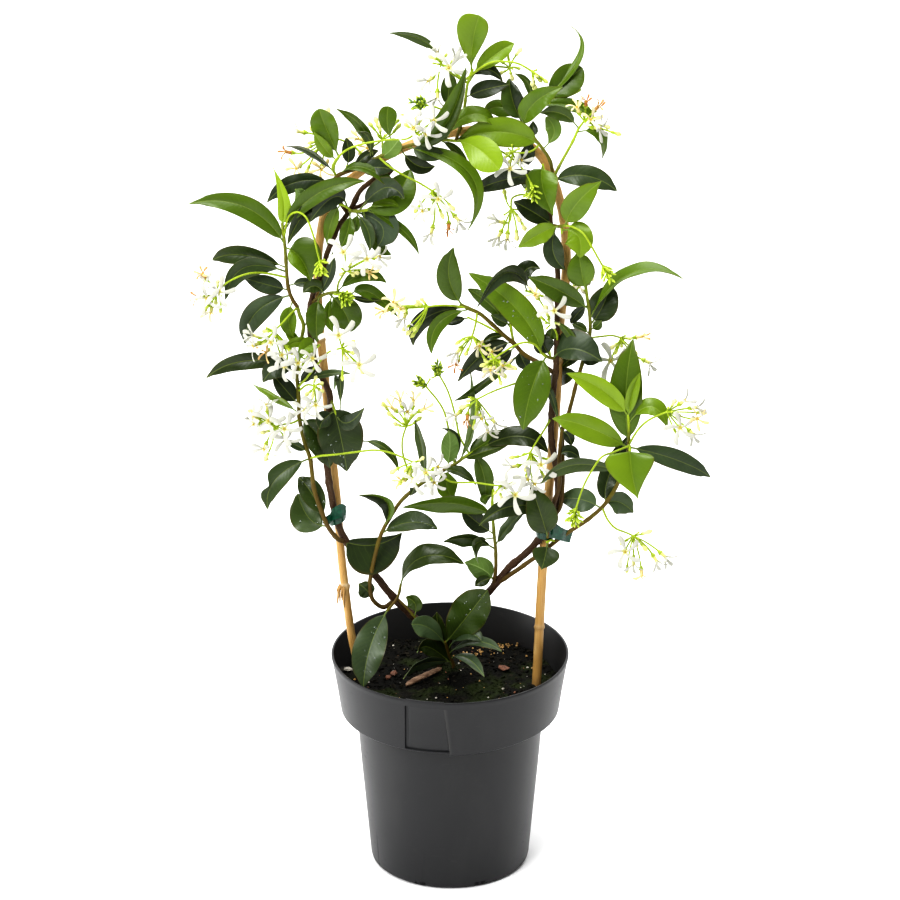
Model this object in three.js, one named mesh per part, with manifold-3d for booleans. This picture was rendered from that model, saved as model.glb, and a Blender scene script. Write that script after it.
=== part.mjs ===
// Star jasmine trained on a bent cane hoop, standing in a round nursery pot.
// Millimetres, +Z up. The origin is the middle of the pot's underside; +X is the plant's right,
// -Y its front. Every piece is a closed, faceted solid.
//
// The plant is set out on an upright sheet, the plane y = 0. A sheet point [x, z, y] is drawn at
// (x, z) on that sheet and pushed y behind it (or in front, when negative) along the line that
// joins it to the layout eye, so that the drawing keeps its outline at any depth.

import * as THREE from 'three';
import { mergeVertices } from 'three/addons/utils/BufferGeometryUtils.js';
import Module from 'manifold-3d';

const wasm = await Module();
wasm.setup();

// ---- driving dimensions ----------------------------------------------------------------------

const GAP = 0.3; // clearance between neighbouring pieces
const CLEAN = { sliver: 0.02, weld: 0.001 };
const LAYOUT_EYE = new THREE.Vector3(0, -3096, 1660);

const POT = {
  height: 190,
  rimRadius: 100,
  rimThickness: 2.6,
  rimDepth: 5,
  lipStep: 1.4,
  collarBottom: 143.5,
  collarBottomRadius: 92.6,
  collarRounding: 1.5,
  shoulder: 3,
  bodyTopRadius: 79,
  footRadius: 67,
  footRounding: 5,
  wall: 1.8,
  floor: 2.6,
  innerShoulder: 5,
  innerFoot: [4, 3.5],
  sides: 28,
  notches: 8,
  notchWidth: 11,
  notchDepth: 14,
  notchHeight: 5,
};

// A shallow plain panel in the collar's front: its left edge is a step, its right edge slants.
const PANEL = { left: -37, rightTop: -5, rightBottom: -0.5, bottom: 147, top: 184, depth: 0.6 };

const SOIL = { level: 161, ripple: 1.6, wave: 2.1, rings: 2 };
const CHIP = {
  outline: [[-14, -3], [13, -2], [15, 1.5], [-11, 3.5]],
  depth: 3.5,
  turn: 0.32,
  at: [-22, -4],
  sunk: 0.6,
};
const CANE_RADIUS = 3.8;
const CANE_SIDES = 6;
const WOODY_SIDES = 5;
const STEM_SIDES = 3;
const STEP = { cane: 32, woody: 24, shoot: 26 };
const ROOT = { step: 1.2, spacing: 3.4, skip: 3.2, end: 1.4 };
const LEAF = { thickness: 0.9, fold: 0.22, large: 18 };
const BLOOM = { radius: 13, openRadius: 13, thickness: 0.9, tubeRadius: 1.1, throat: 1.2 };
const TUBE = { open: 8, side: 4.8, share: 0.5, steepest: 0.4, eased: 0.7 };
const OPEN_PETAL = [[0, 0.24], [20, 0.86], [50, 1.0]];
const HALF_PETAL = [[0, 0.42], [44, 1.0]];
const STALK_RADIUS = [1.1, 0.9];
const STALK_STEP = 30;
const HUB_RADIUS = 1.5;
const BUD = { swell: 4.8, share: 0.5, belly: 1.5 };
const TUFT = { turn: 2.4, spread: 0.7, shortest: 0.85, vary: 0.3 };

const COLOUR = {
  pot: 0x3a3b3d,
  soil: 0x1d1712,
  bark: 0x7a4f33,
  cane: 0xc99a56,
  tie: 0x1e4a36,
  wood: 0x4a342b,
  leaf: 0x35601f,
  bloom: 0xf3f0dc,
};

// ---- solids from triangles ---------------------------------------------------------------------

function solidFrom(points, triangles) {
  const vertProperties = new Float32Array(points.length * 3);
  points.forEach((point, index) => vertProperties.set([point.x, point.y, point.z], index * 3));
  const triVerts = new Uint32Array(triangles.flat());
  return new wasm.Manifold(new wasm.Mesh({ numProp: 3, vertProperties, triVerts }));
}

function solidFromGeometry(geometry, weld = 1e-4) {
  geometry.deleteAttribute('normal');
  geometry.deleteAttribute('uv');
  const merged = mergeVertices(geometry, weld);
  const position = merged.getAttribute('position');
  const points = [];
  for (let index = 0; index < position.count; index += 1) {
    points.push(new THREE.Vector3().fromBufferAttribute(position, index));
  }
  const corners = Array.from(merged.index.array);
  const triangles = [];
  for (let index = 0; index < corners.length; index += 3) {
    const triangle = corners.slice(index, index + 3);
    if (new Set(triangle).size === 3) triangles.push(triangle);
  }
  return solidFrom(points, triangles);
}

function geometryFrom(solid) {
  const mesh = solid.getMesh();
  const geometry = new THREE.BufferGeometry();
  geometry.setAttribute('position', new THREE.BufferAttribute(new Float32Array(mesh.vertProperties), 3));
  geometry.setIndex(new THREE.BufferAttribute(new Uint32Array(mesh.triVerts), 1));
  return geometry;
}

function join(solids) {
  return wasm.Manifold.union(solids);
}

// A boolean may leave crumbs behind: only the largest body of a piece is kept.
function largestBody(solid) {
  const bodies = solid.decompose();
  return bodies.reduce((best, body) => (body.volume() > best.volume() ? body : best));
}

// The piece without slivers, crumbs or vertices nearer together than the weld.
function cleanBody(solid) {
  const plain = largestBody(solid.simplify(CLEAN.sliver));
  return largestBody(solidFromGeometry(geometryFrom(plain), CLEAN.weld));
}

// A small seeded generator, for everything that is scattered by rule.
function seededRandom(seed) {
  let state = seed;
  return () => {
    state = (state * 1664525 + 1013904223) % 4294967296;
    return state / 4294967296;
  };
}

function onSheet([x, z, y = 0]) {
  const drawn = new THREE.Vector3(x, 0, z);
  const reach = (y - LAYOUT_EYE.y) / -LAYOUT_EYE.y;
  return drawn.sub(LAYOUT_EYE).multiplyScalar(reach).add(LAYOUT_EYE);
}

function toSheet(point) {
  const reach = LAYOUT_EYE.y / (LAYOUT_EYE.y - point.y);
  const drawn = point.clone().sub(LAYOUT_EYE).multiplyScalar(reach).add(LAYOUT_EYE);
  return [drawn.x, drawn.z, point.y];
}

// ---- stems -------------------------------------------------------------------------------------

// The centre line of a stem, as evenly spaced points on a smooth curve through its sheet points.
function centreLine(path, stepLength) {
  const curve = new THREE.CatmullRomCurve3(path.map(onSheet), false, 'centripetal');
  return curve.getSpacedPoints(Math.max(2, Math.round(curve.getLength() / stepLength)));
}

// A tapered tube round a centre line. `grow` swells it and pushes its ends out.
function taperedTube(line, startRadius, endRadius, sides, grow = 0) {
  const steps = line.length - 1;
  const vertices = [];
  const triangles = [];
  let across = null;
  for (let step = 0; step <= steps; step += 1) {
    const before = line[Math.max(0, step - 1)];
    const after = line[Math.min(steps, step + 1)];
    const tangent = after.clone().sub(before).normalize();
    across = across || anyAcross(tangent);
    across = across.clone().addScaledVector(tangent, -across.dot(tangent)).normalize();
    const upright = new THREE.Vector3().crossVectors(tangent, across);
    const centre = line[step].clone();
    if (step === 0) centre.addScaledVector(tangent, -grow);
    if (step === steps) centre.addScaledVector(tangent, grow);
    const radius = THREE.MathUtils.lerp(startRadius, endRadius, step / steps) + grow;
    for (let side = 0; side < sides; side += 1) {
      const angle = (side / sides) * 2 * Math.PI;
      const corner = centre.clone().addScaledVector(across, Math.cos(angle) * radius);
      vertices.push(corner.addScaledVector(upright, Math.sin(angle) * radius));
    }
  }
  for (let step = 0; step < steps; step += 1) {
    for (let side = 0; side < sides; side += 1) {
      const next = (side + 1) % sides;
      const a = step * sides + side;
      const b = step * sides + next;
      triangles.push([a, b, b + sides], [a, b + sides, a + sides]);
    }
  }
  const last = steps * sides;
  for (let side = 1; side < sides - 1; side += 1) {
    triangles.push([0, side + 1, side], [last, last + side, last + side + 1]);
  }
  return solidFrom(vertices, triangles);
}

function anyAcross(direction) {
  const guide = Math.abs(direction.z) < 0.9 ? new THREE.Vector3(0, 0, 1) : new THREE.Vector3(1, 0, 0);
  return new THREE.Vector3().crossVectors(guide, direction).normalize();
}

// Places where a leaf or a stalk can leave some centre lines, close together along each line.
// The start of the first line is left out up to `skip`, because it is trimmed to clear its
// carrier, and so is the very end of each line, where a root would not be sunk in.
function rootPlaces(lines, skip) {
  const places = [];
  lines.forEach((line, index) => {
    const curve = new THREE.CurvePath();
    for (let step = 0; step < line.length - 1; step += 1) {
      curve.add(new THREE.LineCurve3(line[step], line[step + 1]));
    }
    const length = curve.getLength();
    const start = index > 0 ? 0 : Math.min(skip, length / 2);
    const end = Math.max(start, length - ROOT.end);
    const parts = Math.max(1, Math.ceil((end - start) / ROOT.step));
    for (let part = 0; part <= parts; part += 1) {
      const run = THREE.MathUtils.lerp(start, end, part / parts);
      places.push(toSheet(curve.getPointAt(run / length)));
    }
  });
  return places;
}

// The place drawn nearest to the sheet point (x, z) that is not too close to one already taken.
function freePlace(places, x, z, taken) {
  const apart = (one, other) => Math.hypot(one[0] - other[0], one[1] - other[1], one[2] - other[2]);
  const free = places.filter((place) => taken.every((other) => apart(place, other) >= ROOT.spacing));
  const ranked = (free.length > 0 ? free : places).map((place) => (
    { place, distance: Math.hypot(place[0] - x, place[1] - z) }));
  const { place } = ranked.reduce((best, other) => (other.distance < best.distance ? other : best));
  taken.push(place);
  return place;
}

// ---- leaves ------------------------------------------------------------------------------------

// Stations of a blade between root and tip: [place along the midrib, share of the width].
const LARGE_OUTLINE = [[0.3, 0.9], [0.64, 0.88]];
const SMALL_OUTLINE = [[0.44, 1.0]];

// A leaf is [base x, base z, middle x, middle z, tip x, tip z, width, roll, tip depth, tone].
// Its blade comes to a point at both ends and its root is sunk into the stem; a large blade is
// folded a little along its midrib. Both faces are split into the same triangles.
function leafSolid(leaf, root, grow) {
  const [, , middleX, middleZ, tipX, tipZ, width, roll, tipDepth] = leaf;
  const base = onSheet(root);
  const tip = onSheet([tipX, tipZ, tipDepth]);
  const middle = onSheet([middleX, middleZ, (root[2] + tipDepth) / 2]);
  const control = middle.clone().multiplyScalar(2).addScaledVector(base, -0.5).addScaledVector(tip, -0.5);
  const midrib = new THREE.QuadraticBezierCurve3(base, control, tip);
  const axis = tip.clone().sub(base).normalize();
  const sight = middle.clone().sub(LAYOUT_EYE).normalize();
  const flatSide = new THREE.Vector3().crossVectors(axis, sight).normalize();
  const flatNormal = new THREE.Vector3().crossVectors(axis, flatSide);
  const turn = THREE.MathUtils.degToRad(roll);
  const side = flatSide.clone().multiplyScalar(Math.cos(turn)).addScaledVector(flatNormal, -Math.sin(turn));
  const large = width >= LEAF.large;
  const outline = large ? LARGE_OUTLINE : SMALL_OUTLINE;
  const half = LEAF.thickness / 2 + grow;
  const upper = [];
  const lower = [];

  function addStation(along, halfWidth, push, places) {
    const centre = midrib.getPoint(along);
    const tangent = midrib.getTangent(along);
    const across = side.clone().addScaledVector(tangent, -side.dot(tangent)).normalize();
    const normal = new THREE.Vector3().crossVectors(tangent, across);
    centre.addScaledVector(tangent, push);
    places.forEach((place) => {
      const point = centre.clone().addScaledVector(across, place * halfWidth);
      upper.push(point.clone().addScaledVector(normal, half));
      lower.push(point.clone().addScaledVector(normal, -half));
      if (place !== 0 || places.length === 1) return;
      upper[upper.length - 1].addScaledVector(normal, -halfWidth * LEAF.fold);
      lower[lower.length - 1].addScaledVector(normal, -halfWidth * LEAF.fold);
    });
  }

  addStation(0, 0, -grow, [0]);
  outline.forEach(([along, share], index) => {
    const places = index === 0 ? [-1, 1] : [-1, 0, 1];
    addStation(along, (share * width) / 2 + grow, 0, places);
  });
  addStation(1, 0, grow, [0]);

  const faces = large
    ? [[0, 1, 2], [1, 3, 4], [1, 4, 2], [2, 4, 5], [3, 6, 4], [4, 6, 5]]
    : [[0, 1, 2], [1, 3, 2]];
  const rim = large ? [0, 1, 3, 6, 5, 2] : [0, 1, 3, 2];
  const offset = upper.length;
  const triangles = [];
  faces.forEach(([i, j, k]) => triangles.push([i, j, k], [i + offset, k + offset, j + offset]));
  rim.forEach((from, index) => {
    const to = rim[(index + 1) % rim.length];
    triangles.push([to, from, from + offset], [to, from + offset, to + offset]);
  });
  return solidFrom(upper.concat(lower), triangles);
}

// ---- flowers -----------------------------------------------------------------------------------

const SHEET_RIGHT = new THREE.Vector3(1, 0, 0);
const SHEET_UP = new THREE.Vector3(0, 0.384, 0.923);
const SHEET_FRONT = new THREE.Vector3(0, -0.923, 0.384);

function facing(right, up) {
  const front = Math.sqrt(Math.max(0, 1 - right * right - up * up));
  const direction = SHEET_RIGHT.clone().multiplyScalar(right);
  return direction.addScaledVector(SHEET_UP, up).addScaledVector(SHEET_FRONT, front).normalize();
}

// A growing closed body that begins as a small twenty-sided hub. Stalks, flowers and buds are
// drawn out of its faces, so that a whole head is one body with few triangles.
class Head {
  constructor(centre, radius) {
    const seed = new THREE.IcosahedronGeometry(radius, 0);
    seed.deleteAttribute('normal');
    seed.deleteAttribute('uv');
    const ball = mergeVertices(seed, 1e-4);
    const position = ball.getAttribute('position');
    this.centre = centre;
    this.points = [];
    for (let index = 0; index < position.count; index += 1) {
      this.points.push(new THREE.Vector3().fromBufferAttribute(position, index).add(centre));
    }
    this.free = [];
    for (let index = 0; index < ball.index.count; index += 3) {
      this.free.push([0, 1, 2].map((corner) => ball.index.getX(index + corner)));
    }
    this.triangles = [];
  }

  // Takes the free face that looks most towards the target.
  takeFace(target) {
    const wanted = target.clone().sub(this.centre).normalize();
    const looks = this.free.map((face) => {
      const middle = new THREE.Vector3();
      face.forEach((corner) => middle.add(this.points[corner]));
      return middle.divideScalar(3).sub(this.centre).normalize().dot(wanted);
    });
    return this.free.splice(looks.indexOf(Math.max(...looks)), 1)[0];
  }

  // Draws the open ring of three corners on to a new ring of the given radius.
  drawRing(ring, centre, axis, radius) {
    const middle = new THREE.Vector3();
    ring.forEach((corner) => middle.addScaledVector(this.points[corner], 1 / 3));
    const start = this.points.length;
    ring.forEach((corner) => {
      const offset = this.points[corner].clone().sub(middle);
      offset.addScaledVector(axis, -offset.dot(axis)).setLength(radius);
      this.points.push(centre.clone().add(offset));
    });
    const next = [start, start + 1, start + 2];
    for (let side = 0; side < 3; side += 1) {
      const other = (side + 1) % 3;
      this.triangles.push([ring[side], ring[other], next[other]], [ring[side], next[other], next[side]]);
    }
    return next;
  }

  closeWith(ring, point) {
    this.points.push(point);
    const last = this.points.length - 1;
    for (let side = 0; side < 3; side += 1) {
      this.triangles.push([ring[side], ring[(side + 1) % 3], last]);
    }
  }

  solid() {
    return solidFrom(this.points, this.triangles.concat(this.free));
  }
}

// A bud: a thin stalk that swells and comes to a point.
function drawBud(head, tip, grow) {
  const ring = head.takeFace(tip);
  const axis = tip.clone().sub(head.centre).normalize();
  const back = Math.min(BUD.swell, tip.distanceTo(head.centre) * BUD.share);
  const belly = tip.clone().addScaledVector(axis, -back);
  head.closeWith(head.drawRing(ring, belly, axis, BUD.belly + grow), tip.clone().addScaledVector(axis, grow));
}

// A flower: a stalk and tube that widen into five skewed petals. An open flower has petals of
// even thickness; a flower seen from the side stays a shallow trumpet.
function drawFlower(head, centre, lookOut, radius, grow) {
  const open = radius >= BLOOM.openRadius;
  const petal = open ? OPEN_PETAL : HALF_PETAL;
  const chord = centre.clone().sub(head.centre).normalize();
  const direction = lookOut.clone();
  const lean = direction.dot(chord);
  if (lean < TUBE.steepest) direction.addScaledVector(chord, TUBE.eased - lean).normalize();
  const reachBack = Math.min(open ? TUBE.open : TUBE.side, centre.distanceTo(head.centre) * TUBE.share);
  const neck = centre.clone().addScaledVector(direction, -reachBack);
  const ring = head.drawRing(head.takeFace(neck), neck, direction, BLOOM.tubeRadius + grow);
  const across = head.points[ring[0]].clone().sub(neck).normalize();
  const upright = new THREE.Vector3().crossVectors(direction, across);
  const count = petal.length * 5;
  const half = BLOOM.thickness / 2 + grow;
  const start = head.points.length;
  head.points.push(centre.clone().addScaledVector(direction, open ? half : grow - BLOOM.throat));
  (open ? [half, -half] : [grow]).forEach((height) => {
    for (let index = 0; index < count; index += 1) {
      const [degrees, share] = petal[index % petal.length];
      const angle = THREE.MathUtils.degToRad(degrees - 60 + Math.floor(index / petal.length) * 72);
      const reach = radius * share + grow;
      const point = centre.clone().addScaledVector(direction, height);
      point.addScaledVector(across, Math.cos(angle) * reach);
      head.points.push(point.addScaledVector(upright, Math.sin(angle) * reach));
    }
  });
  const front = start + 1;
  const back = open ? front + count : front;
  for (let index = 0; index < count; index += 1) {
    const next = (index + 1) % count;
    head.triangles.push([start, front + index, front + next]);
    if (open) {
      head.triangles.push([front + next, front + index, back + index]);
      head.triangles.push([front + next, back + index, back + next]);
    }
    const corner = Math.floor((index * 3) / count);
    const nextCorner = Math.floor((next * 3) / count);
    head.triangles.push([back + next, back + index, ring[corner]]);
    if (corner !== nextCorner) head.triangles.push([back + next, ring[corner], ring[nextCorner]]);
  }
}

// A head of flowers: a stalk of sheet points with, round its end, blooms
// [x, z, depth, right, up, radius], buds [x, z, depth] and a tuft of more buds set by a rule.
function headSolid(description, grow) {
  const { stalk, blooms = [], buds = [], fan = null, seed = 1 } = description;
  const random = seededRandom(seed * 7919 + 17);
  const curve = new THREE.CatmullRomCurve3(stalk.map(onSheet), false, 'centripetal');
  const endDepth = stalk[stalk.length - 1][2];
  const head = new Head(curve.getPoint(1), HUB_RADIUS + grow);
  const steps = Math.max(1, Math.round(curve.getLength() / STALK_STEP));
  let ring = head.takeFace(curve.getPointAt(1 - 0.5 / steps));
  for (let step = steps - 1; step >= 0; step -= 1) {
    const along = step / steps;
    const centre = curve.getPointAt(along);
    const axis = curve.getTangentAt(along);
    if (step === 0) centre.addScaledVector(axis, -grow);
    ring = head.drawRing(ring, centre, axis, THREE.MathUtils.lerp(...STALK_RADIUS, along) + grow);
  }
  head.triangles.push(ring);
  blooms.forEach(([x, z, depth, right, up, radius = BLOOM.radius]) => {
    drawFlower(head, onSheet([x, z, endDepth + depth]), facing(right, up), radius, grow);
  });
  buds.forEach(([x, z, depth]) => drawBud(head, onSheet([x, z, endDepth + depth]), grow));
  if (fan) {
    const { count, reach, right, up } = fan;
    const lean = SHEET_RIGHT.clone().multiplyScalar(right).addScaledVector(SHEET_UP, up);
    for (let index = 0; index < count; index += 1) {
      const height = 1 - (2 * (index + 0.5)) / count;
      const angle = index * TUFT.turn + random();
      const spread = Math.sqrt(1 - height * height);
      const direction = SHEET_RIGHT.clone().multiplyScalar(Math.cos(angle) * spread);
      direction.addScaledVector(SHEET_UP, Math.sin(angle) * spread).addScaledVector(SHEET_FRONT, height);
      direction.multiplyScalar(TUFT.spread).add(lean);
      const length = reach * (TUFT.shortest + TUFT.vary * random());
      drawBud(head, head.centre.clone().addScaledVector(direction, length), grow);
    }
  }
  return head.solid();
}

// ---- the plant, set out on the sheet -------------------------------------------------------------

const HOOP_PATH = [
  [-61, 92, 8], [-71, 150, 10], [-78, 180, 12], [-82, 201, 12], [-87, 274, 6], [-93, 328, 3],
  [-97, 369, 2], [-102, 435, 0], [-107, 505, 0], [-105, 556, 0], [-96, 590, 0], [-72, 614, 0],
  [-40, 633, 0], [-8, 645, 0], [40, 648, 0], [72, 628, 0], [88, 590, 0], [94, 539, 0],
  [89, 479, 0], [87, 417, 0], [81, 328, 0], [77, 265, -1], [73, 163, -3], [69.2, 84, -4],
];

const WOODY_STEMS = [
  {
    radius: [3.6, 2.0],
    path: [
      [-5, 128, 30], [-8, 176, 27], [-14, 200, 22], [-28, 219, 16], [-45, 237, 10], [-63, 261, 5],
      [-78, 280, -1], [-88, 294, -5], [-94, 312, -7], [-98, 332, -8], [-101, 355, -8],
      [-102, 378, -8], [-100, 400, -8], [-98, 420, -9], [-103, 434, -9], [-109, 447, -8],
      [-112, 462, -6], [-114, 485, -6], [-113, 501, -8], [-109, 515, -9], [-103, 528, -9],
      [-100, 542, -7], [-96, 553, -4], [-89, 569, 0], [-80, 582, 0], [-72, 598, 5],
      [-60, 609, 8], [-52, 617, 8],
    ],
  },
  { radius: [1.7, 1.4], path: [[-80, 582, 0], [-68, 588, -3], [-57, 602, -6], [-46, 616, -7]] },
  {
    radius: [3.4, 2.0],
    path: [
      [-8, 182, 26], [4, 208, 24], [18, 228, 20], [34, 247, 14], [50, 268, 8], [62, 279, 4],
      [70, 288, -1], [77, 299, -8], [82, 314, -9], [84, 330, -9], [84, 350, -9], [83, 375, -9],
      [83, 400, -9], [84, 420, -9], [86, 440, -9], [87, 465, -8.5], [87, 500, -8.5],
      [87, 530, -8.5], [84, 555, -8.5], [81, 570, -8], [80, 586, -8],
    ],
  },
];

const TIE_THICKNESS = 1.4;
const TIE_SIDES = 12;
const TIES = [
  { name: 'tie_left', centre: [-93, 314, -1.6], halfWidth: 6.4, halfDepth: 10.6, height: 7, tilt: 0.3 },
  { name: 'tie_right', centre: [78.5, 300, -4.4], halfWidth: 6.6, halfDepth: 9.4, height: 9, tilt: -0.25 },
];

const SHOOTS = {
  shoot_crown: {
    stems: [{ radius: [1.9, 1.3], path: [[3, 140, 22], [3, 176, 19], [-1, 188, 14], [-4, 199, 8]] }],
    leaves: [
      [-3, 198, 14, 222, 33, 247, 33, 0, -8, 0.38],
      [-8, 197, -18, 212, -32, 213, 18, 0, -6, 0.42],
      [0, 194, 14, 205, 28, 198, 15, 40, -12, 0.15],
      [3, 189, 22, 196, 43, 191, 13, 50, -26, 0.12],
      [-1, 183, 15, 182, 29, 166, 12, 45, -36, 0.18],
      [-10, 190, -25, 174, -40, 152, 12, 50, -34, 0.15],
      [-6, 193, -18, 194, -27, 188, 14, 0, 2, 0.05],
      [-4, 199, -8, 213, -11, 225, 12, 20, 2, 0.15],
    ],
  },
  shoot_low_left: {
    from: 'woody_stem',
    stems: [
      { radius: [1.2, 1.1], path: [[-45, 237, 10], [-44, 239, 2], [-42, 246, -2], [-41, 252, -3]] },
      { radius: [1.2, 1.1], path: [[-44, 239, 2], [-49, 232, -1], [-53, 227, -2]] },
      { radius: [1.0, 0.9], path: [[-44, 239, 2], [-36, 230, 1], [-29, 221, 0]] },
    ],
    leaves: [
      [-53, 227, -67, 194, -73, 157, 27, 0, -40, 0.3],
      [-41, 252, -21, 275, 12, 271, 20, 35, -14, 0.08],
      [-29, 221, -29, 234, -37, 240, 14, 20, 4, 0.2],
    ],
  },
  shoot_twining_low: {
    from: 'woody_stem',
    stems: [{
      radius: [1.9, 1.5],
      path: [
        [-47, 237, 9], [-55, 231, 2], [-64, 237, -7], [-67, 250, -11], [-63, 275, -13],
        [-57, 298, -13], [-50, 312, -12], [-40, 328, -9], [-25, 342, -5], [-7, 354, 0],
      ],
    }],
    leaves: [
      [-64, 238, -70, 247, -76, 252, 13, 0, -14, 0.05],
      [-57, 298, -33, 306, -10, 303, 22, 45, -24, 0.05],
      [-57, 299, -60, 322, -78, 333, 13, 60, -18, 0.2],
      [-20, 345, -22, 380, -30, 399, 12, 50, -2, 0.15],
    ],
  },
  shoot_twining_top: {
    from: 'shoot_twining_low',
    stems: [{ radius: [1.5, 1.1], path: [[-7, 354, 0], [6, 362, 2], [15, 369, 2], [26, 374, 2]] }],
    leaves: [
      [-3, 357, 0, 374, -1, 391, 15, 0, -6, 0.55],
      [7, 363, 22, 400, 14, 444, 14, 68, 14, 0.35],
      [13, 367, 28, 378, 46, 391, 14, 20, 8, 0.3],
      [26, 374, 57, 385, 81, 371, 17, 15, -10, 0.03],
      [10, 363, 27, 370, 47, 377, 10, 30, -5, 0.12],
      [20, 370, 28, 350, 29, 323, 15, 0, 8, 0.35],
      [-5, 354, 6, 353, 22, 342, 14, 50, -12, 0.12],
      [-6, 353, -4, 343, 4, 328, 20, 30, -5, 0.6],
    ],
    heads: [
      {
        stalk: [[8, 364, 2], [8, 385, 14], [4, 405, 20], [-2, 426, 22], [-9, 440, 22]],
        fan: { count: 6, reach: 9, right: 0, up: 0.3 },
        seed: 1,
      },
      {
        stalk: [[4, 361, 1], [0, 385, 10], [-6, 410, 14], [-20, 430, 14]],
        fan: { count: 6, reach: 8, right: -0.2, up: 0 },
        seed: 2,
      },
    ],
  },
  shoot_left_low: {
    from: 'woody_stem',
    stems: [
      {
        radius: [2.0, 1.7],
        path: [
          [-86, 291, -4], [-93, 293, -13], [-101, 304, -16], [-106, 317, -16], [-112, 337, -16],
          [-114, 355, -16], [-115, 365, -16], [-119, 378, -15], [-122, 392, -14], [-124, 404, -14],
        ],
      },
    ],
    leaves: [
      [-93, 295, -66, 282, -45, 288, 34, 0, -27, 0.05],
      [-116, 366, -146, 347, -151, 320, 21, 0, -30, 0.18],
      [-103, 311, -113, 332, -125, 349, 19, 0, -2, 0.1],
      [-101, 305, -116, 311, -126, 334, 31, 0, 4, 0.15],
      [-123, 402, -108, 384, -99, 357, 25, 10, -11, 0.1],
    ],
  },
  shoot_left_middle: {
    from: 'shoot_left_low',
    stems: [
      {
        radius: [1.7, 1.5],
        path: [
          [-124, 404, -14], [-124, 425, -14], [-125, 440, -14], [-123, 455, -14],
          [-121, 470, -14], [-119, 483, -14], [-122, 492, -14], [-124, 500, -14],
        ],
      },
      { radius: [1.0, 0.9], path: [[-124, 441, -14], [-116, 456, -16], [-106, 466, -18]] },
    ],
    leaves: [
      [-125, 413, -134, 426, -145, 440, 15, 0, -8, 0.0],
      [-125, 440, -140, 446, -153, 433, 17, 0, -20, 0.0],
      [-124, 447, -168, 452, -200, 436, 14, 10, -6, 0.05],
      [-124, 405, -143, 423, -161, 431, 12, 55, -22, 0.6],
      [-106, 466, -117, 464, -123, 452, 15, 0, -30, 0.6],
      [-121, 481, -112, 488, -112, 470, 15, 20, -8, 0.3],
    ],
  },
  shoot_left_high: {
    from: 'shoot_left_middle',
    stems: [{
      radius: [1.6, 1.3],
      path: [
        [-124, 500, -14], [-128, 506, -14], [-131, 516, -14], [-132, 530, -14],
        [-133, 550, -14], [-135, 571, -14],
      ],
    }],
    leaves: [
      [-132, 533, -167, 544, -192, 539, 16, 15, -4, 0.05],
      [-132, 529, -167, 533, -182, 505, 18, 30, -34, 0.1],
      [-131, 513, -148, 518, -167, 524, 15, 0, -16, 0.0],
      [-130, 509, -157, 495, -167, 466, 19, 10, -10, 0.05],
      [-133, 553, -172, 580, -210, 587, 21, 0, -20, 0.42],
      [-135, 570, -137, 594, -142, 619, 13, 0, -14, 0.9],
      [-134, 569, -103, 596, -68, 606, 19, 0, -30, 0.45],
      [-133, 552, -121, 541, -113, 521, 24, 0, -24, 0.6],
      [-127, 505, -131, 488, -127, 472, 14, 0, -18, 0.55],
    ],
    heads: [{
      stalk: [
        [-134, 568, -14], [-129, 577, -20], [-122, 580, -26], [-116, 576, -32], [-110, 560, -36],
        [-107, 546, -36], [-105, 538, -36],
      ],
      fan: { count: 8, reach: 11, right: 0.05, up: -0.6 },
      seed: 3,
    }],
  },
  shoot_left_pair: {
    from: 'woody_stem',
    stems: [
      { radius: [1.3, 1.1], path: [[-99, 418, -9], [-96, 413, -13], [-93, 404, -14]] },
      { radius: [1.0, 0.9], path: [[-93, 404, -14], [-84, 392, -10], [-72, 380, -10]] },
    ],
    leaves: [
      [-93, 406, -88, 402, -71, 411, 24, 0, -10, 0.02],
      [-93, 404, -86, 380, -85, 354, 30, 0, -20, 0.06],
      [-93, 404, -104, 400, -107, 392, 18, 10, -28, 0.04],
    ],
  },
  shoot_left_inner: {
    from: 'woody_stem',
    stems: [{
      radius: [1.5, 1.1],
      path: [[-113, 501, -7], [-105, 508, -14], [-97, 511, -14], [-88, 511, -12], [-79, 509, -10]],
    }],
    leaves: [
      [-98, 510, -86, 495, -80, 477, 25, 0, -18, 0.28],
      [-106, 507, -109, 490, -108, 468, 17, 10, -24, 0.3],
      [-79, 509, -65, 511, -42, 490, 12, 15, -4, 0.4],
      [-92, 511, -71, 525, -51, 520, 11, 20, -18, 0.38],
      [-103, 509, -110, 517, -119, 511, 12, 10, -22, 0.1],
    ],
    heads: [{
      stalk: [[-99, 510, -14], [-94, 510, -24], [-89, 509, -30]],
      fan: { count: 8, reach: 11, right: 0, up: -0.1 },
      seed: 4,
    }],
  },
  shoot_left_knot: {
    from: 'woody_stem',
    stems: [
      { radius: [1.4, 1.2], path: [[-80, 581, 0], [-80, 581, -9], [-73, 581, -11], [-66, 582, -11]] },
      { radius: [1.0, 0.9], path: [[-79, 581, -9], [-84, 585, -13], [-89, 587, -15]] },
    ],
    leaves: [
      [-70, 582, -46, 592, -32, 616, 26, 0, 2, 0.42],
      [-66, 584, -52, 594, -40, 601, 13, 0, -15, 0.0],
      [-82, 584, -94, 593, -113, 571, 17, 20, -24, 0.0],
      [-88, 587, -95, 573, -99, 552, 11, 0, -10, 0.55],
      [-80, 580, -82, 565, -88, 550, 12, 0, -14, 0.35],
      [-72, 580, -66, 564, -65, 547, 10, 0, -22, 0.1],
      [-68, 582, -56, 570, -58, 551, 22, 0, -14, 0.04],
      [-67, 580, -41, 564, -25, 544, 10, 30, -4, 0.25],
      [-70, 580, -62, 556, -47, 544, 11, 20, -6, 0.3],
    ],
  },
  leader_left: {
    from: 'woody_stem',
    stems: [
      {
        radius: [1.8, 1.5],
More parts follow.
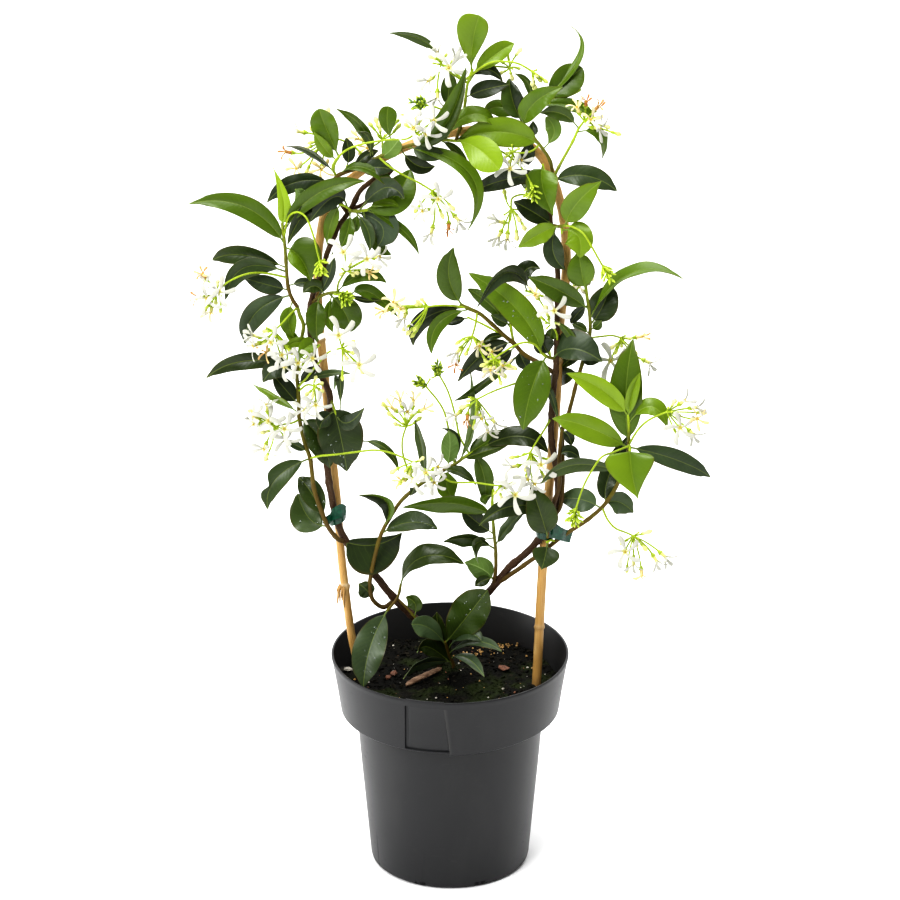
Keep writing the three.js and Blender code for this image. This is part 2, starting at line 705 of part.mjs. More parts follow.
        path: [
          [-82, 579, -1], [-89, 590, -7], [-94, 601, -10], [-91, 610, -11], [-75, 617, -10],
          [-60, 625, -10], [-47, 631, -10],
        ],
      },
      { radius: [0.9, 0.9], path: [[-91, 610, -11], [-93, 618, -12], [-88, 628, -12]] },
      { radius: [0.9, 0.9], path: [[-84, 613, -10], [-82, 620, -8]] },
    ],
    leaves: [
      [-94, 605, -124, 606, -147, 588, 15, 20, -2, 0.03],
      [-93, 612, -111, 632, -131, 635, 11, 60, -8, 0.03],
      [-88, 628, -98, 649, -104, 667, 21, 0, -16, 0.5],
      [-88, 628, -100, 634, -108, 647, 10, 0, -22, 0.62],
      [-82, 620, -81, 630, -83, 643, 11, 0, -4, 0.0],
      [-90, 611, -66, 614, -38, 591, 13, 45, -18, 0.28],
      [-76, 617, -60, 618, -44, 616, 14, 0, -14, 0.0],
      [-61, 625, -69, 653, -91, 666, 11, 40, -6, 0.25],
      [-57, 626, -49, 634, -43, 643, 10, 10, -14, 0.75],
    ],
  },
  leader_top: {
    from: 'leader_left',
    stems: [
      { radius: [1.5, 1.2], path: [[-47, 631, -10], [-30, 637, -10], [-8, 641, -10], [6, 640, -10]] },
      { radius: [0.9, 0.9], path: [[-44, 632, -10], [-47, 641, -10]] },
    ],
    leaves: [
      [-47, 641, -50, 655, -49, 669, 16, 0, -10, 0.4],
      [-36, 635, 14, 612, 16, 564, 15, 30, -22, 0.65],
      [-40, 633, -27, 620, -12, 619, 13, 0, -8, 0.0],
      [-35, 635, -19, 630, -2, 628, 13, 0, -14, 0.1],
      [-32, 636, -2, 655, 12, 701, 17, 20, -26, 0.25],
      [4, 640, 23, 633, 39, 616, 30, 0, -30, 0.85],
      [-4, 641, 17, 662, 40, 650, 15, 20, -6, 0.55],
    ],
    heads: [{
      stalk: [
        [5, 640, -10], [20, 640, -8], [36, 634, -9], [50, 625, -13], [60, 614, -18], [65, 604, -20],
      ],
      fan: { count: 8, reach: 13, right: 0, up: -0.6 },
      seed: 5,
    }],
  },
  shoot_top: {
    from: 'leader_top',
    stems: [
      { radius: [1.4, 1.0], path: [[5, 641, -9], [9, 655, 0], [12, 672, 2], [14, 688, 1], [18, 700, 0]] },
      { radius: [0.9, 0.8], path: [[13, 689, 1], [4, 697, 4], [-8, 712, 5]] },
      { radius: [0.9, 0.8], path: [[11, 662, 1], [4, 664, 0], [-5, 666, 0], [-13, 669, 0]] },
    ],
    leaves: [
      [17, 698, 21, 722, 22, 744, 25, 0, -6, 0.85],
      [18, 700, 36, 712, 51, 721, 15, 0, 8, 0.9],
      [14, 692, 29, 699, 42, 689, 10, 20, 2, 0.0],
      [12, 676, 28, 683, 47, 687, 14, 0, -8, 0.0],
      [-8, 712, -25, 727, -48, 729, 10, 40, 2, 0.2],
      [-3, 666, -1, 682, 1, 698, 13, 0, 4, 0.2],
    ],
    heads: [
      {
        stalk: [[18, 699, 0], [32, 705, -4], [45, 706, -6], [55, 704, -6], [65, 698, -6]],
        buds: [[78, 688, 0], [73, 689, 3], [68, 681, 0], [65, 685, -3], [70, 693, -2]],
        seed: 6,
      },
      {
        stalk: [[15, 693, 1], [22, 699, 7], [34, 702, 9], [47, 701, 9]],
        buds: [[57, 718, 0], [45, 715, 2], [50, 690, 3], [39, 696, -2], [36, 709, 0], [56, 700, 5]],
        seed: 7,
      },
      {
        stalk: [[-10, 668, 0], [-19, 670, 0]],
        fan: { count: 6, reach: 9, right: 0, up: 0 },
        seed: 8,
      },
    ],
  },
  shoot_right_top: {
    from: 'woody_stem',
    stems: [{
      radius: [1.6, 1.1],
      path: [
        [83, 604, -8], [81, 620, -9], [73, 635, -10], [64, 646, -9], [58, 655, -6],
        [63, 666, -2], [75, 674, 2],
      ],
    }],
    leaves: [
      [72, 636, 42, 648, 6, 641, 24, 10, -28, 0.6],
      [60, 651, 67, 671, 89, 685, 18, 10, -24, 0.5],
      [58, 655, 50, 673, 47, 692, 18, 0, -2, 0.1],
      [58, 656, 41, 669, 27, 663, 15, 20, 6, 0.42],
      [73, 636, 83, 648, 76, 660, 13, 0, -4, 0.35],
      [75, 674, 88, 686, 104, 699, 25, 0, 10, 0.42],
      [76, 674, 101, 712, 95, 735, 11, 30, 20, 0.6],
      [75, 674, 98, 669, 116, 656, 11, 20, -4, 0.42],
      [68, 640, 62, 630, 60, 618, 12, 0, 2, 0.0],
    ],
  },
  shoot_right_crown: {
    from: 'woody_stem',
    stems: [
      {
        radius: [1.4, 1.0],
        path: [[80, 586, -8], [80, 600, -14], [85, 614, -14], [98, 640, -12], [103, 652, -12]],
      },
      { radius: [1.0, 0.9], path: [[80, 600, -14], [76, 612, -12], [74, 621, -10]] },
    ],
    leaves: [
      [103, 652, 88, 664, 72, 663, 12, 20, -16, 0.22],
      [103, 652, 119, 645, 122, 625, 10, 20, -8, 0.45],
      [82, 605, 108, 611, 134, 598, 18, 0, -20, 0.08],
      [74, 621, 76, 603, 83, 577, 20, 0, -24, 0.35],
      [74, 616, 66, 607, 56, 606, 15, 0, -10, 0.3],
      [74, 614, 44, 608, 18, 597, 15, 10, -2, 0.0],
    ],
  },
  shoot_right_upper: {
    from: 'woody_stem',
    stems: [
      { radius: [1.5, 1.3], path: [[82, 569, -8], [88, 568, -14], [94, 569, -17]] },
      { radius: [1.0, 1.0], path: [[90, 568, -15], [90, 562, -12]] },
    ],
    leaves: [
      [88, 568, 73, 562, 55, 550, 14, 40, -20, 0.6],
      [94, 569, 103, 589, 121, 606, 21, 0, -36, 0.55],
      [94, 568, 103, 560, 105, 541, 24, 0, -26, 0.65],
      [90, 563, 83, 547, 93, 531, 17, 0, -14, 0.0],
      [84, 569, 67, 580, 51, 589, 17, 0, -12, 0.0],
    ],
    heads: [{
      stalk: [
        [93, 569, -17], [100, 567, -24], [107, 562, -30], [114, 551, -34], [120, 540, -34], [124, 533, -34],
      ],
      fan: { count: 6, reach: 12, right: 0.35, up: -0.6 },
      seed: 9,
    }],
  },
  shoot_right_long: {
    from: 'woody_stem',
    stems: [{
      radius: [2.0, 1.3],
      path: [
        [84, 316, -9], [91, 322, -9], [95, 345, -9], [94, 375, -9], [93, 392, -9], [97, 405, -9],
        [104, 435, -9], [112, 465, -9], [114, 480, -9], [113, 495, -9], [110, 515, -9],
        [109, 528, -9],
      ],
    }],
    leaves: [
      [113, 470, 105, 472, 97, 469, 9, 0, -3, 0.0],
      [110, 462, 96, 466, 81, 449, 18, 10, -18, 0.1],
      [112, 464, 114, 457, 122, 451, 15, 0, -8, 0.05],
      [114, 484, 124, 500, 130, 520, 24, 0, -4, 0.03],
      [114, 488, 146, 526, 189, 525, 17, 50, -20, 0.45],
      [111, 497, 88, 514, 64, 524, 18, 10, -24, 0.28],
      [110, 512, 106, 530, 104, 547, 23, 0, -12, 0.5],
      [106, 442, 93, 440, 82, 428, 15, 0, 24, 0.0],
    ],
  },
  branch_centre: {
    from: 'woody_stem',
    stems: [
      {
        radius: [2.0, 1.5],
        path: [
          [86, 441, -9], [74, 449, -4], [60, 458, 0], [52, 467, 2], [44, 474, 2], [35, 483, 2],
          [24, 493, 2], [14, 498, 2], [8, 501, 2],
        ],
      },
      { radius: [1.2, 1.0], path: [[52, 467, 2], [50, 477, 5], [49, 485, 6]] },
      { radius: [0.8, 0.8], path: [[46, 472, 3], [30, 482, 9], [14, 490, 8]] },
    ],
    leaves: [
      [11, 500, -1, 525, 3, 550, 21, 0, -2, 0.4],
      [11, 499, -20, 490, -30, 464, 14, 20, 12, 0.0],
      [12, 498, -10, 485, -15, 458, 12, 20, -12, 0.4],
      [49, 484, 41, 487, 33, 492, 10, 0, 2, 0.1],
      [49, 485, 32, 502, 14, 514, 12, 20, 12, 0.3],
      [50, 467, 28, 459, 6, 433, 15, 10, 8, 0.0],
      [53, 465, 36, 452, 14, 447, 13, 20, 12, 0.0],
      [55, 462, 59, 453, 64, 444, 12, 0, 2, 0.0],
    ],
  },
  shoot_centre_pair: {
    from: 'woody_stem',
    stems: [
      { radius: [1.4, 1.2], path: [[87, 454, -9], [80, 455, -14], [74, 459, -16]] },
      { radius: [0.9, 0.9], path: [[82, 454, -12], [81, 462, -11], [83, 470, -10]] },
    ],
    leaves: [
      [74, 459, 53, 496, 15, 528, 29, 0, -20, 0.5],
      [74, 458, 67, 428, 60, 391, 29, 0, -34, 0.42],
      [79, 456, 76, 466, 73, 477, 17, 0, -12, 0.0],
    ],
  },
  shoot_centre_right: {
    from: 'woody_stem',
    stems: [{ radius: [1.2, 1.0], path: [[87, 503, -8.5], [80, 506, -3], [70, 510, 4], [61, 513, 8]] }],
    leaves: [
      [61, 513, 61, 530, 73, 532, 15, 10, 4, 0.03],
      [66, 512, 42, 525, 22, 499, 14, 30, -4, 0.03],
    ],
  },
  shoot_upright: {
    from: 'woody_stem',
    stems: [{
      radius: [1.7, 1.1],
      path: [[36, 250, 13], [38, 264, 7], [38, 282, 4], [36, 305, 2], [35, 328, 2], [36, 338, 2]],
    }],
    leaves: [
      [37, 255, 28, 265, 12, 272, 19, 180, 10, 0.5],
      [37, 284, 15, 296, -5, 290, 17, 55, -8, 0.08],
      [36, 294, 20, 288, 24, 271, 13, 50, -18, 0.15],
      [38, 284, 49, 303, 62, 319, 14, 45, -8, 0.08],
      [36, 296, 22, 309, 9, 321, 16, 10, 6, 0.03],
      [35, 315, -2, 329, -38, 320, 20, 45, -44, 0.35],
    ],
  },
  runner_right: {
    from: 'woody_stem',
    stems: [
      {
        radius: [2.0, 1.6],
        path: [
          [38, 251, 12], [60, 268, 0], [75, 280, -9], [95, 297, -11], [112, 309, -12],
          [126, 322, -13], [134, 334, -15], [140, 347, -17], [144, 360, -18], [147, 373, -20],
        ],
      },
      { radius: [1.0, 1.0], path: [[88, 291, -10], [84, 292, -14], [80, 290, -17]] },
    ],
    leaves: [
      [80, 290, 78, 278, 78, 264, 21, 0, -24, 0.12],
      [125, 322, 109, 330, 91, 331, 20, 0, -4, 0.25],
      [127, 323, 139, 327, 151, 318, 17, 0, -4, 0.15],
      [128, 325, 131, 350, 149, 389, 17, 0, 8, 0.0],
      [142, 353, 102, 361, 75, 343, 15, 40, -34, 0.15],
    ],
  },
  rosette_right: {
    from: 'runner_right',
    stems: [
      { radius: [1.5, 1.1], path: [[147, 373, -20], [147, 390, -20], [146, 405, -20]] },
      { radius: [1.1, 1.0], path: [[147, 378, -20], [148, 376, -27], [148, 372, -32]] },
    ],
    leaves: [
      [147, 374, 112, 394, 84, 401, 21, 0, -30, 0.65],
      [146, 404, 124, 427, 95, 441, 18, 10, -24, 0.78],
      [147, 380, 144, 425, 149, 471, 28, 0, -6, 0.42],
      [146, 405, 149, 422, 155, 441, 10, 0, -22, 0.68],
      [147, 403, 165, 411, 179, 392, 15, 10, -28, 0.6],
      [148, 372, 146, 352, 156, 329, 34, 0, -44, 0.6],
      [147, 374, 185, 364, 215, 349, 17, 10, -8, 0.05],
    ],
    heads: [{
      stalk: [
        [147, 376, -20], [134, 371, -26], [125, 367, -34], [117, 355, -36], [110, 340, -36], [104, 320, -36],
      ],
      fan: { count: 8, reach: 13, right: -0.05, up: -0.6 },
      seed: 10,
    }],
  },
  climber_right: {
    from: 'woody_stem',
    stems: [
      {
        radius: [1.2, 1.0],
        path: [[83, 318, -9], [86, 325, -16], [90, 340, -18], [90, 366, -16], [92, 392, -15]],
      },
      { radius: [1.2, 1.1], path: [[84, 322, -15], [82, 312, -19], [81, 294, -19]] },
    ],
    leaves: [
      [81, 294, 75, 316, 67, 341, 26, 0, -22, 0.1],
      [84, 318, 50, 323, 24, 305, 16, 10, -30, 0.05],
      [90, 368, 97, 372, 107, 366, 11, 0, -14, 0.0],
    ],
  },
};

const FLOWERS = {
  flowers_far_left: {
    from: 'shoot_left_high',
    stalk: [[-133, 524, -14], [-150, 528, -22], [-165, 527, -36], [-180, 520, -40], [-188, 512, -40]],
    blooms: [
      [-187, 512, -4, 0, 0], [-198, 519, 0, -0.6, 0.2, 11], [-200, 527, 3, -0.5, 0.6, 9],
      [-205, 507, 0, -0.9, -0.1, 9], [-197, 506, -5, -0.3, -0.3, 12], [-194, 494, 0, -0.1, -0.9, 10],
    ],
    buds: [[-190, 500, 2], [-186, 493, 0], [-188, 523, 2], [-201, 494, 3]],
    seed: 21,
  },
  flowers_left_high: {
    from: 'shoot_left_middle',
    stalk: [[-124, 498, -14], [-130, 492, -20], [-137, 484, -24], [-143, 478, -26]],
    blooms: [
      [-146, 468, -6, 0, 0], [-137, 457, -8, 0.2, -0.2, 12], [-150, 459, -2, -0.3, -0.2, 11],
      [-160, 474, 0, -0.9, 0.2, 8], [-160, 465, 0, -0.8, -0.4, 11], [-124, 450, -10, 0.2, -0.5, 14],
      [-135, 447, -8, -0.2, -0.6, 13], [-112, 454, -12, 0.4, 0.1, 12],
    ],
    buds: [[-128, 457, -6], [-138, 467, 0], [-154, 464, 4], [-153, 478, 0]],
    seed: 22,
  },
  flowers_left_low: {
    from: 'shoot_left_middle',
    stalk: [[-123, 425, -14], [-116, 431, -22], [-111, 430, -24]],
    blooms: [[-110, 413, -4, 0, -0.2, 12], [-119, 408, 0, -0.3, -0.3, 11]],
    buds: [[-119, 421, 0], [-103, 424, -2], [-103, 433, 0], [-109, 439, 0], [-113, 419, -6]],
    seed: 23,
  },
  flowers_left_inner: {
    from: 'shoot_left_middle',
    stalk: [[-123, 429, -14], [-117, 437, -24], [-108, 449, -30], [-98, 460, -32], [-88, 463, -34]],
    blooms: [[-90.5, 474, -10, 0, 0.1, 17], [-74, 448.5, -10, 0.1, -0.1, 15]],
    buds: [[-77, 470, 0], [-77, 458, -3], [-83, 452, -2], [-88, 434, -4], [-70, 440, 2]],
    seed: 24,
  },
  flowers_upper_left: {
    from: 'shoot_left_inner',
    stalk: [[-91, 511, -12], [-90, 520, -20], [-84, 530, -24]],
    blooms: [
      [-86, 546, -10, -0.1, 0.1, 15], [-67, 540, -8, 0.1, 0], [-65, 529, -2, 0.5, -0.2, 8],
      [-57, 542, 0, 0.8, 0.1, 9],
    ],
    buds: [[-77, 525, -2], [-73, 528, 2], [-90, 526, 0], [-79, 537, 2]],
    seed: 25,
  },
  flowers_outer_left: {
    from: 'shoot_left_low',
    stalk: [[-122, 400, -14], [-130, 397, -18], [-137, 396, -20], [-143, 394, -22]],
    blooms: [
      [-149, 399, -6, 0, 0, 14], [-136, 392, -8, 0.1, 0, 14], [-161, 403, 0, -0.7, 0.4, 12],
      [-161, 396, 3, -0.8, -0.2, 11], [-153, 374, 0, -0.3, -0.8, 11], [-150, 413, 2, -0.1, 0.9, 10],
      [-135, 382, -5, 0.3, -0.5, 11],
    ],
    buds: [[-156, 388, 0], [-148, 384, -2], [-153, 363, 3], [-166, 409, 4]],
    seed: 26,
  },
  flowers_top_left: {
    from: 'leader_left',
    stalk: [[-66, 622, -10], [-75, 634, -4], [-87, 641, 0], [-98, 642, 2]],
    blooms: [
      [-103, 616, -2, 0, -0.4, 12], [-121, 648, 0, -0.9, 0.1, 9], [-123, 617, 0, -0.5, -0.4, 11],
      [-131, 631, 3, -0.9, 0.1, 7],
    ],
    buds: [[-112, 652, 0], [-114, 638, 0], [-119, 632, 2], [-97, 669, 4], [-112, 626, 2], [-116, 611, 3]],
    seed: 27,
  },
  flowers_top_small: {
    from: 'leader_left',
    stalk: [[-53, 628, -10], [-54, 635, -4], [-54, 641, -2]],
    blooms: [[-66, 634, 0, -0.6, -0.3, 8], [-73, 642, 3, -0.8, 0.2, 7]],
    buds: [[-65, 656, 0], [-60, 661, 4], [-37, 663, 6], [-39, 655, 2], [-56, 656, 0]],
    seed: 28,
  },
  flowers_top_pair: {
    from: 'leader_left',
    stalk: [
      [-92, 611, -11], [-94, 618, -18], [-89, 627, -24], [-80, 634, -27], [-68, 638, -27],
      [-50, 641, -27], [-34, 642, -27], [-28, 646, -28],
    ],
    blooms: [[-29, 651, -8, 0, 0, 14], [-13, 657, -6, 0.2, 0.1], [-19, 646, -7, 0.3, -0.4, 11]],
    buds: [[-22, 661, 4], [-37, 655, 3], [-26, 662, 0]],
    seed: 29,
  },
  flowers_top: {
    from: 'shoot_top',
    stalk: [[13, 689, 1], [6, 693, -5], [-2, 699, -7], [-7, 704, -8]],
    blooms: [
      [-1, 701, -8, 0, -0.1, 14], [-10, 676, -2, 0, -0.95, 9], [-17, 690, 0, -0.6, -0.6, 8],
      [4, 708, 0, 0.4, 0.5, 7], [-10, 713, -2, -0.3, 0.8, 7],
    ],
    buds: [[-18, 711, 0], [-2, 713, 2]],
    seed: 30,
  },
  flowers_under_top: {
    from: 'shoot_right_top',
    stalk: [[71, 637, -9], [66, 632, -12], [58, 630, -14], [50, 631, -15]],
    blooms: [[48, 617, -8, 0, -0.1], [57, 624, -2, 0.5, 0, 8]],
    buds: [[44, 630, 2], [42, 625, 0], [56, 634, 0], [47, 621, 2]],
    seed: 31,
  },
  flowers_arch_right: {
    from: 'woody_stem',
    stalk: [[80, 584, -8], [69, 592, 4], [58, 595, 5], [50, 592, 5], [49, 583, 5]],
    blooms: [[46, 557, 0, -0.1, -0.9, 9], [39, 559, 2, -0.4, -0.8, 7], [39, 572, 0, -0.8, 0.1, 6]],
    buds: [[54, 555, 0], [61, 564, 2], [57, 571, 0], [43, 600, 2]],
    seed: 32,
  },
  flowers_arch_left: {
    from: 'leader_left',
    stalk: [[-57, 626, -10], [-50, 620, -18], [-40, 613, -19], [-25, 605, -19], [-14, 598, -19]],
    blooms: [
      [-9.5, 591, -5, 0, 0], [-22, 581, -2, -0.6, -0.1, 10], [-15, 562, 0, -0.2, -0.9, 8],
      [7, 573, 0, 0.6, -0.7, 8], [-1, 566, 2, 0, -0.8, 7],
    ],
    buds: [[-5, 574, 0], [4, 581, 2], [-29, 579, 0]],
    seed: 33,
  },
  flowers_right_top: {
    from: 'shoot_right_crown',
    stalk: [[103, 652, -12], [107, 657, -14]],
    blooms: [
      [108, 673, 0, 0, 0.6, 8], [101, 668, -4, -0.3, 0.7, 9], [119, 651, -4, 0.9, -0.1, 11],
      [112, 658, -7, 0.4, 0.2, 10], [118, 669, 3, 0.6, 0.6, 7],
    ],
    buds: [[122, 660, 0], [128, 651, 3], [137, 645, 0]],
    seed: 34,
  },
  flowers_right: {
    from: 'shoot_right_long',
    stalk: [[114, 472, 6], [122, 473, 10], [132, 474, 12], [139, 472, 12]],
    blooms: [[131, 452, -6, 0, 0, 15], [156, 473, 0, 0.9, 0.1, 6], [163, 450, 0, 0.85, -0.4, 10]],
    buds: [[130, 462, 0], [134, 457, 0], [140, 463, -2], [153, 457, 0], [148, 471, -4]],
    seed: 35,
  },
  flowers_low_right: {
    from: 'woody_stem',
    stalk: [[83, 402, -9], [79, 394, -15], [72, 382, -18], [66, 371, -20]],
    blooms: [
      [75, 360, -8, 0, 0.1, 14], [64, 347, -3, 0.1, -0.1, 12], [70, 343, -6, 0.2, -0.4, 10],
      [51, 358, 0, -0.9, -0.2, 9],
    ],
    buds: [[48, 366, 0], [62, 353, -6], [80, 345, -3], [69, 360, 3], [84, 364, 2]],
    seed: 36,
  },
  flowers_far_right: {
    from: 'rosette_right',
    stalk: [[147, 377, -20], [153, 389, -24], [162, 399, -32], [171, 404, -34], [178, 407, -34]],
    blooms: [
      [189, 393, -6, 0, 0], [192, 417, 0, 0.7, 0.5, 10], [202, 411, 0, 0.9, 0.1, 9],
      [203, 401, -4, 0.5, 0, 11], [200, 387, 2, 0.6, -0.6, 9],
    ],
    buds: [[190, 403, 3], [185, 419, 2], [188, 384, 0], [211, 406, 3]],
    seed: 37,
  },
  flowers_right_low: {
    from: 'runner_right',
    stalk: [[127, 320, -13], [131, 310, -20], [137, 303, -22], [146, 299, -22], [152, 296, -22]],
    blooms: [
      [145.5, 281.5, -6, 0, 0], [172, 273, 0, 0.5, -0.8, 8], [179, 277, 3, 0.7, -0.6, 8],
      [153, 270, -2, 0, -0.95, 9], [160, 260, 0, 0.1, -0.95, 10],
    ],
    buds: [[168, 301, 0], [156, 285, 0], [141, 288, 2], [147, 262, 2], [164, 282, -4]],
    seed: 38,
  },
  flowers_right_small: {
    from: 'shoot_right_long',
    stalk: [[110, 512, 3], [107, 514, 9], [104, 516, 12]],
    blooms: [[105, 518, -4, 0, 0, 9], [101, 513, 0, -0.6, -0.2, 7], [109, 522, 2, 0.4, 0.6, 7]],
    buds: [[98, 508, 0], [99, 522, 2]],
    seed: 39,
  },
  flowers_middle_left: {
    from: 'shoot_twining_low',
    stalk: [[-26, 341, -6], [-34, 354, -2], [-39, 371, 0], [-39, 383, 0], [-36, 394, 0]],
    blooms: [
      [-48, 411, 4, -0.7, 0.5, 7.5], [-41, 417, -3, -0.3, 0.8, 7], [-30, 417, 5, 0.1, 0.9, 7.5],
      [-21, 410, -2, 0.7, 0.4, 8], [-35, 407, -11, 0, 0.3, 7.5],
    ],
    buds: [[-47, 397, 0], [-52, 407, 0], [-23, 403, 0], [-56, 416, 3], [-30, 406, 4]],
    seed: 40,
  },
  flowers_middle: {
    from: 'shoot_left_low',
    stalk: [
      [-115, 366, -16], [-106, 368, -28], [-95, 369, -34], [-80, 371, -35], [-62, 373, -35],
      [-50, 371, -35], [-40, 367, -35], [-30, 362, -35],
    ],
    blooms: [
      [-20, 353, -16, 0.1, 0], [-10, 358, -3, 0.6, 0.3, 10], [-30, 346, -8, -0.2, -0.2],
      [-13, 344, -5, 0.3, -0.4, 10], [-40, 345, 1, -0.6, -0.3, 8],
    ],
    buds: [[-21, 367, 0], [-50, 352, 2], [-38, 353, 0], [-43, 341, 0], [-34, 350, 4]],
    seed: 41,
  },
  flowers_centre_low: {
    from: 'shoot_twining_low',
    stalk: [[-9, 353, 0], [0, 345, -10], [20, 344, -22], [34, 342, -26], [41, 341, -28]],
    blooms: [[54, 333, -8, 0, 0, 15], [46, 341, -5, -0.3, 0.2, 10]],
    buds: [[55, 344, 3], [44, 326, 0], [36, 333, -3]],
    seed: 42,
  },
  flowers_centre_left: {
    from: 'branch_centre',
    stalk: [[13, 498, 2], [0, 500, -3], [-10, 500, -5], [-18, 499, -5]],
    blooms: [
      [-46, 503, -12, -0.4, 0.3, 13], [-40, 497, -14, -0.5, -0.2, 8], [-37, 489, -9, -0.2, -0.8, 8],
      [-54, 495, -14, -0.7, -0.3, 7],
    ],
    buds: [
      [-28, 505, 0], [-24, 507, 3], [-29, 501, -3], [-36, 474, 0], [-32, 472, 3], [-39, 478, 2],
      [-30, 477, -3],
    ],
    seed: 43,
  },
  flowers_centre_hanging: {
    from: 'branch_centre',
    stalk: [[22, 494, 2], [21, 485, -6], [18, 473, -10]],
    blooms: [
      [24, 465, -2, 0.4, -0.5, 9], [34, 460, -2, 0.6, -0.5, 9], [37, 446, 0, 0.2, -0.9, 9],
      [6, 459, 0, -0.5, -0.7, 6], [5, 448, 0, -0.3, -0.8, 9],
    ],
    buds: [[4, 466, 0], [12, 456, 3], [30, 450, 2]],
    seed: 44,
  },
  flowers_centre: {
    from: 'shoot_centre_pair',
    stalk: [[74, 460, -16], [69, 466, -24], [61, 468, -28], [52, 465, -28], [43, 459, -28], [36, 454, -28]],
    blooms: [[43, 448, -4, 0.5, -0.5, 10], [33, 444, -4, 0, -0.7, 9]],
    buds: [[24, 447, 0], [27, 441, 2], [29, 450, -3], [46, 436, 2], [42, 430, 0], [50, 446, 3], [55, 444, 0]],
    seed: 45,
  },
  flowers_centre_bottom: {
    from: 'woody_stem',
    stalk: [[85, 430, -9], [72, 431, -8], [58, 433, -10], [45, 429, -12], [33, 424, -13], [22, 418, -14]],
    blooms: [
      [31, 390, -4, 0.2, -0.9, 10], [37, 397, -2, 0.5, -0.7, 9], [26, 401, -5, 0.1, -0.5, 10],
      [5, 404, 0, -0.6, -0.5, 8], [14, 400, -2, -0.1, -0.8, 8],
    ],
    buds: [[13, 416, 0], [7, 410, 2], [19, 391, 0], [22, 402, 3]],
    seed: 46,
  },
  flowers_centre_right: {
    from: 'woody_stem',
    stalk: [[88, 468, -8.5], [87, 475, -14], [84, 481, -17], [82, 484, -18]],
    blooms: [[84.5, 495.5, -8, 0, 0, 14], [69, 509, 0, -0.4, 0.4, 8]],
    buds: [[71, 493, 0], [90, 484, 2], [77, 501, 2], [80, 492, 4]],
    seed: 47,
  },
};

// ---- pot, soil, chip and cane --------------------------------------------------------------------

function lathe(profile, sides) {
  const points = profile.map(([radius, height]) => new THREE.Vector2(radius, height));
  const geometry = new THREE.LatheGeometry(points, sides);
  geometry.rotateX(Math.PI / 2);
  return solidFromGeometry(geometry);
}

// The pot's outer wall, from the edge of its underside up to the rim.
function outerWall() {
  const { footRadius, footRounding, collarBottom, collarBottomRadius, collarRounding } = POT;
  const lipBottom = POT.height - POT.rimDepth;
  return [
    [footRadius - footRounding, 0],
    [footRadius, footRounding],
    [POT.bodyTopRadius, collarBottom - POT.shoulder],
    [collarBottomRadius - collarRounding, collarBottom],
    [collarBottomRadius, collarBottom + collarRounding],
    [POT.rimRadius - POT.lipStep, lipBottom],
    [POT.rimRadius, lipBottom + 1],
    [POT.rimRadius, POT.height],
  ];
}

function innerWall(inset) {
  const thickness = POT.wall + inset;
  const [footInset, footRise] = POT.innerFoot;
  return [
    [POT.rimRadius - POT.rimThickness - inset, POT.height],
    [POT.collarBottomRadius - thickness, POT.collarBottom + POT.innerShoulder],
    [POT.bodyTopRadius - thickness, POT.collarBottom],
    [POT.footRadius - thickness, POT.floor + footRise + inset],
    [POT.footRadius - footInset - thickness, POT.floor + inset],
  ];
}

function potSolid() {
  const profile = [[0, 0], ...outerWall(), ...innerWall(0), [0, POT.floor]];
  const shell = lathe(profile, POT.sides);
  const notches = [];
  for (let index = 0; index < POT.notches; index += 1) {
    const box = new THREE.BoxGeometry(POT.notchWidth, POT.notchDepth, POT.notchHeight * 2);
    box.translate(0, -POT.footRadius, 0);
    box.rotateZ(((index + 0.5) / POT.notches) * 2 * Math.PI);
    notches.push(solidFromGeometry(box));
  }
  return shell.subtract(join(notches)).subtract(panelRecess());
}

// What the panel takes out of the collar: an upright slab in the panel's outline, less everything
// that lies deeper than the panel's floor.
function panelRecess() {
  const { left, rightTop, rightBottom, bottom, top, depth } = PANEL;
  const outline = new THREE.Shape([
    new THREE.Vector2(left, bottom), new THREE.Vector2(rightBottom, bottom),
    new THREE.Vector2(rightTop, top), new THREE.Vector2(left, top),
  ]);
  const slab = new THREE.ExtrudeGeometry(outline, { depth: POT.rimRadius, bevelEnabled: false });
  slab.rotateX(Math.PI / 2);
  const { collarBottom, collarBottomRadius } = POT;
  const lipBottom = POT.height - POT.rimDepth;
  const core = lathe([
    [0, collarBottom], [collarBottomRadius - depth, collarBottom],
    [POT.rimRadius - POT.lipStep - depth, lipBottom], [0, lipBottom],
  ], POT.sides);
  return solidFromGeometry(slab).subtract(core);
}

// The potting mix: a gently rippled, closed body that follows the pot's inside.
function soilSolid() {
  const wall = innerWall(GAP).reverse();
  const [[topRadius, top], [lowRadius, low]] = innerWall(GAP);
  const edge = lowRadius + ((topRadius - lowRadius) * (SOIL.level - low)) / (top - low);
  const profile = wall.filter(([, height]) => height < SOIL.level);
  profile.unshift([0, POT.floor + GAP]);
  profile.push([edge, SOIL.level]);
  for (let ring = SOIL.rings - 1; ring >= 0; ring -= 1) {
    const radius = (edge * ring) / SOIL.rings;
    profile.push([radius, SOIL.level + SOIL.ripple * Math.sin(ring * SOIL.wave)]);
  }
  return lathe(profile, POT.sides);
}

// A flat chip of bark that lies on the mix, pressed a little into it.
function chipSolid(grow) {
  const corners = CHIP.outline.map(([x, y]) => (
    new THREE.Vector2(x + Math.sign(x) * grow, y + Math.sign(y) * grow)));
  const depth = CHIP.depth + 2 * grow;
  const chip = new THREE.ExtrudeGeometry(new THREE.Shape(corners), { depth, bevelEnabled: false });
  chip.translate(0, 0, -grow);
  chip.rotateZ(CHIP.turn);
  chip.translate(...CHIP.at, SOIL.level - CHIP.sunk);
  return solidFromGeometry(chip);
}

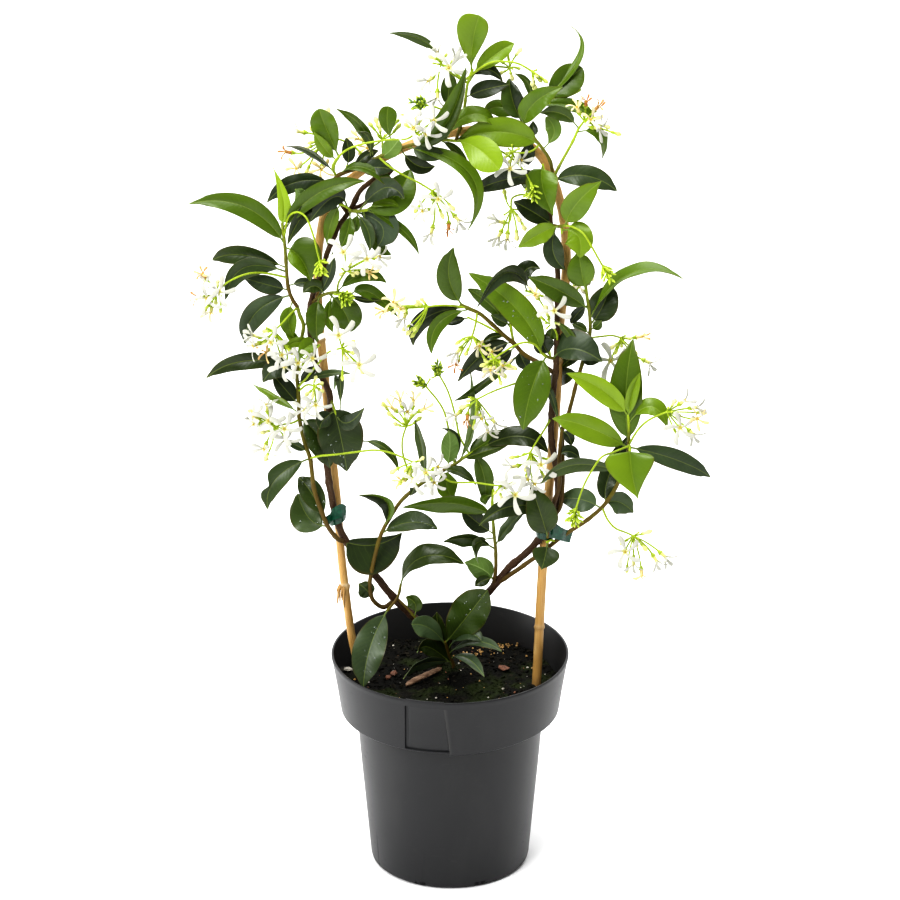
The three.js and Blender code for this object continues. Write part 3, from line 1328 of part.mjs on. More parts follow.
// A strip of soft plastic tied round the cane and the stems: a flat band bent into an oval.
function tieSolid({ centre, halfWidth, halfDepth, height, tilt }) {
  const middle = onSheet(centre);
  const vertices = [];
  for (let index = 0; index < TIE_SIDES; index += 1) {
    const angle = (index / TIE_SIDES) * 2 * Math.PI;
    [[-1, 0], [1, 0], [1, 1], [-1, 1]].forEach(([up, out]) => {
      const x = (halfWidth + out * TIE_THICKNESS) * Math.cos(angle);
      const y = (halfDepth + out * TIE_THICKNESS) * Math.sin(angle);
      vertices.push(middle.clone().add(new THREE.Vector3(x, y, (up * height) / 2 + tilt * x)));
    });
  }
  const triangles = [];
  for (let index = 0; index < TIE_SIDES; index += 1) {
    for (let corner = 0; corner < 4; corner += 1) {
      const next = (corner + 1) % 4;
      const a = index * 4;
      const b = ((index + 1) % TIE_SIDES) * 4;
      triangles.push([a + corner, a + next, b + next], [a + corner, b + next, b + corner]);
    }
  }
  return solidFrom(vertices, triangles);
}

// ---- building the pieces ---------------------------------------------------------------------------

const plant = new THREE.Group();
const built = []; // what later pieces keep clear of, each swollen by the gap

// Adds a piece, cut to clear those built before it. Pieces called loose carve nothing after them.
function addPiece(name, colour, roughness, makeSolid, { loose = false } = {}) {
  let solid = makeSolid(0);
  const reach = solid.boundingBox();
  const near = built.filter(({ box }) => [0, 1, 2].every((axis) => (
    box.min[axis] < reach.max[axis] && box.max[axis] > reach.min[axis])));
  near.forEach(({ swollen }) => {
    solid = solid.subtract(swollen);
  });
  solid = cleanBody(solid);
  if (!loose) {
    const swollen = makeSolid(GAP);
    built.push({ box: swollen.boundingBox(), swollen });
  }
  const material = new THREE.MeshStandardMaterial({ color: colour, roughness, metalness: 0 });
  const mesh = new THREE.Mesh(geometryFrom(solid), material);
  mesh.name = name;
  plant.add(mesh);
}

// Where the stems of each piece can carry a shoot or a head, by the name of the piece.
const carriers = {};

function woodyStem() {
  const lines = WOODY_STEMS.map(({ path }) => centreLine(path, STEP.woody));
  carriers.woody_stem = rootPlaces(lines, 0);
  return (grow) => join(lines.map((line, index) => (
    taperedTube(line, ...WOODY_STEMS[index].radius, WOODY_SIDES, grow))));
}

function leafyShoot(name, { from, stems, leaves, heads = [] }) {
  const lines = [];
  const taken = [];
  stems.forEach(({ path }, index) => {
    const holders = index > 0 ? rootPlaces(lines, 0) : carriers[from];
    const start = holders ? freePlace(holders, path[0][0], path[0][1], []) : path[0];
    lines.push(centreLine([start, ...path.slice(1)], STEP.shoot));
  });
  carriers[name] = rootPlaces(lines, 0);
  const places = rootPlaces(lines, ROOT.skip);
  const roots = leaves.map((leaf) => freePlace(places, leaf[0], leaf[1], taken));
  const stalks = heads.map(({ stalk }) => (
    [freePlace(places, stalk[0][0], stalk[0][1], taken), ...stalk.slice(1)]));
  return (grow) => {
    const solids = lines.map((line, index) => taperedTube(line, ...stems[index].radius, STEM_SIDES, grow));
    leaves.forEach((leaf, index) => solids.push(leafSolid(leaf, roots[index], grow)));
    heads.forEach((head, index) => solids.push(headSolid({ ...head, stalk: stalks[index] }, grow)));
    return join(solids);
  };
}

function flowerHead({ from, ...head }) {
  const [x, z] = head.stalk[0];
  const stalk = [freePlace(carriers[from], x, z, []), ...head.stalk.slice(1)];
  return (grow) => headSolid({ ...head, stalk }, grow);
}

addPiece('cane_hoop', COLOUR.cane, 0.55, (grow) => (
  taperedTube(centreLine(HOOP_PATH, STEP.cane), CANE_RADIUS, CANE_RADIUS, CANE_SIDES, grow)));
addPiece('woody_stem', COLOUR.wood, 0.8, woodyStem());
Object.entries(SHOOTS).forEach(([name, shoot]) => {
  addPiece(name, COLOUR.leaf, 0.4, leafyShoot(name, shoot));
});
Object.entries(FLOWERS).forEach(([name, head]) => {
  addPiece(name, COLOUR.bloom, 0.6, flowerHead(head));
});
TIES.forEach((tie) => addPiece(tie.name, COLOUR.tie, 0.4, () => tieSolid(tie), { loose: true }));
addPiece('bark_chip', COLOUR.bark, 0.9, chipSolid);
addPiece('pot', COLOUR.pot, 0.5, potSolid, { loose: true });
addPiece('potting_mix', COLOUR.soil, 0.95, soilSolid, { loose: true });

export default plant;
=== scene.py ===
"""Potted star jasmine trained over a bent cane hoop, dressed for rendering.

Every piece is a closed mesh worked out in millimetres on a layout sheet, the same one
that the solids were set out on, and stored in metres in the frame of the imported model.
"""
import random
from math import atan2, ceil, cos, hypot, pi, radians, sin, sqrt

import bpy
import numpy as np
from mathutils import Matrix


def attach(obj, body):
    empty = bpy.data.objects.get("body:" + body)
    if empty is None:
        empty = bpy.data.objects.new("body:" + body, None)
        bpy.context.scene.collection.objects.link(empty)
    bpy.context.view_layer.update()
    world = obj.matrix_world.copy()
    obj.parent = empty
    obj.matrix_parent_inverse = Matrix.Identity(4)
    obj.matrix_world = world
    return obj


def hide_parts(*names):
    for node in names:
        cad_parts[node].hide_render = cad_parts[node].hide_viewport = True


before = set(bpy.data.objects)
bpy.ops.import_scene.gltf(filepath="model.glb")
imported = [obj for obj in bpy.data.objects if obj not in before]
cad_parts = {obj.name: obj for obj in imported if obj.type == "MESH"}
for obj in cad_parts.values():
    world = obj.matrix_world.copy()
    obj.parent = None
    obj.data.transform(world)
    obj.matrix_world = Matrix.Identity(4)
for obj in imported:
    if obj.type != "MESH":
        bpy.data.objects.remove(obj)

bl_info = {
    "name": "Potted star jasmine",
    "version": (1, 0, 0),
    "blender": (4, 5, 0),
    "location": "3D View > Sidebar > Jasmine",
    "description": "Builds a flowering star jasmine on a cane hoop in a nursery pot",
    "category": "Object",
}

MM = 0.001

# ---- settings that a user may change


def length(name, description, default, low, high):
    """A property that holds a length in metres."""
    return bpy.props.FloatProperty(
        name=name, description=description, default=default, min=low, max=high, unit="LENGTH",
        precision=5,
    )


def share(name, description, default):
    """A property that holds a share from 0 to 1."""
    return bpy.props.FloatProperty(
        name=name, description=description, default=default, min=0.0, max=1.0, subtype="FACTOR",
    )


def tint(name, description, default):
    """A property that holds a colour."""
    return bpy.props.FloatVectorProperty(
        name=name, description=description, default=default, min=0.0, max=1.0, size=3,
        subtype="COLOR",
    )


class PotSettings(bpy.types.PropertyGroup):
    """Looks of the nursery pot."""

    colour: tint("Plastic", "Colour of the moulded plastic", (0.0125, 0.0127, 0.0138))
    # Besides dusting and scuffs, this colour lightens the inside wall and paints a highlight along the
    # panel's right step edge, where the step catches the light.
    dust: tint("Dust", "Colour of dust and scuffs on the plastic", (0.040, 0.039, 0.038))
    gloss: share("Roughness", "Roughness of the clean plastic", 0.40)


class SoilSettings(bpy.types.PropertyGroup):
    """Looks of the potting mix and what lies on it."""

    colour: tint("Mix", "Colour of the damp potting mix", (0.0062, 0.0060, 0.0045))
    dry: tint("Dry crumbs", "Colour of crumbs that have dried out", (0.032, 0.026, 0.017))
    crumbs: bpy.props.IntProperty(
        name="Crumbs", description="How many loose crumbs lie on the mix", default=2400, min=0,
        max=4000,
    )
    crumb_size: length("Crumb size", "Radius of a middling crumb", 0.0013, 0.0003, 0.006)


class CaneSettings(bpy.types.PropertyGroup):
    """Sizes and looks of the hoop and its ties."""

    radius: length("Cane radius", "Radius of the cane between its nodes", 0.0038, 0.001, 0.01)
    colour: tint("Cane", "Colour of the clean cane", (0.500, 0.300, 0.095))
    tie_colour: tint("Ties", "Colour of the plastic ties", (0.005, 0.050, 0.027))


class LeafSettings(bpy.types.PropertyGroup):
    """Sizes and looks of stems and leaves."""

    thickness: length("Blade thickness", "Thickness of a blade near its midrib", 0.0006, 0.0002, 0.002)
    petiole: length("Leaf stalk", "Radius of a leaf stalk", 0.0008, 0.0002, 0.003)
    dark: tint("Old leaf", "Colour of the oldest leaves", (0.0138, 0.0222, 0.0050))
    middle: tint("Leaf", "Colour of full-grown leaves", (0.086, 0.148, 0.0070))
    young: tint("Young leaf", "Colour of the newest leaves", (0.300, 0.430, 0.018))
    roughness: share("Gloss", "Roughness of the upper side of a leaf", 0.33)


class FlowerSettings(bpy.types.PropertyGroup):
    """Sizes and looks of the flowers."""

    thickness: length("Petal thickness", "Thickness of a petal", 0.0004, 0.0001, 0.002)
    petal: tint("Petal", "Colour of a fresh petal", (0.50, 0.50, 0.44))
    faded: tint("Faded petal", "Colour of a petal past its best", (0.38, 0.15, 0.035))
    throat: tint("Throat", "Colour at the mouth of the tube", (0.62, 0.60, 0.16))
    stalk: tint("Stalk", "Colour of flower stalks and buds", (0.360, 0.470, 0.025))


class StageSettings(bpy.types.PropertyGroup):
    """Floor and lights."""

    floor: tint("Floor", "Colour of the floor", (0.93, 0.93, 0.93))
    key: bpy.props.FloatProperty(
        name="Key light", description="Power of the large front light", default=60.0, min=0.0,
        unit="POWER",
    )


SETTINGS = {
    "jasmine_pot": PotSettings,
    "jasmine_soil": SoilSettings,
    "jasmine_cane": CaneSettings,
    "jasmine_leaf": LeafSettings,
    "jasmine_flower": FlowerSettings,
    "jasmine_stage": StageSettings,
}

# ---- shapes in millimetres

# Height and radius pairs of the pot: up the outside, over the rim and down the inside.
POT_OUTSIDE = [
    (0.0, 61.5), (0.6, 64.6), (2.2, 66.6), (5.0, 67.4), (40.0, 70.55), (90.0, 74.95),
    (134.0, 78.45), (137.6, 78.75), (138.7, 79.4), (139.2, 82.0), (139.5, 88.5), (139.9, 91.0),
    (140.8, 92.0), (142.6, 92.3), (160.0, 94.75), (184.6, 98.75), (185.4, 98.9), (187.6, 99.5),
    (189.0, 99.7), (189.8, 99.4),
]
POT_INSIDE = [
    (190.0, 98.8), (189.8, 97.9), (189.0, 97.45), (147.0, 90.6), (143.0, 78.0), (140.0, 77.0),
    (6.1, 65.2), (2.6, 61.2),
]
# The collar's lower edge hangs lower on one side of the panel.
COLLAR_DROP = {"from": 137.0, "to": 144.0, "depth": 2.4, "fades_over": 1.1}
POT_SIDES = 180
PANEL = {
    "left": -34.5, "right_top": -5.0, "right_bottom": -0.5, "bottom": 141.5, "top": 184.0,
    "depth": 0.15, "deeper": 1.3, "groove_width": 2.6, "groove": 1.5, "rim": 189.5, "tab": 0.8,
}
PANEL_COLUMNS = 24
GROOVE_COLUMNS = 4
# Drain notches: how many, and the box that cuts each, measured out from the pot's middle.
NOTCH = {"count": 8, "width": 11.0, "start": 53.0, "reach": 80.0, "height": 5.0, "below": 3.0}

SOIL = {"level": 161.0, "radius": 92.4, "rings": 44, "sides": 120}
# Radius and height pairs of the mix where it lies against the pot, from the floor up.
SOIL_WALL = [(63.5 * 0.05, 4.0), (63.5, 4.0), (76.0, 139.0), (89.8, 147.2)]
# What lies on the mix. The feed lies in a band that starts at a sheet place and runs so far to
# the right and up; the large bits have x, z, size and finish (1 pumice, 2 feed, 3 reddish chip).
SMALL_BITS = 170
FEED = {"count": 58, "from": (11, 184), "across": (42, 12)}
LARGE_BITS = [(-52, 165, 3.0, 3), (-48, 168, 3.4, 3), (45, 173, 4.2, 3), (-86, 172, 3.4, 1)]

# A twenty-sided lump: its corners and faces.
GOLDEN = (1 + sqrt(5)) / 2
LUMP_CORNERS = np.array([
    (-1, GOLDEN, 0), (1, GOLDEN, 0), (-1, -GOLDEN, 0), (1, -GOLDEN, 0), (0, -1, GOLDEN),
    (0, 1, GOLDEN), (0, -1, -GOLDEN), (0, 1, -GOLDEN), (GOLDEN, 0, -1), (GOLDEN, 0, 1),
    (-GOLDEN, 0, -1), (-GOLDEN, 0, 1),
]) / 1.9
LUMP_FACES = np.array([
    (0, 11, 5), (0, 5, 1), (0, 1, 7), (0, 7, 10), (0, 10, 11), (1, 5, 9), (5, 11, 4), (11, 10, 2),
    (10, 7, 6), (7, 1, 8), (3, 9, 4), (3, 4, 2), (3, 2, 6), (3, 6, 8), (3, 8, 9), (4, 9, 5),
    (2, 4, 11), (6, 2, 10), (8, 6, 7), (9, 8, 1),
])

# The planting plan. Places are x, z and depth on the layout sheet, where a depth below 0 is
# nearer the front. An indented row carries on the row above it.
#   part   node, what it grows from, and how young and how old its bark is at most
#   stem   radius at its start and at its end, then its places
#   leaf   x, z of root, middle and tip; width, roll in degrees, depth of the tip, tone from 0,
#          old and dark, to 1, new and lime, set higher on some leaves to paint light onto them
#          where they lie in shade; then what sets it apart from the rule
#   stalk  places of a flower stalk; the blooms, buds and tuft that follow sit at its end
#   bloom  x, z, depth beyond the stalk's end, lean to the right and up; some have radius and age
#   buds   x, z, depth beyond the stalk's end of each
#   tuft   count, reach, lean to the right and up, and how deep a green
PLAN = """
part woody_stem
stem 3.6 2 -5,128,30 -8,176,27 -14,200,22 -28,219,16 -45,237,10 -63,261,5 -78,280,-1 -88,294,-5
  -94,312,-7 -98,332,-8 -101,355,-8 -102,378,-8 -100,400,-8 -98,420,-9 -103,434,-9 -109,447,-8
  -112,462,-6 -114,485,-6 -113,501,-8 -109,515,-9 -103,528,-9 -100,542,-7 -96,553,-4 -89,569,0
  -80,582,0 -72,598,5 -60,609,8 -52,617,8
stem 1.7 1.4 -80,582,0 -68,588,-3 -57,602,-6 -46,616,-7
stem 3.4 2 -8,182,26 4,208,24 18,228,20 34,247,14 50,268,8 62,279,4 70,288,-1 78,299,-8 86,314,-9
  89,330,-9 89,347,-9 86,367,-9 83,385,-9 83,400,-9 84,420,-9 86,440,-9 87,465,-8.5
  87,500,-8.5 87,530,-8.5 84,555,-8.5 81,570,-8 80,586,-8
part shoot_crown youth=.2 oldest=.3
stem 1.9 1.3 3,140,22 3,176,19 -1,188,14 -4,199,8
leaf -3,198 14,222 31,246 32 0 -8 .13 blunt=.5 fold=.2 drops=20
leaf -8,197 -18,212 -32,215 19 0 -6 .3 blunt=.7 glaucous=1 fold=.2
leaf 0,194 14,205 28,198 15 40 -12 .04 glaucous=.6
leaf 3,189 22,196 43,191 13 50 -26 .04 glaucous=.6
leaf -1,183 15,182 29,166 12 45 -36 .04 glaucous=.8
leaf -10,190 -25,179 -39,164 11 40 -30 .03 glaucous=.6
leaf -6,193 -18,194 -27,188 14 0 2 .05
leaf -4,199 -8,213 -11,225 12 20 2 .05
part shoot_low_left from=woody_stem youth=.3 oldest=.45
stem 1.2 1.1 -45,237,10 -44,239,2 -42,246,-2 -41,252,-3
stem 1.2 1.1 -44,239,2 -49,232,-1 -53,227,-2
stem 1 .9 -44,239,2 -36,230,1 -29,221,0
leaf -53,227 -67,194 -73,157 27 0 -40 .08 glaucous=.5 drops=18 fold=.25 blunt=.2
leaf -41,252 -21,275 12,271 20 35 -14 .08
leaf -29,221 -29,234 -37,240 14 20 4 .2
part shoot_twining_low from=woody_stem
stem 1.9 1.5 -47,237,9 -55,231,2 -64,237,-7 -67,250,-11 -63,275,-13 -57,298,-13 -50,312,-12
  -40,328,-9 -25,342,-5 -7,354,0
leaf -64,238 -70,247 -76,252 15 0 -14 .05
leaf -57,298 -33,306 -10,303 22 45 -24 .05 drops=14
leaf -57,299 -52,327 -76,333 12 30 -18 .1 fold=.9 side_tone=-.3 droop=0
leaf -20,345 -22,380 -30,399 12 50 -2 .15
leaf -33,336 -30,338 -33,332 7 0 -13 .02
part shoot_twining_top from=shoot_twining_low
stem 1.5 1.1 -7,354,0 6,362,2 15,369,2 26,374,2
leaf -3,357 0,374 -1,391 15 180 -6 .5
leaf 7,363 22,400 14,444 14 68 14 .35
leaf 13,367 28,378 46,391 14 20 8 .3
leaf 26,374 57,385 81,371 17 15 -10 .03
leaf 10,363 27,370 47,377 10 30 -5 .12
leaf 20,370 28,350 29,323 15 0 8 .35
leaf -5,354 6,353 22,342 14 50 -12 .12
leaf -6,353 -4,343 4,328 20 30 -5 .6
leaf 0,358 6,384 -7,392 6 20 6 .05
stalk 8,364,2 8,385,14 4,405,20 -2,426,22 -9,440,22
tuft 7 9 0 .3 .9
stalk 4,361,1 0,385,10 -6,410,14 -20,430,14
tuft 7 9 -.2 0 .9
part shoot_left_low from=woody_stem
stem 2 1.7 -86,291,-4 -93,293,-13 -101,304,-16 -106,317,-16 -112,337,-16 -114,355,-16 -115,365,-16
  -119,378,-15 -122,392,-14 -124,404,-14
leaf -85,287 -63,288 -40,299 31 0 2 0 blunt=-.5 skew=-.6 twist=0 fold=.1 wave=.02 arch=0 stalk=2
leaf -116,366 -144,347 -151,320 18 0 -30 .1 bite=.6 fold=.3 blunt=-.1
leaf -103,311 -113,332 -125,349 19 0 -2 .1 drops=14 blunt=.3
leaf -101,305 -116,311 -126,334 31 0 4 .15 drops=10 blunt=.2
leaf -123,402 -108,384 -99,357 25 10 -11 .1 fold=.5 drops=6
leaf -117,371 -126,377 -136,382 7 0 -18 .1
part shoot_left_middle from=shoot_left_low youth=.62
stem 1.7 1.5 -124,404,-14 -124,425,-14 -125,440,-14 -123,455,-14 -121,470,-14 -119,483,-14
  -122,492,-14 -124,500,-14
stem 1 .9 -124,441,-14 -116,456,-16 -106,466,-18
leaf -125,413 -134,426 -145,440 15 0 -8 0
leaf -125,440 -140,446 -153,433 17 0 -20 0 glaucous=.3
leaf -124,447 -168,452 -200,436 14 10 -6 .05
leaf -124,405 -143,423 -161,431 12 55 -22 .6
leaf -106,466 -117,464 -123,452 13 0 -30 .6 blunt=-1. fold=.5
leaf -121,481 -112,488 -112,470 15 20 -8 .3 glaucous=.7
leaf -123,430 -116,440 -110,447 9 0 -22 0
leaf -123,432 -101,438 -81,441 9 50 -19 .15
leaf -121,466 -128,472 -135,483 8 0 -16 .7
leaf -106,466 -122,469 -137,462 9 20 -24 .65
part shoot_left_high from=shoot_left_middle
stem 1.6 1.3 -124,500,-14 -128,506,-14 -131,516,-14 -132,530,-14 -133,550,-14 -135,571,-14
leaf -132,533 -167,544 -192,539 16 15 -4 .05
leaf -132,529 -167,533 -182,505 18 30 -34 .1 droop=0 arch=.02 glaucous=.3
leaf -131,513 -148,518 -167,524 15 0 -16 0
leaf -130,509 -157,495 -167,466 19 10 -10 .05 glaucous=.5
leaf -133,553 -166,585 -210,587 18 0 -20 .38 blunt=-.35 fold=.35 twist=8
leaf -135,570 -134,592 -142,619 11 0 -14 .9 blunt=-1.2 fold=.3 wave=.02 stalk=2
leaf -134,569 -104,597 -68,606 15 0 -30 .32 fold=.38 blunt=-.1
leaf -133,552 -121,541 -113,521 27 0 -24 .44 fold=.75 skew=.3 side_tone=-.13 blunt=-.4
leaf -127,505 -131,488 -127,472 14 0 -18 .55
leaf -131,514 -118,520 -111,517 8 0 -16 .05
leaf -131,585 -121,589 -124,600 9 180 -22 .6 blunt=.8
stalk -134,568,-14 -129,577,-20 -122,580,-26 -116,576,-32 -110,560,-36 -107,546,-36 -105,538,-36
tuft 8 12 .05 -.6 0.
part shoot_left_pair from=woody_stem
stem 1.3 1.1 -99,418,-9 -96,413,-13 -93,404,-14
stem 1 .9 -93,404,-14 -84,392,-10 -72,380,-10
leaf -93,404 -82,398 -70,411 13 0 -34 0
leaf -96,414 -90,386 -85,354 38 0 -18 .04 blunt=-.25 fold=.14 wave=.03 drops=16
leaf -93,404 -104,400 -107,392 14 10 -28 .04
leaf -72,380 -54,374 -42,354 7 20 -16 .12
leaf -84,430 -90,436 -95,426 7 0 -12 .1
part shoot_left_inner from=woody_stem
stem 1.5 1.1 -113,501,-7 -105,508,-14 -97,511,-14 -88,511,-12 -79,509,-10
leaf -98,510 -86,495 -80,477 25 0 -18 .28
leaf -106,507 -109,490 -108,468 17 10 -24 .3
leaf -79,509 -65,511 -42,490 12 15 -4 .4
leaf -92,511 -71,525 -51,520 11 20 -18 .38
leaf -103,509 -110,517 -119,511 12 10 -22 .1
leaf -99,509 -99,492 -95,477 9 20 -22 .45
leaf -100,510 -97,528 -95,546 9 10 -18 .03
leaf -82,509 -70,505 -55,505 5 0 -10 .02
stalk -99,510,-14 -94,510,-24 -89,509,-30
tuft 9 13 0 -.1 .55
part shoot_left_knot from=woody_stem
stem 1.4 1.2 -80,581,0 -80,581,-9 -73,581,-11 -66,582,-11
stem 1 .9 -79,581,-9 -84,585,-13 -89,587,-15
leaf -70,582 -46,592 -32,616 26 0 2 .5 blunt=.3 wave=.02
leaf -66,584 -51,601 -37,591 17 0 -28 .02 blunt=-.2 fold=.3
leaf -82,584 -94,593 -113,571 17 20 -24 0
leaf -88,587 -95,573 -99,552 11 0 -10 .55
leaf -80,580 -82,565 -88,550 12 0 -14 .35
leaf -72,580 -66,564 -65,547 10 0 -22 .1
leaf -68,582 -56,570 -58,551 22 0 -14 .04 glaucous=.9 skew=.25 blunt=.2
leaf -67,580 -41,566 -25,544 8 20 -4 .38
leaf -70,580 -62,556 -47,544 11 20 -6 .3
leaf -66,583 -53,588 -40,584 7 10 -10 .6
leaf -74,580 -76,570 -80,563 9 0 -3 .4
leaf -86,586 -112,584 -131,552 14 20 -20 .03 fold=.6
part leader_left from=woody_stem
stem 1.8 1.5 -82,579,-1 -89,590,-7 -94,601,-10 -91,610,-11 -75,617,-10 -60,625,-10 -47,631,-10
stem .9 .9 -91,610,-11 -93,618,-12 -88,628,-12
stem .9 .9 -84,613,-10 -82,620,-8
leaf -94,605 -124,606 -147,588 15 20 -2 .03
leaf -93,612 -111,632 -131,635 11 60 -8 .03
leaf -88,628 -98,649 -104,667 21 0 -16 .5 blunt=.6 fold=.3
leaf -88,628 -100,634 -108,647 10 0 -22 .62
leaf -82,620 -81,630 -83,643 11 0 -4 0
leaf -90,611 -66,614 -38,591 13 45 -18 .28
leaf -76,617 -60,618 -44,616 14 0 -14 0
leaf -61,625 -69,653 -91,666 11 40 -6 .25
leaf -57,626 -50,630 -41,641 15 180 -14 .62 blunt=.9 fold=.15
leaf -80,616 -68,627 -57,632 8 0 -8 0
leaf -61,625 -64,643 -75,648 9 40 -13 .08
part leader_top from=leader_left
stem 1.5 1.2 -47,631,-10 -30,637,-10 -8,641,-10 6,640,-10
stem .9 .9 -44,632,-10 -47,641,-10
leaf -47,641 -50,655 -49,669 15 0 -10 .4 blunt=1 fold=.15
leaf -36,635 14,612 16,564 14 30 -22 .54
leaf -40,633 -27,620 -12,619 13 0 -8 0
leaf -35,635 -19,630 -2,628 13 0 -14 .1
leaf -32,636 -2,655 12,701 17 20 -26 .25 fold=.9 side_tone=.14
leaf 4,640 23,633 39,616 26 0 -34 .78 blunt=.75 fold=.12 wave=.02 arch=.02
leaf -4,641 17,662 40,650 15 20 -6 .55
leaf -8,641 4,632 15,618 7 30 -6 .2
leaf -25,638 -12,645 -2,641 8 0 -14 .15
stalk 5,640,-10 20,640,-8 36,634,-9 50,625,-13 60,614,-18 65,604,-20
tuft 9 14 0 -.6 .1
part shoot_top from=leader_top
stem 1.4 1 5,641,-9 9,655,0 12,672,2 14,688,1 18,700,0
stem .9 .8 13,689,1 4,697,4 -8,712,5
stem .9 .8 11,662,1 4,664,0 -5,666,0 -13,669,0
leaf 17,698 18,722 23,744 25 0 -6 .62 blunt=1.4 fold=.38 wave=.02 skew=.16 side_tone=.05
leaf 18,700 36,712 51,721 15 0 8 .66
leaf 14,692 29,699 42,689 10 20 2 0
leaf 12,676 28,683 47,687 14 0 -8 0
leaf -8,712 -25,727 -48,729 10 40 2 .2
leaf -3,666 -1,682 1,698 13 0 4 .2
stalk 18,699,0 32,705,-4 45,706,-6 55,704,-6 65,698,-6
buds 78,688,0 73,689,3 68,681,0 65,685,-3 70,693,-2
stalk 15,693,1 22,699,7 34,702,9 47,701,9
buds 57,718,0 45,715,2 50,690,3 39,696,-2 36,709,0 56,700,5
stalk -10,668,0 -19,670,0
tuft 8 12 0 0 1.
part shoot_right_top from=woody_stem
stem 1.6 1.1 83,604,-8 81,620,-9 73,635,-10 64,646,-9 58,655,-6 63,666,-2 75,674,2
leaf 72,636 42,648 6,641 24 10 -8 .62
leaf 60,651 67,671 89,685 18 10 -24 .5
leaf 58,655 50,673 47,692 18 0 -2 .1 fold=.6 side_tone=.1
leaf 58,656 41,669 27,663 15 20 6 .42
leaf 73,636 83,648 76,660 13 0 -4 .55 glaucous=.4 blunt=.5
leaf 75,674 90,688 105,701 24 0 10 .34 blunt=.5 fold=.35 twist=0
leaf 80,676 103,710 95.5,735 7 30 14 .46 blunt=-1.4 wave=0 arch=0 droop=0
leaf 75,674 98,669 116,656 11 20 -4 .42
leaf 68,640 62,630 60,618 12 0 2 0
leaf 63,667 63,687 51,696 7 30 8 .2
leaf 69,640 66,648 66,657 8 0 -4 0
leaf 75,674 90,679 105,683 7 0 14 .8
part shoot_right_crown from=woody_stem
stem 1.4 1 80,586,-8 80,600,-14 85,614,-14 98,640,-12 103,652,-12
stem 1 .9 80,600,-14 76,612,-12 74,621,-10
leaf 103,652 88,664 72,663 12 20 -16 .22
leaf 103,652 119,645 122,625 10 20 -8 .45
leaf 82,605 108,611 134,598 18 0 -20 .08
leaf 74,621 74,603 83,577 26 0 -24 .46 blunt=-.6 fold=.5 side_tone=.05
leaf 74,616 66,607 56,606 15 0 -10 .3
leaf 74,614 44,608 18,597 15 10 -2 0
part shoot_right_upper from=woody_stem
stem 1.5 1.3 82,569,-8 88,568,-14 94,569,-17
stem 1 1 90,568,-15 90,562,-12
leaf 88,568 73,563 55,550 17 20 -20 .68
leaf 94,569 103,589 121,606 21 0 -36 .55
leaf 94,568 103,560 105,541 24 0 -26 .65
leaf 90,563 83,547 93,531 17 0 -14 0
leaf 84,569 67,580 51,589 17 0 -12 0
stalk 93,569,-17 100,567,-24 107,562,-30 114,551,-34 120,540,-34 124,533,-34
tuft 7 12 .35 -.6 0.
part shoot_right_long from=woody_stem
stem 2 1.3 86,314,-9 91,322,-12 93,345,-12 92.5,375,-9 92.5,392,-9 97,405,-9 104,435,-9 112,465,-9
  114,480,-9 113,495,-9 110,515,-9 109,528,-9
leaf 113,470 105,472 97,469 9 0 -3 0
leaf 110,462 100,455 90,445 10 0 2 .05
leaf 112,464 114,457 122,451 15 0 -8 .05
leaf 114,484 124,500 130,520 24 0 -4 .03
leaf 114,488 146,526 189,525 17 50 -20 .45
leaf 111,497 88,514 64,524 18 10 -24 .28
leaf 110,512 106,530 104,547 23 0 -12 .5
leaf 106,442 93,440 82,428 15 0 24 0
leaf 111,500 104,494 98,484 9 10 -3 0
leaf 108,451 98,476 85,486 8 30 -17 .3
leaf 114,475 106,481 99,484 8 0 -4 .2
leaf 114,475 120,483 123,487 8 0 -14 .2
part branch_centre from=woody_stem
stem 2 1.5 86,441,-9 74,449,-4 60,458,0 52,467,2 44,474,2 35,483,2 24,493,2 14,498,2 8,501,2
stem 1.2 1 52,467,2 50,477,5 49,485,6
stem .8 .8 46,472,3 30,482,9 14,490,8
leaf 11,500 -1,525 3,550 20 0 -2 .3 fold=.4 curl=.1 droop=0
leaf 11,499 -20,490 -30,464 14 20 12 0
leaf 12,498 -10,485 -15,458 12 20 -12 .4
leaf 49,484 41,487 33,492 10 0 2 .1
leaf 49,485 32,502 14,514 12 20 12 .3
leaf 50,467 28,459 6,433 15 10 8 0
leaf 53,465 36,452 14,447 13 20 12 0
leaf 55,462 59,453 64,444 12 0 2 0
leaf 14,491 5,487 -4,484 7 0 9 0
leaf 58,459 28,434 4,415 9 50 14 .2
leaf 46,472 35,473 26,466 6 0 -2 .05
part shoot_centre_pair from=woody_stem
stem 1.4 1.2 87,454,-9 80,455,-14 74,459,-16
stem .9 .9 82,454,-12 81,462,-11 83,470,-10
leaf 74,459 54,497 15,528 24 0 -4 .52 fold=.25 drops=14
leaf 74,458 67,428 60,391 29 0 -34 .42 drops=8
leaf 79,456 76,466 73,477 17 0 -12 0
leaf 83,468 82,474 84,481 9 0 -10 .2
leaf 80,455 101,462 124,451 26 10 -26 .03 fold=.25 blunt=-.2 skew=.25 glaucous=.4
part shoot_centre_right from=woody_stem
stem 1.2 1 87,503,-8.5 80,506,-3 70,510,4 61,513,8
leaf 61,513 61,530 73,532 15 10 4 .03
leaf 66,512 43,529 22,498 14 20 -34 .03 fold=.5 blunt=-.2
part shoot_upright from=woody_stem
stem 1.7 1.1 36,250,13 38,264,7 38,282,4 36,305,2 35,328,2 36,338,2
leaf 37,255 28,265 12,272 19 180 10 .5
leaf 37,284 15,296 -5,290 17 55 -8 .08
leaf 36,294 20,288 24,271 13 50 -18 .15
leaf 38,284 49,303 62,319 14 45 -8 .08
leaf 36,296 22,309 9,321 16 10 6 .03
leaf 35,315 -2,329 -38,320 20 45 -44 .35
leaf 37,252 27,255 21,250 9 0 4 .08
leaf 36,333 28,330 29,324 6 0 4 .4
part runner_right from=woody_stem
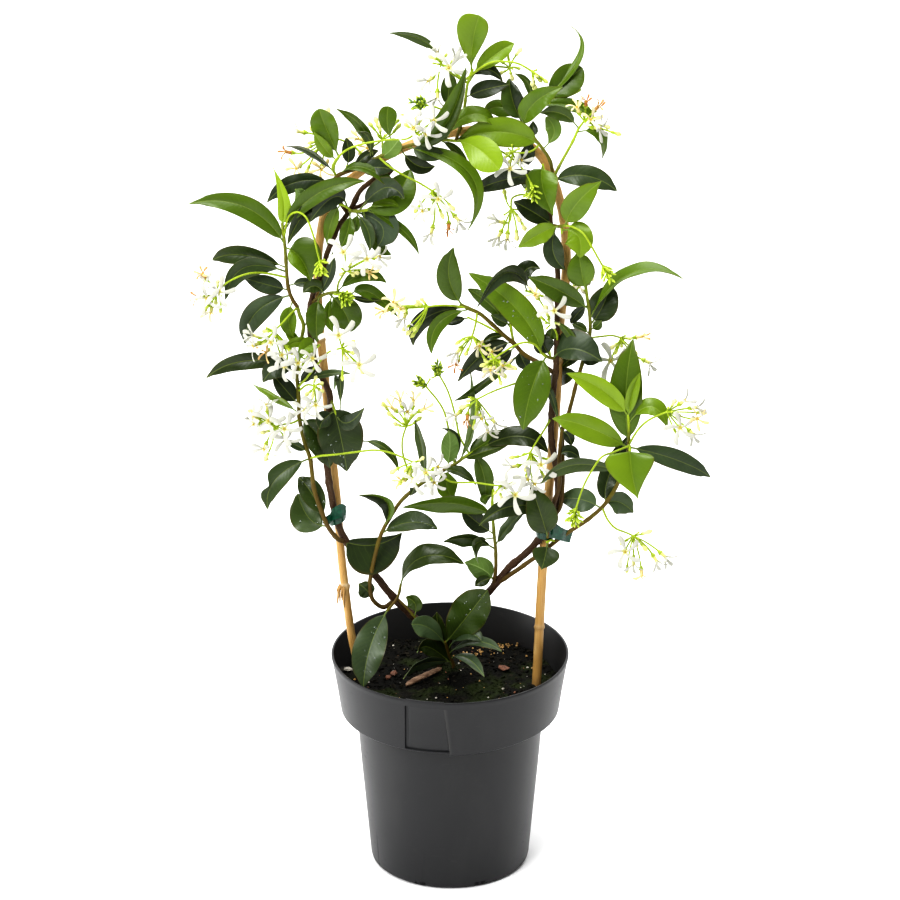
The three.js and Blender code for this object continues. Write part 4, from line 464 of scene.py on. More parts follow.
stem 2 1.6 38,251,12 60,268,0 75,280,-9 95,297,-11 112,309,-12 126,322,-13 134,334,-15 140,347,-17
  144,360,-18 147,373,-20
stem 1 1 88,291,-10 84,292,-14 80,290,-17
leaf 80,290 79,277 76,265 23 0 -24 .08 blunt=-1.2 wave=.03 twist=0
leaf 125,321 108,329 89,329 20 0 -4 .16 blunt=-.4 side_tone=-.1 glaucous=.9
leaf 127,323 138,327 152,317 19 0 -4 .12 glaucous=.6
leaf 128,325 131,350 149,389 17 0 8 0
leaf 142,353 102,361 75,343 15 40 -34 .15
part rosette_right from=runner_right
stem 1.5 1.1 147,373,-20 147,390,-20 146,405,-20
stem 1.1 1 147,378,-20 148,376,-27 148,372,-32
leaf 147,374 112,394 84,401 21 0 -30 .65 blunt=-.2 fold=.3
leaf 146,404 124,427 95,441 18 10 -24 .78 fold=.4
leaf 147,380 144,425 149,471 28 0 -6 .42
leaf 146,405 149,422 155,441 10 0 -22 .68 fold=.7
leaf 147,403 165,411 179,392 15 10 -28 .6
leaf 146,373 150,352 156,328 40 0 -44 .58
  blunt=-1.8 fold=.45 twist=0 droop=0 stalk=1.5 side_tone=-.07 wave=.02
leaf 147,374 185,364 215,349 17 10 -8 .05 fold=.3 glaucous=.5
stalk 147,376,-20 134,371,-26 125,367,-34 117,355,-36 110,340,-36 104,320,-36
tuft 9 14 -.05 -.6 .2
part climber_right from=woody_stem oldest=.3
stem 2.1 1.5 86,316,-9 86,325,-16 90,340,-18 90,366,-16 92,392,-15
stem 1.2 1.1 84,322,-15 82,312,-19 81,294,-19
leaf 81,294 75,316 67,341 26 0 -22 .1
leaf 84,318 50,323 24,305 16 10 -30 .05
leaf 90,368 97,372 107,366 11 0 -14 0
leaf 92,391 97,386 100,377 9 0 -14 0
leaf 86,427 82,424 78,420 6 0 -14 .1
part flowers_far_left from=shoot_left_high
stalk -133,524,-14 -150,528,-22 -165,527,-36 -180,520,-40 -188,512,-40
bloom -187 512 -4 0 0
bloom -198 519 0 -.6 .2 11
bloom -200 527 3 -.5 .6 9 .75
bloom -205 507 0 -.9 -.1 9 .8
bloom -197 506 -5 -.3 -.3 12
bloom -194 494 0 -.1 -.9 10 .3
buds -190,500,2 -186,493,0 -188,523,2 -201,494,3
part flowers_left_high from=shoot_left_middle
stalk -124,498,-14 -130,492,-20 -137,484,-24 -143,478,-26
bloom -146 468 -6 0 0
bloom -137 457 -8 .2 -.2 12
bloom -150 459 -2 -.3 -.2 11 .75
bloom -160 474 0 -.9 .2 8
bloom -160 465 0 -.8 -.4 11
bloom -124 450 -10 .2 -.5 14
bloom -135 447 -8 -.2 -.6 13
bloom -112 454 -12 .4 .1 12
buds -128,457,-6 -138,467,0 -154,464,4 -153,478,0
part flowers_left_low from=shoot_left_middle
stalk -123,425,-14 -116,431,-22 -111,430,-24
bloom -110 413 -4 0 -.2 12
bloom -119 408 0 -.3 -.3 11
buds -119,421,0 -103,424,-2 -103,433,0 -109,439,0 -113,419,-6
part flowers_left_inner from=shoot_left_middle
stalk -123,429,-14 -117,437,-24 -108,449,-30 -98,460,-32 -88,463,-34
bloom -90.5 474 -10 0 .1 17
bloom -74 448.5 -10 .1 -.1 15
buds -77,470,0 -77,458,-3 -83,452,-2 -88,434,-4 -70,440,2
part flowers_upper_left from=shoot_left_inner
stalk -91,511,-12 -90,520,-20 -84,530,-24
bloom -86 546 -10 -.1 .1 15
bloom -67 540 -8 .1 0
bloom -65 529 -2 .5 -.2 8 .55
bloom -57 542 0 .8 .1 9
buds -77,525,-2 -73,528,2 -90,526,0 -79,537,2
part flowers_outer_left from=shoot_left_low
stalk -122,400,-14 -130,397,-18 -137,396,-20 -143,394,-22
bloom -149 399 -6 0 0 14
bloom -136 392 -8 .1 0 14
bloom -161 403 0 -.7 .4 12
bloom -161 396 3 -.8 -.2 11
bloom -153 374 0 -.3 -.8 11
bloom -150 413 2 -.1 .9 10
bloom -135 382 -5 .3 -.5 11
buds -156,388,0 -148,384,-2 -153,363,3 -166,409,4
part flowers_top_left from=leader_left
stalk -66,622,-10 -75,634,-4 -87,641,0 -98,642,2
bloom -103 616 -2 0 -.4 12 .5
bloom -121 648 0 -.9 .1 9
bloom -123 617 0 -.5 -.4 11 .5
bloom -131 631 3 -.9 .1 7 .9
buds -112,652,0 -114,638,0 -119,632,2 -97,669,4 -112,626,2 -116,611,3
part flowers_top_small from=leader_left
stalk -53,628,-10 -54,635,-4 -54,641,-2
bloom -66 634 0 -.6 -.3 8 .5
bloom -73 642 3 -.8 .2 7 .4
buds -65,656,0 -60,661,4 -37,663,6 -39,655,2 -56,656,0
part flowers_top_pair from=leader_left
stalk -92,611,-11 -94,618,-18 -89,627,-24 -80,634,-27 -68,638,-27 -50,641,-27 -34,642,-27 -28,646,-28
bloom -29 651 -8 0 0 14
bloom -13 657 -6 .2 .1
bloom -19 646 -7 .3 -.4 11
buds -22,661,4 -37,655,3 -26,662,0
part flowers_top from=shoot_top
stalk 13,689,1 6,693,-5 -2,699,-7 -7,704,-8
bloom -1 701 -8 0 -.1 14
bloom -10 676 -2 0 -.95 9
bloom -17 690 0 -.6 -.6 8
bloom 4 708 0 .4 .5 7
bloom -10 713 -2 -.3 .8 7
buds -18,711,0 -2,713,2
part flowers_under_top from=shoot_right_top
stalk 71,637,-9 66,632,-12 58,630,-14 50,631,-15
bloom 48 617 -8 0 -.1
bloom 57 624 -2 .5 0 8
buds 44,630,2 42,625,0 56,634,0 47,621,2
part flowers_arch_right from=woody_stem
stalk 80,584,-8 69,592,4 58,595,5 50,592,5 49,583,5
bloom 46 557 0 -.1 -.9 9
bloom 39 559 2 -.4 -.8 7
bloom 39 572 0 -.8 .1 6
buds 54,555,0 61,564,2 57,571,0 43,600,2
part flowers_arch_left from=leader_left
stalk -57,626,-10 -50,620,-18 -40,613,-19 -25,605,-19 -14,598,-19
bloom -9.5 591 -5 0 0
bloom -22 581 -2 -.6 -.1 10
bloom -15 562 0 -.2 -.9 8
bloom 7 573 0 .6 -.7 8
bloom -1 566 2 0 -.8 7 .95
buds -5,574,0 4,581,2 -29,579,0
part flowers_right_top from=shoot_right_crown
stalk 103,652,-12 107,657,-14
bloom 108 673 0 0 .6 8 .9
bloom 101 668 -4 -.3 .7 9 .45
bloom 119 651 -4 .9 -.1 11
bloom 112 658 -7 .4 .2 10 .35
bloom 118 669 3 .6 .6 7 .8
buds 122,660,0 128,651,3 137,645,0
part flowers_right from=shoot_right_long
stalk 114,472,6 122,473,10 132,474,12 139,472,12
bloom 131 452 -6 0 0 15
bloom 156 473 0 .9 .1 6 .6
bloom 163 450 0 .85 -.4 10
buds 130,462,0 134,457,0 140,463,-2 153,457,0 148,471,-4
part flowers_low_right from=woody_stem
stalk 83,402,-9 79,394,-15 72,382,-18 66,371,-20
bloom 75 360 -8 0 .1 14
bloom 64 347 -3 .1 -.1 12
bloom 70 343 -6 .2 -.4 10
bloom 51 358 0 -.9 -.2 9
buds 48,366,0 62,353,-6 80,345,-3 69,360,3 84,364,2
part flowers_far_right from=rosette_right
stalk 147,377,-20 153,389,-24 162,399,-32 171,404,-34 178,407,-34
bloom 189 393 -6 0 0
bloom 192 417 0 .7 .5 10
bloom 202 411 0 .9 .1 9
bloom 203 401 -4 .5 0 11 .5
bloom 200 387 2 .6 -.6 9
buds 190,403,3 185,419,2 188,384,0 211,406,3
part flowers_right_low from=runner_right
stalk 127,320,-13 131,310,-20 137,303,-22 146,299,-22 152,296,-22
bloom 145.5 281.5 -6 0 0
bloom 172 273 0 .5 -.8 8
bloom 179 277 3 .7 -.6 8
bloom 153 270 -2 0 -.95 9
bloom 160 260 0 .1 -.95 10 .55
buds 168,301,0 156,285,0 141,288,2 147,262,2 164,282,-4
part flowers_right_small from=shoot_right_long
stalk 110,512,3 107,514,9 104,516,12
bloom 105 518 -4 0 0 9 .3
bloom 101 513 0 -.6 -.2 7 .3
bloom 109 522 2 .4 .6 7 .35
buds 98,508,0 99,522,2
part flowers_middle_left from=shoot_twining_low
stalk -26,341,-6 -34,354,-2 -39,371,0 -39,383,0 -36,394,0
bloom -48 411 4 -.7 .5 7.5 .5
bloom -41 417 -3 -.3 .8 7 .4
bloom -30 417 5 .1 .9 7.5 .35
bloom -21 410 -2 .7 .4 8 .45
bloom -35 407 -11 0 .3 7.5
buds -47,397,0 -52,407,0 -23,403,0 -56,416,3 -30,406,4
part flowers_middle from=shoot_left_low
stalk -115,366,-16 -106,368,-28 -95,369,-34 -80,371,-35 -62,373,-35 -50,371,-35 -40,367,-35
  -30,362,-35
bloom -20 353 -16 .1 0
bloom -10 358 -3 .6 .3 10
bloom -30 346 -8 -.2 -.2
bloom -13 344 -5 .3 -.4 10
bloom -40 345 1 -.6 -.3 8 .6
buds -21,367,0 -50,352,2 -38,353,0 -43,341,0 -34,350,4
part flowers_centre_low from=shoot_twining_low
stalk -9,353,0 0,345,-10 20,344,-22 34,342,-26 41,341,-28
bloom 54 333 -8 0 0 15
bloom 46 341 -5 -.3 .2 10
buds 55,344,3 44,326,0 36,333,-3
part flowers_centre_left from=branch_centre
stalk 13,498,2 0,500,-3 -10,500,-5 -18,499,-5
bloom -46 503 -12 -.4 .3 13 .5
bloom -40 497 -14 -.5 -.2 8 .4
bloom -37 489 -9 -.2 -.8 8
bloom -54 495 -14 -.7 -.3 7 .6
buds -28,505,0 -24,507,3 -29,501,-3 -36,474,0 -32,472,3 -39,478,2 -30,477,-3
part flowers_centre_hanging from=branch_centre
stalk 22,494,2 21,485,-6 18,473,-10
bloom 24 465 -2 .4 -.5 9 .35
bloom 34 460 -2 .6 -.5 9 .35
bloom 37 446 0 .2 -.9 9
bloom 6 459 0 -.5 -.7 6
bloom 5 448 0 -.3 -.8 9 .95
buds 4,466,0 12,456,3 30,450,2
part flowers_centre from=shoot_centre_pair
stalk 74,460,-16 69,466,-24 61,468,-28 52,465,-28 43,459,-28 36,454,-28
bloom 43 448 -4 .5 -.5 10 .3
bloom 33 444 -4 0 -.7 9 .3
buds 24,447,0 27,441,2 29,450,-3 46,436,2 42,430,0 50,446,3 55,444,0
part flowers_centre_bottom from=woody_stem
stalk 85,430,-9 72,431,-8 58,433,-10 45,429,-12 33,424,-13 22,418,-14
bloom 31 390 -4 .2 -.9 10 .2
bloom 37 397 -2 .5 -.7 9
bloom 26 401 -5 .1 -.5 10
bloom 5 404 0 -.6 -.5 8
bloom 14 400 -2 -.1 -.8 8 .9
buds 13,416,0 7,410,2 19,391,0 22,402,3
part flowers_centre_right from=woody_stem
stalk 88,468,-8.5 87,475,-14 84,481,-17 82,484,-18
bloom 84.5 495.5 -8 0 0 14
bloom 69 509 0 -.4 .4 8 .45
buds 71,493,0 90,484,2 77,501,2 80,492,4
"""


def plan_value(word):
    """A number of the plan, whole or decimal, or else a name."""
    if word.lstrip("-").isdigit():
        return int(word)
    return float(word) if word.lstrip("-.")[0].isdigit() else word


def triples(values):
    """Values taken three at a time."""
    return [tuple(values[at:at + 3]) for at in range(0, len(values), 3)]


def places_of(text):
    """The places that a text lists, each three numbers joined by commas."""
    return triples([plan_value(word) for word in text.replace(",", " ").split()])


def read_plan(plan):
    """The parts of a planting plan, each under the name of its node."""
    parts = {}
    for row in plan.strip().replace("\n ", " ").splitlines():
        kind, *words = row.replace(",", " ").split()
        given = {
            name: plan_value(value)
            for name, _, value in (word.partition("=") for word in words) if value
        }
        values = [plan_value(word) for word in words if "=" not in word]
        if kind == "part":
            part = {"stems": [], "leaves": [], "heads": [], **given}
            parts[values[0]] = part
        elif kind == "stem":
            part["stems"].append((*values[:2], triples(values[2:])))
        elif kind == "leaf":
            part["leaves"].append((values, given))
        elif kind == "stalk":
            head = {"stalk": triples(values), "bloom": [], "buds": [], "tuft": None}
            part["heads"].append(head)
        elif kind == "bloom":
            head["bloom"].append(values)
        else:
            head[kind] = triples(values) if kind == "buds" else values
    return parts


PARTS = read_plan(PLAN)
HOOP_PATH = places_of("""
  -61,92,8 -71,150,10 -78,180,12 -82,201,12 -90,274,6 -93.5,328,3 -97,369,2 -102,435,0 -107,505,0
  -105,556,0 -96,590,0 -72,614,0 -40,633,0 -8,645,0 40,648,0 72,628,0 88,590,0 94,539,0 89,479,0
  87,417,0 81,328,0 77,265,-1 73,163,-3 69.2,84,-4
""")

# ---- the layout sheet

LAYOUT_EYE = np.array([0.0, -3096.0, 1660.0])
SHEET_RIGHT = np.array([1.0, 0.0, 0.0])
SHEET_UP = np.array([0.0, 0.384, 0.923])
SHEET_FRONT = np.array([0.0, -0.923, 0.384])


def on_sheet(place):
    """The point drawn at x, z on the sheet and lying at depth y, for one place or many."""
    x, z, y = np.moveaxis(np.asarray(place, float), -1, 0)
    drawn = np.stack([x, np.zeros_like(x), z], -1)
    reach = (y - LAYOUT_EYE[1]) / -LAYOUT_EYE[1]
    return LAYOUT_EYE + (drawn - LAYOUT_EYE) * np.asarray(reach)[..., None]


def to_sheet(point):
    """The sheet place (x, z, depth) of a point."""
    reach = LAYOUT_EYE[1] / (LAYOUT_EYE[1] - point[1])
    drawn = LAYOUT_EYE + (np.asarray(point) - LAYOUT_EYE) * reach
    return (drawn[0], drawn[2], point[1])


def facing(right, up):
    """The direction that leans right and up on the sheet and otherwise looks out of it."""
    front = sqrt(max(0.0, 1 - right * right - up * up))
    return unit(SHEET_RIGHT * right + SHEET_UP * up + SHEET_FRONT * front)


def unit(vector):
    """The vector scaled to length 1."""
    return vector / np.linalg.norm(vector)


def units(vectors):
    """Each row scaled to length 1."""
    return vectors / np.linalg.norm(vectors, axis=1)[:, None]


def turned(first, second, angle):
    """Two crossing directions, both turned by an angle, or by one for each row."""
    near, far = np.cos(angle), np.sin(angle)
    if np.ndim(angle):
        near, far = near[:, None], far[:, None]
    return first * near + second * far, second * near - first * far


def around(sides):
    """Angles all round."""
    return np.linspace(0, 2 * pi, sides, endpoint=False)


def circle(across, upright, sides):
    """Directions all round the two given ones."""
    angles = around(sides)
    return np.cos(angles)[:, None] * across + np.sin(angles)[:, None] * upright


def smooth_line(places, spacing=2.5):
    """Points about `spacing` apart on a smooth curve through sheet places."""
    points = on_sheet(places)
    ends = np.vstack([2 * points[0] - points[1], points, 2 * points[-1] - points[-2]])
    runs = []
    for index in range(len(points) - 1):
        p0, p1, p2, p3 = ends[index:index + 4]
        d0, d1, d2 = (
            max(np.sum((b - a) ** 2) ** 0.25, 1e-4) for a, b in ((p0, p1), (p1, p2), (p2, p3))
        )
        leave = ((p1 - p0) / d0 - (p2 - p0) / (d0 + d1) + (p2 - p1) / d1) * d1
        arrive = ((p2 - p1) / d1 - (p3 - p1) / (d1 + d2) + (p3 - p2) / d2) * d1
        count = max(2, ceil(np.linalg.norm(p2 - p1) / spacing))
        t = np.linspace(0, 1, count, endpoint=False)[:, None]
        runs.append(
            p1 + leave * t + (-3 * p1 + 3 * p2 - 2 * leave - arrive) * t ** 2
            + (2 * p1 - 2 * p2 + leave + arrive) * t ** 3
        )
    return np.vstack(runs + [points[-1:]])


def arc(start, leave, end, count=8):
    """A short curve from start, leaving along a direction, to end."""
    reach = np.linalg.norm(end - start)
    pull = start + leave * reach * 0.45
    t = np.linspace(0, 1, count)[:, None]
    return start * (1 - t) ** 2 + 2 * pull * t * (1 - t) + end * t ** 2


def run_along(line):
    """Distance along a line up to each of its points."""
    steps = np.linalg.norm(np.diff(line, axis=0), axis=1)
    return np.concatenate([[0.0], np.cumsum(steps)])


def along_line(at, run, line):
    """The point or points of a line at a distance along it."""
    return np.stack([np.interp(at, run, line[:, axis]) for axis in range(3)], -1)


def hump(offset, width):
    """1 where the offset is 0, and less and less away from there."""
    return np.exp(-(offset / width) ** 2)


def carry_frames(line):
    """Tangents of a line and two directions across it that turn as little as possible."""
    tangents = units(np.gradient(line, axis=0))
    guide = np.array([0.0, 0.0, 1.0]) if abs(tangents[0][2]) < 0.9 else np.array([1.0, 0.0, 0.0])
    across = [unit(np.cross(guide, tangents[0]))]
    for tangent in tangents[1:]:
        across.append(unit(across[-1] - tangent * np.dot(across[-1], tangent)))
    across = np.array(across)
    return tangents, across, np.cross(tangents, across)


# ---- meshes


class Shape:
    """Collects closed bodies of one piece: points in millimetres, faces, finishes, readings.

    Each point carries two triples that the finishes read. `place` is where it is on its own
    part, and `kind` is what sort of part that is.
    """

    def __init__(self):
        self.points, self.place, self.kind = [], [], []
        self.quads, self.triangles = [], []
        self.count = 0

    def add_points(self, points, place, kind):
        points = np.asarray(points, float).reshape(-1, 3)
        self.points.append(points)
        self.place.append(np.broadcast_to(place, points.shape))
        self.kind.append(np.broadcast_to(kind, points.shape))
        first = self.count
        self.count += len(points)
        return first

    def add_faces(self, faces, finish):
        """Faces of three or four points, kept with the number of their finish."""
        store = self.quads if faces.shape[1] == 4 else self.triangles
        store.append(np.column_stack([faces, np.full(len(faces), finish)]))

    def loft(self, rings, finish, place=(0, 0, 0), kind=(0, 0, 0), endless=False):
        """A closed body through rings of points, capped at both ends or joined head to tail."""
        rows, columns = rings.shape[:2]
        place, kind = (np.broadcast_to(values, rings.shape) for values in (place, kind))
        first = self.add_points(rings, place.reshape(-1, 3), kind.reshape(-1, 3))
        grid = first + np.arange(rows * columns).reshape(rows, columns)
        here, there = (grid, np.roll(grid, -1, 0)) if endless else (grid[:-1], grid[1:])
        quads = np.stack([here, np.roll(here, -1, 1), np.roll(there, -1, 1), there], -1)
        self.add_faces(quads.reshape(-1, 4), finish)
        if endless:
            return
        for end in (0, -1):
            middle = self.add_points(rings[end].mean(0), place[end].mean(0), kind[end].mean(0))
            row, after = grid[end], np.roll(grid[end], -1)
            edge = (row, after) if end else (after, row)
            self.add_faces(np.stack([*edge, np.full(columns, middle)], -1), finish)

    def make(self, name, finishes, smooth=50.0):
        """The piece as a Blender object, smooth but for edges sharper than `smooth` degrees."""
        points = np.vstack(self.points) * MM
        quads, triangles = np.vstack(self.quads), np.vstack(self.triangles)
        corners = np.concatenate([quads[:, :4].ravel(), triangles[:, :3].ravel()])
        starts = np.concatenate([
            np.arange(len(quads)) * 4, len(quads) * 4 + np.arange(len(triangles)) * 3,
        ])
        mesh = bpy.data.meshes.new(name)
        mesh.vertices.add(len(points))
        mesh.vertices.foreach_set("co", points.astype(np.float32).ravel())
        mesh.loops.add(len(corners))
        mesh.loops.foreach_set("vertex_index", corners.astype(np.int32))
        mesh.polygons.add(len(starts))
        mesh.polygons.foreach_set("loop_start", starts.astype(np.int32))
        used = np.concatenate([quads[:, 4], triangles[:, 3]])
        mesh.polygons.foreach_set("material_index", used.astype(np.int32))
        for label, values in (("place", self.place), ("kind", self.kind)):
            reading = mesh.attributes.new(label, "FLOAT_VECTOR", "POINT")
            reading.data.foreach_set("vector", np.vstack(values).astype(np.float32).ravel())
        mesh.update(calc_edges=True)
        mesh.validate()
        mesh.shade_smooth()
        mesh.set_sharp_from_angle(angle=radians(smooth))
        for finish in finishes:
            mesh.materials.append(finish)
        piece = bpy.data.objects.new(name, mesh)
        bpy.context.scene.collection.objects.link(piece)
        return piece


def triple(rings, first=0.0, second=0.0, third=0.0):
    """Three numbers for each point of the rings."""
    return np.stack(np.broadcast_arrays(first, second, third, rings[..., 0])[:3], -1)


def two_sided(line, across, normals, sideways, height, above, below):
    """Rings round a thin blade: out over its upper side and back under its lower one."""
    def lay(offset):
        return (
            line[:, None] + across[:, None] * sideways[..., None]
            + normals[:, None] * (height + offset)[..., None]
        )

    return np.concatenate([lay(above), lay(-below)[:, ::-1]], axis=1)


def tube_rings(line, radii, sides, lumps, draw):
    """Rings round a line, and for each point its share round and its distance along."""
    _, across, upright = carry_frames(line)
    angles = around(sides)
    radii = np.broadcast_to(radii, len(line))[:, None] * np.ones(sides)
    if lumps:
        phase = draw.uniform(0, 2 * pi)
        run = run_along(line)[:, None]
        radii = radii * (
            1 + lumps * np.sin(run * 0.33 + phase + 2 * np.cos(angles + phase))
            + lumps * 0.7 * np.sin(run * 0.9 + 3 * angles)
        )
    rings = line[:, None] + (
        across[:, None] * (np.cos(angles) * radii)[..., None]
        + upright[:, None] * (np.sin(angles) * radii)[..., None]
    )
    return rings, triple(rings, angles / (2 * pi), 0, run_along(line)[:, None])


def add_stem(shape, line, radii, sides, finish, kind, lumps=0.0, draw=None):
    """A stem along a line. A pair of radii tapers; `kind` is one triple, or one for each point."""
    if len(radii) == 2:
        radii = np.linspace(*radii, len(line))
    rings, place = tube_rings(line, radii, sides, lumps, draw)
    kind = np.asarray(kind, float)
    if kind.ndim == 2:
        kind = kind[:, None]
    shape.loft(rings, finish, place, kind)


# ---- where leaves and stalks leave a stem

ROOT_STEP = 1.2
ROOT_SPACING = 3.4
ROOT_SKIP = 3.2
ROOT_END = 1.4


def root_places(lines):
    """Sheet places close together along centre lines, where something may leave them."""
    places = []
    for index, line in enumerate(lines):
        run = run_along(line)
        start = 0.0 if index else min(ROOT_SKIP, run[-1] / 2)
        end = max(start, run[-1] - ROOT_END)
        for at in np.linspace(start, end, max(1, ceil((end - start) / ROOT_STEP)) + 1):
            places.append(to_sheet(along_line(at, run, line)))
    return places


def nearest(places, x, z):
    """The place drawn nearest to x, z."""
    return min(places, key=lambda place: hypot(place[0] - x, place[1] - z))


def free_place(places, x, z, taken):
    """The place drawn nearest to x, z that keeps clear of those already taken."""
    free = [
        place for place in places
        if all(np.linalg.norm(np.subtract(place, other)) >= ROOT_SPACING for other in taken)
    ]
    best = nearest(free or places, x, z)
    taken.append(best)
    return best


# ---- leaves

# The finishes that every piece of the plant carries, in this order.
BLADE, STEM, PETAL, BUD, DROP = range(5)
COLUMNS = np.array([-1, -0.93, -0.76, -0.5, -0.24, -0.08, 0, 0.08, 0.24, 0.5, 0.76, 0.93, 1])
FEW_COLUMNS = np.array([-1, -0.86, -0.5, -0.14, 0, 0.14, 0.5, 0.86, 1])
BITE = {"size": 0.10, "depth": 0.75}
# Blades from the first width up are made finest, and those up to the second coarsest.
LARGE_LEAF = 17
SMALL_LEAF = 9
# Height and width pairs of a water drop, as shares of its radius.
DROP_PROFILE = [(0.0, 0.9), (0.35, 0.95), (0.62, 0.72), (0.78, 0.36)]


def blade_width(t, blunt):
    """Share of the full half width at a share t of the blade's length."""
    t = np.clip(t, 0, 1)
    rise = 0.66 + (0.30 if blunt > 0 else 0.16) * blunt
    fall = 0.80 - 0.34 * blunt
    peak = rise / (rise + fall)
    body = t ** rise * (1 - t) ** fall / (peak ** rise * (1 - peak) ** fall)
    tip = np.clip((t - 0.84) / 0.16, 0, 1)
    return body * (1 - 0.84 * tip * (1 - tip) * min(1.0, max(0.0, 1 - 1.6 * blunt)))


def add_drops(shape, count, rings, normals, columns, draw):
    """Water drops that sit on the upper side of a blade."""
    for _ in range(count):
        row = draw.randrange(6, len(rings) - 3)
        column = draw.randrange(2, columns - 2)
        if column == columns // 2:
            continue
        radius = 0.30 + 0.65 * draw.random() ** 1.6
        out = normals[row]
        across = unit(rings[row, column + 1] - rings[row, column])
        along = np.cross(out, across)
        round_it = circle(across, along * 1.15, 8)
        seat = rings[row, column] - out * 0.15
        shape.loft(np.array([
            seat + out * up * radius + round_it * wide * radius for up, wide in DROP_PROFILE
        ]), DROP)


def leaf_character(given, tone, draw):
    """What sets a leaf apart from the others: by chance, unless the plan says so."""
    by_chance = {
        "fold": draw.uniform(0.16, 0.40), "wave": draw.uniform(0.03, 0.11),
        "waves": draw.uniform(1.6, 3.2), "twist": draw.uniform(-14, 14),
        "arch": draw.uniform(0.015, 0.06), "droop": draw.uniform(0.0, 0.10),
        "phase": draw.uniform(0, 2 * pi), "skew": draw.uniform(-0.06, 0.06),
        # The half shade paints one half of a blade lighter and the other darker, as light falls across
        # a fold.
        "side_tone": 0.0, "curl": 0.0, "bite": 0.0, "stalk": 5.0, "blunt": draw.uniform(-0.25, 0.15),
        # The sheen paints a grey reflection into the colour of some dark leaves.
        "drops": 0, "glaucous": draw.choice([0.0, 0.1, 0.3]) if tone < 0.2 else 0.0,
    }
    return {**by_chance, **given}


def leaf_stations(stalk, blunt, count):
    """Shares of a leaf's length where it has rings, closer together near a blunt tip."""
    even = np.linspace(0, 1, count)
    crowd = max(0.0, 0.7 * blunt)
    steps = (1 - crowd) * even ** 0.92 + crowd * np.sin(even * pi / 2)
    return np.concatenate([np.linspace(0, stalk, 4)[:-1], stalk + (1 - stalk) * steps])


def leaf_spine(base, middle, tip, roll, own, t, blade_t):
    """A leaf's middle line, with the directions across its blade and out of its upper side."""
    axis = unit(tip - base)
    flat_side = unit(np.cross(axis, unit(middle - LAYOUT_EYE)))
    side = flat_side * cos(roll) - np.cross(axis, flat_side) * sin(roll)
    control = 2 * middle - 0.5 * base - 0.5 * tip
    curve = (
        base * ((1 - t) ** 2)[:, None] + control * (2 * t * (1 - t))[:, None] + tip * (t ** 2)[:, None]
    )
    tangents = units(np.gradient(curve, axis=0))
    across = units(side - tangents * (tangents @ side)[:, None])
    normals = np.cross(tangents, across)
    lift = own["arch"] * 4 * t * (1 - t) - own["droop"] * np.clip(t - 0.6, 0, 1) ** 2 * 2
    centre = curve + normals * (lift * np.linalg.norm(tip - base))[:, None]
    across, normals = turned(across, normals, np.radians(own["twist"]) * np.clip(blade_t, 0, 1))
    return centre, across, normals


def blade_section(own, s, half, blade_t, stalk_radius, blade, large):
    """How far the points of a leaf lie sideways and up, and how thick it is over and under them."""
    rounding = np.clip(1 - half / (3.2 * stalk_radius) + 0.3, 0, 1)
    rounding[blade_t > 0.5] = 0
    half, blade_t, rounding = half[:, None], blade_t[:, None], rounding[:, None]
    sideways = s * half * (1 + own["skew"] * np.sign(s))
    midrib = hump(sideways, 0.55) * np.clip(1.2 - blade_t, 0, 1)
    round_body = np.sqrt(np.clip(1 - s ** 2, 0, 1)) * stalk_radius * 0.9
    away = np.abs(s)
    margin = 1 - 0.45 * away ** 3
    above = blade / 2 * margin - 0.16 * midrib
    below = blade / 2 * margin + 0.55 * midrib * (1 if large else 0.6)
    above, below = (
        side * (1 - rounding) + round_body * rounding + 0.02 for side in (above, below)
    )
    fold = own["fold"] * half * away * (1.25 - 0.55 * away)
    ripple = np.sin(2 * pi * own["waves"] * blade_t + own["phase"] + 1.7 * (s > 0))
    wave = own["wave"] * half * away ** 2 * ripple
    curl = own["curl"] * half * away ** 2.5
    if own["bite"]:
        cut = hump(blade_t - own["bite"], BITE["size"]) * (s < 0)
        sideways = sideways * (1 - BITE["depth"] * cut)
    return sideways, (fold + wave - curl) * (1 - rounding), above, below


def add_leaf(shape, root, leaf, finish, settings):
    """A leaf: a short stalk that widens into a folded, waved blade."""
    (_, _, middle_x, middle_z, tip_x, tip_z, width, roll, tip_depth, tone), given = leaf
    draw = random.Random(f"{tip_x} {tip_z}")
    own = leaf_character(given, tone, draw)
    base = on_sheet(root)
    tip = on_sheet((tip_x, tip_z, tip_depth))
    middle = on_sheet((middle_x, middle_z, (root[2] + tip_depth) / 2))
    large = width >= LARGE_LEAF
    columns = COLUMNS if large else FEW_COLUMNS
    stalk = min(0.16, own["stalk"] / np.linalg.norm(tip - base))
    t = leaf_stations(stalk, own["blunt"], 30 if large else 20 if width > SMALL_LEAF else 14)
    blade_t = (t - stalk) / (1 - stalk)
    centre, across, normals = leaf_spine(base, middle, tip, radians(roll), own, t, blade_t)
    stalk_radius = settings.petiole / MM * (1.0 if large else 0.75)
    half = np.maximum(
        blade_width(blade_t, own["blunt"]) * width / 2, stalk_radius * (1 - 0.8 * np.clip(t, 0, 1)),
    )
    s = columns[None, :] * np.ones(len(t))[:, None]
    section = blade_section(own, s, half, blade_t, stalk_radius, settings.thickness / MM, large)
    rings = two_sided(centre, across, normals, *section)
    both = np.concatenate([s, s[:, ::-1]], 1)
    place = triple(rings, both, blade_t[:, None], run_along(centre)[:, None] + draw.uniform(0, 40))
    # Painted shade: one half of the blade is made lighter and the other darker, as light falls across
    # a fold.
    side_tone = tone + own["side_tone"] * np.sign(both)
    # The second number carries the painted grey sheen, and is 1 on the lower side.
    kind = triple(rings, side_tone, 0.5 * own["glaucous"], half[:, None])
    kind[:, len(columns):, 1] = 1
    shape.loft(rings[::-1], finish, place[::-1], kind[::-1])
    add_drops(shape, own["drops"], rings, normals, len(columns), draw)


# ---- flowers

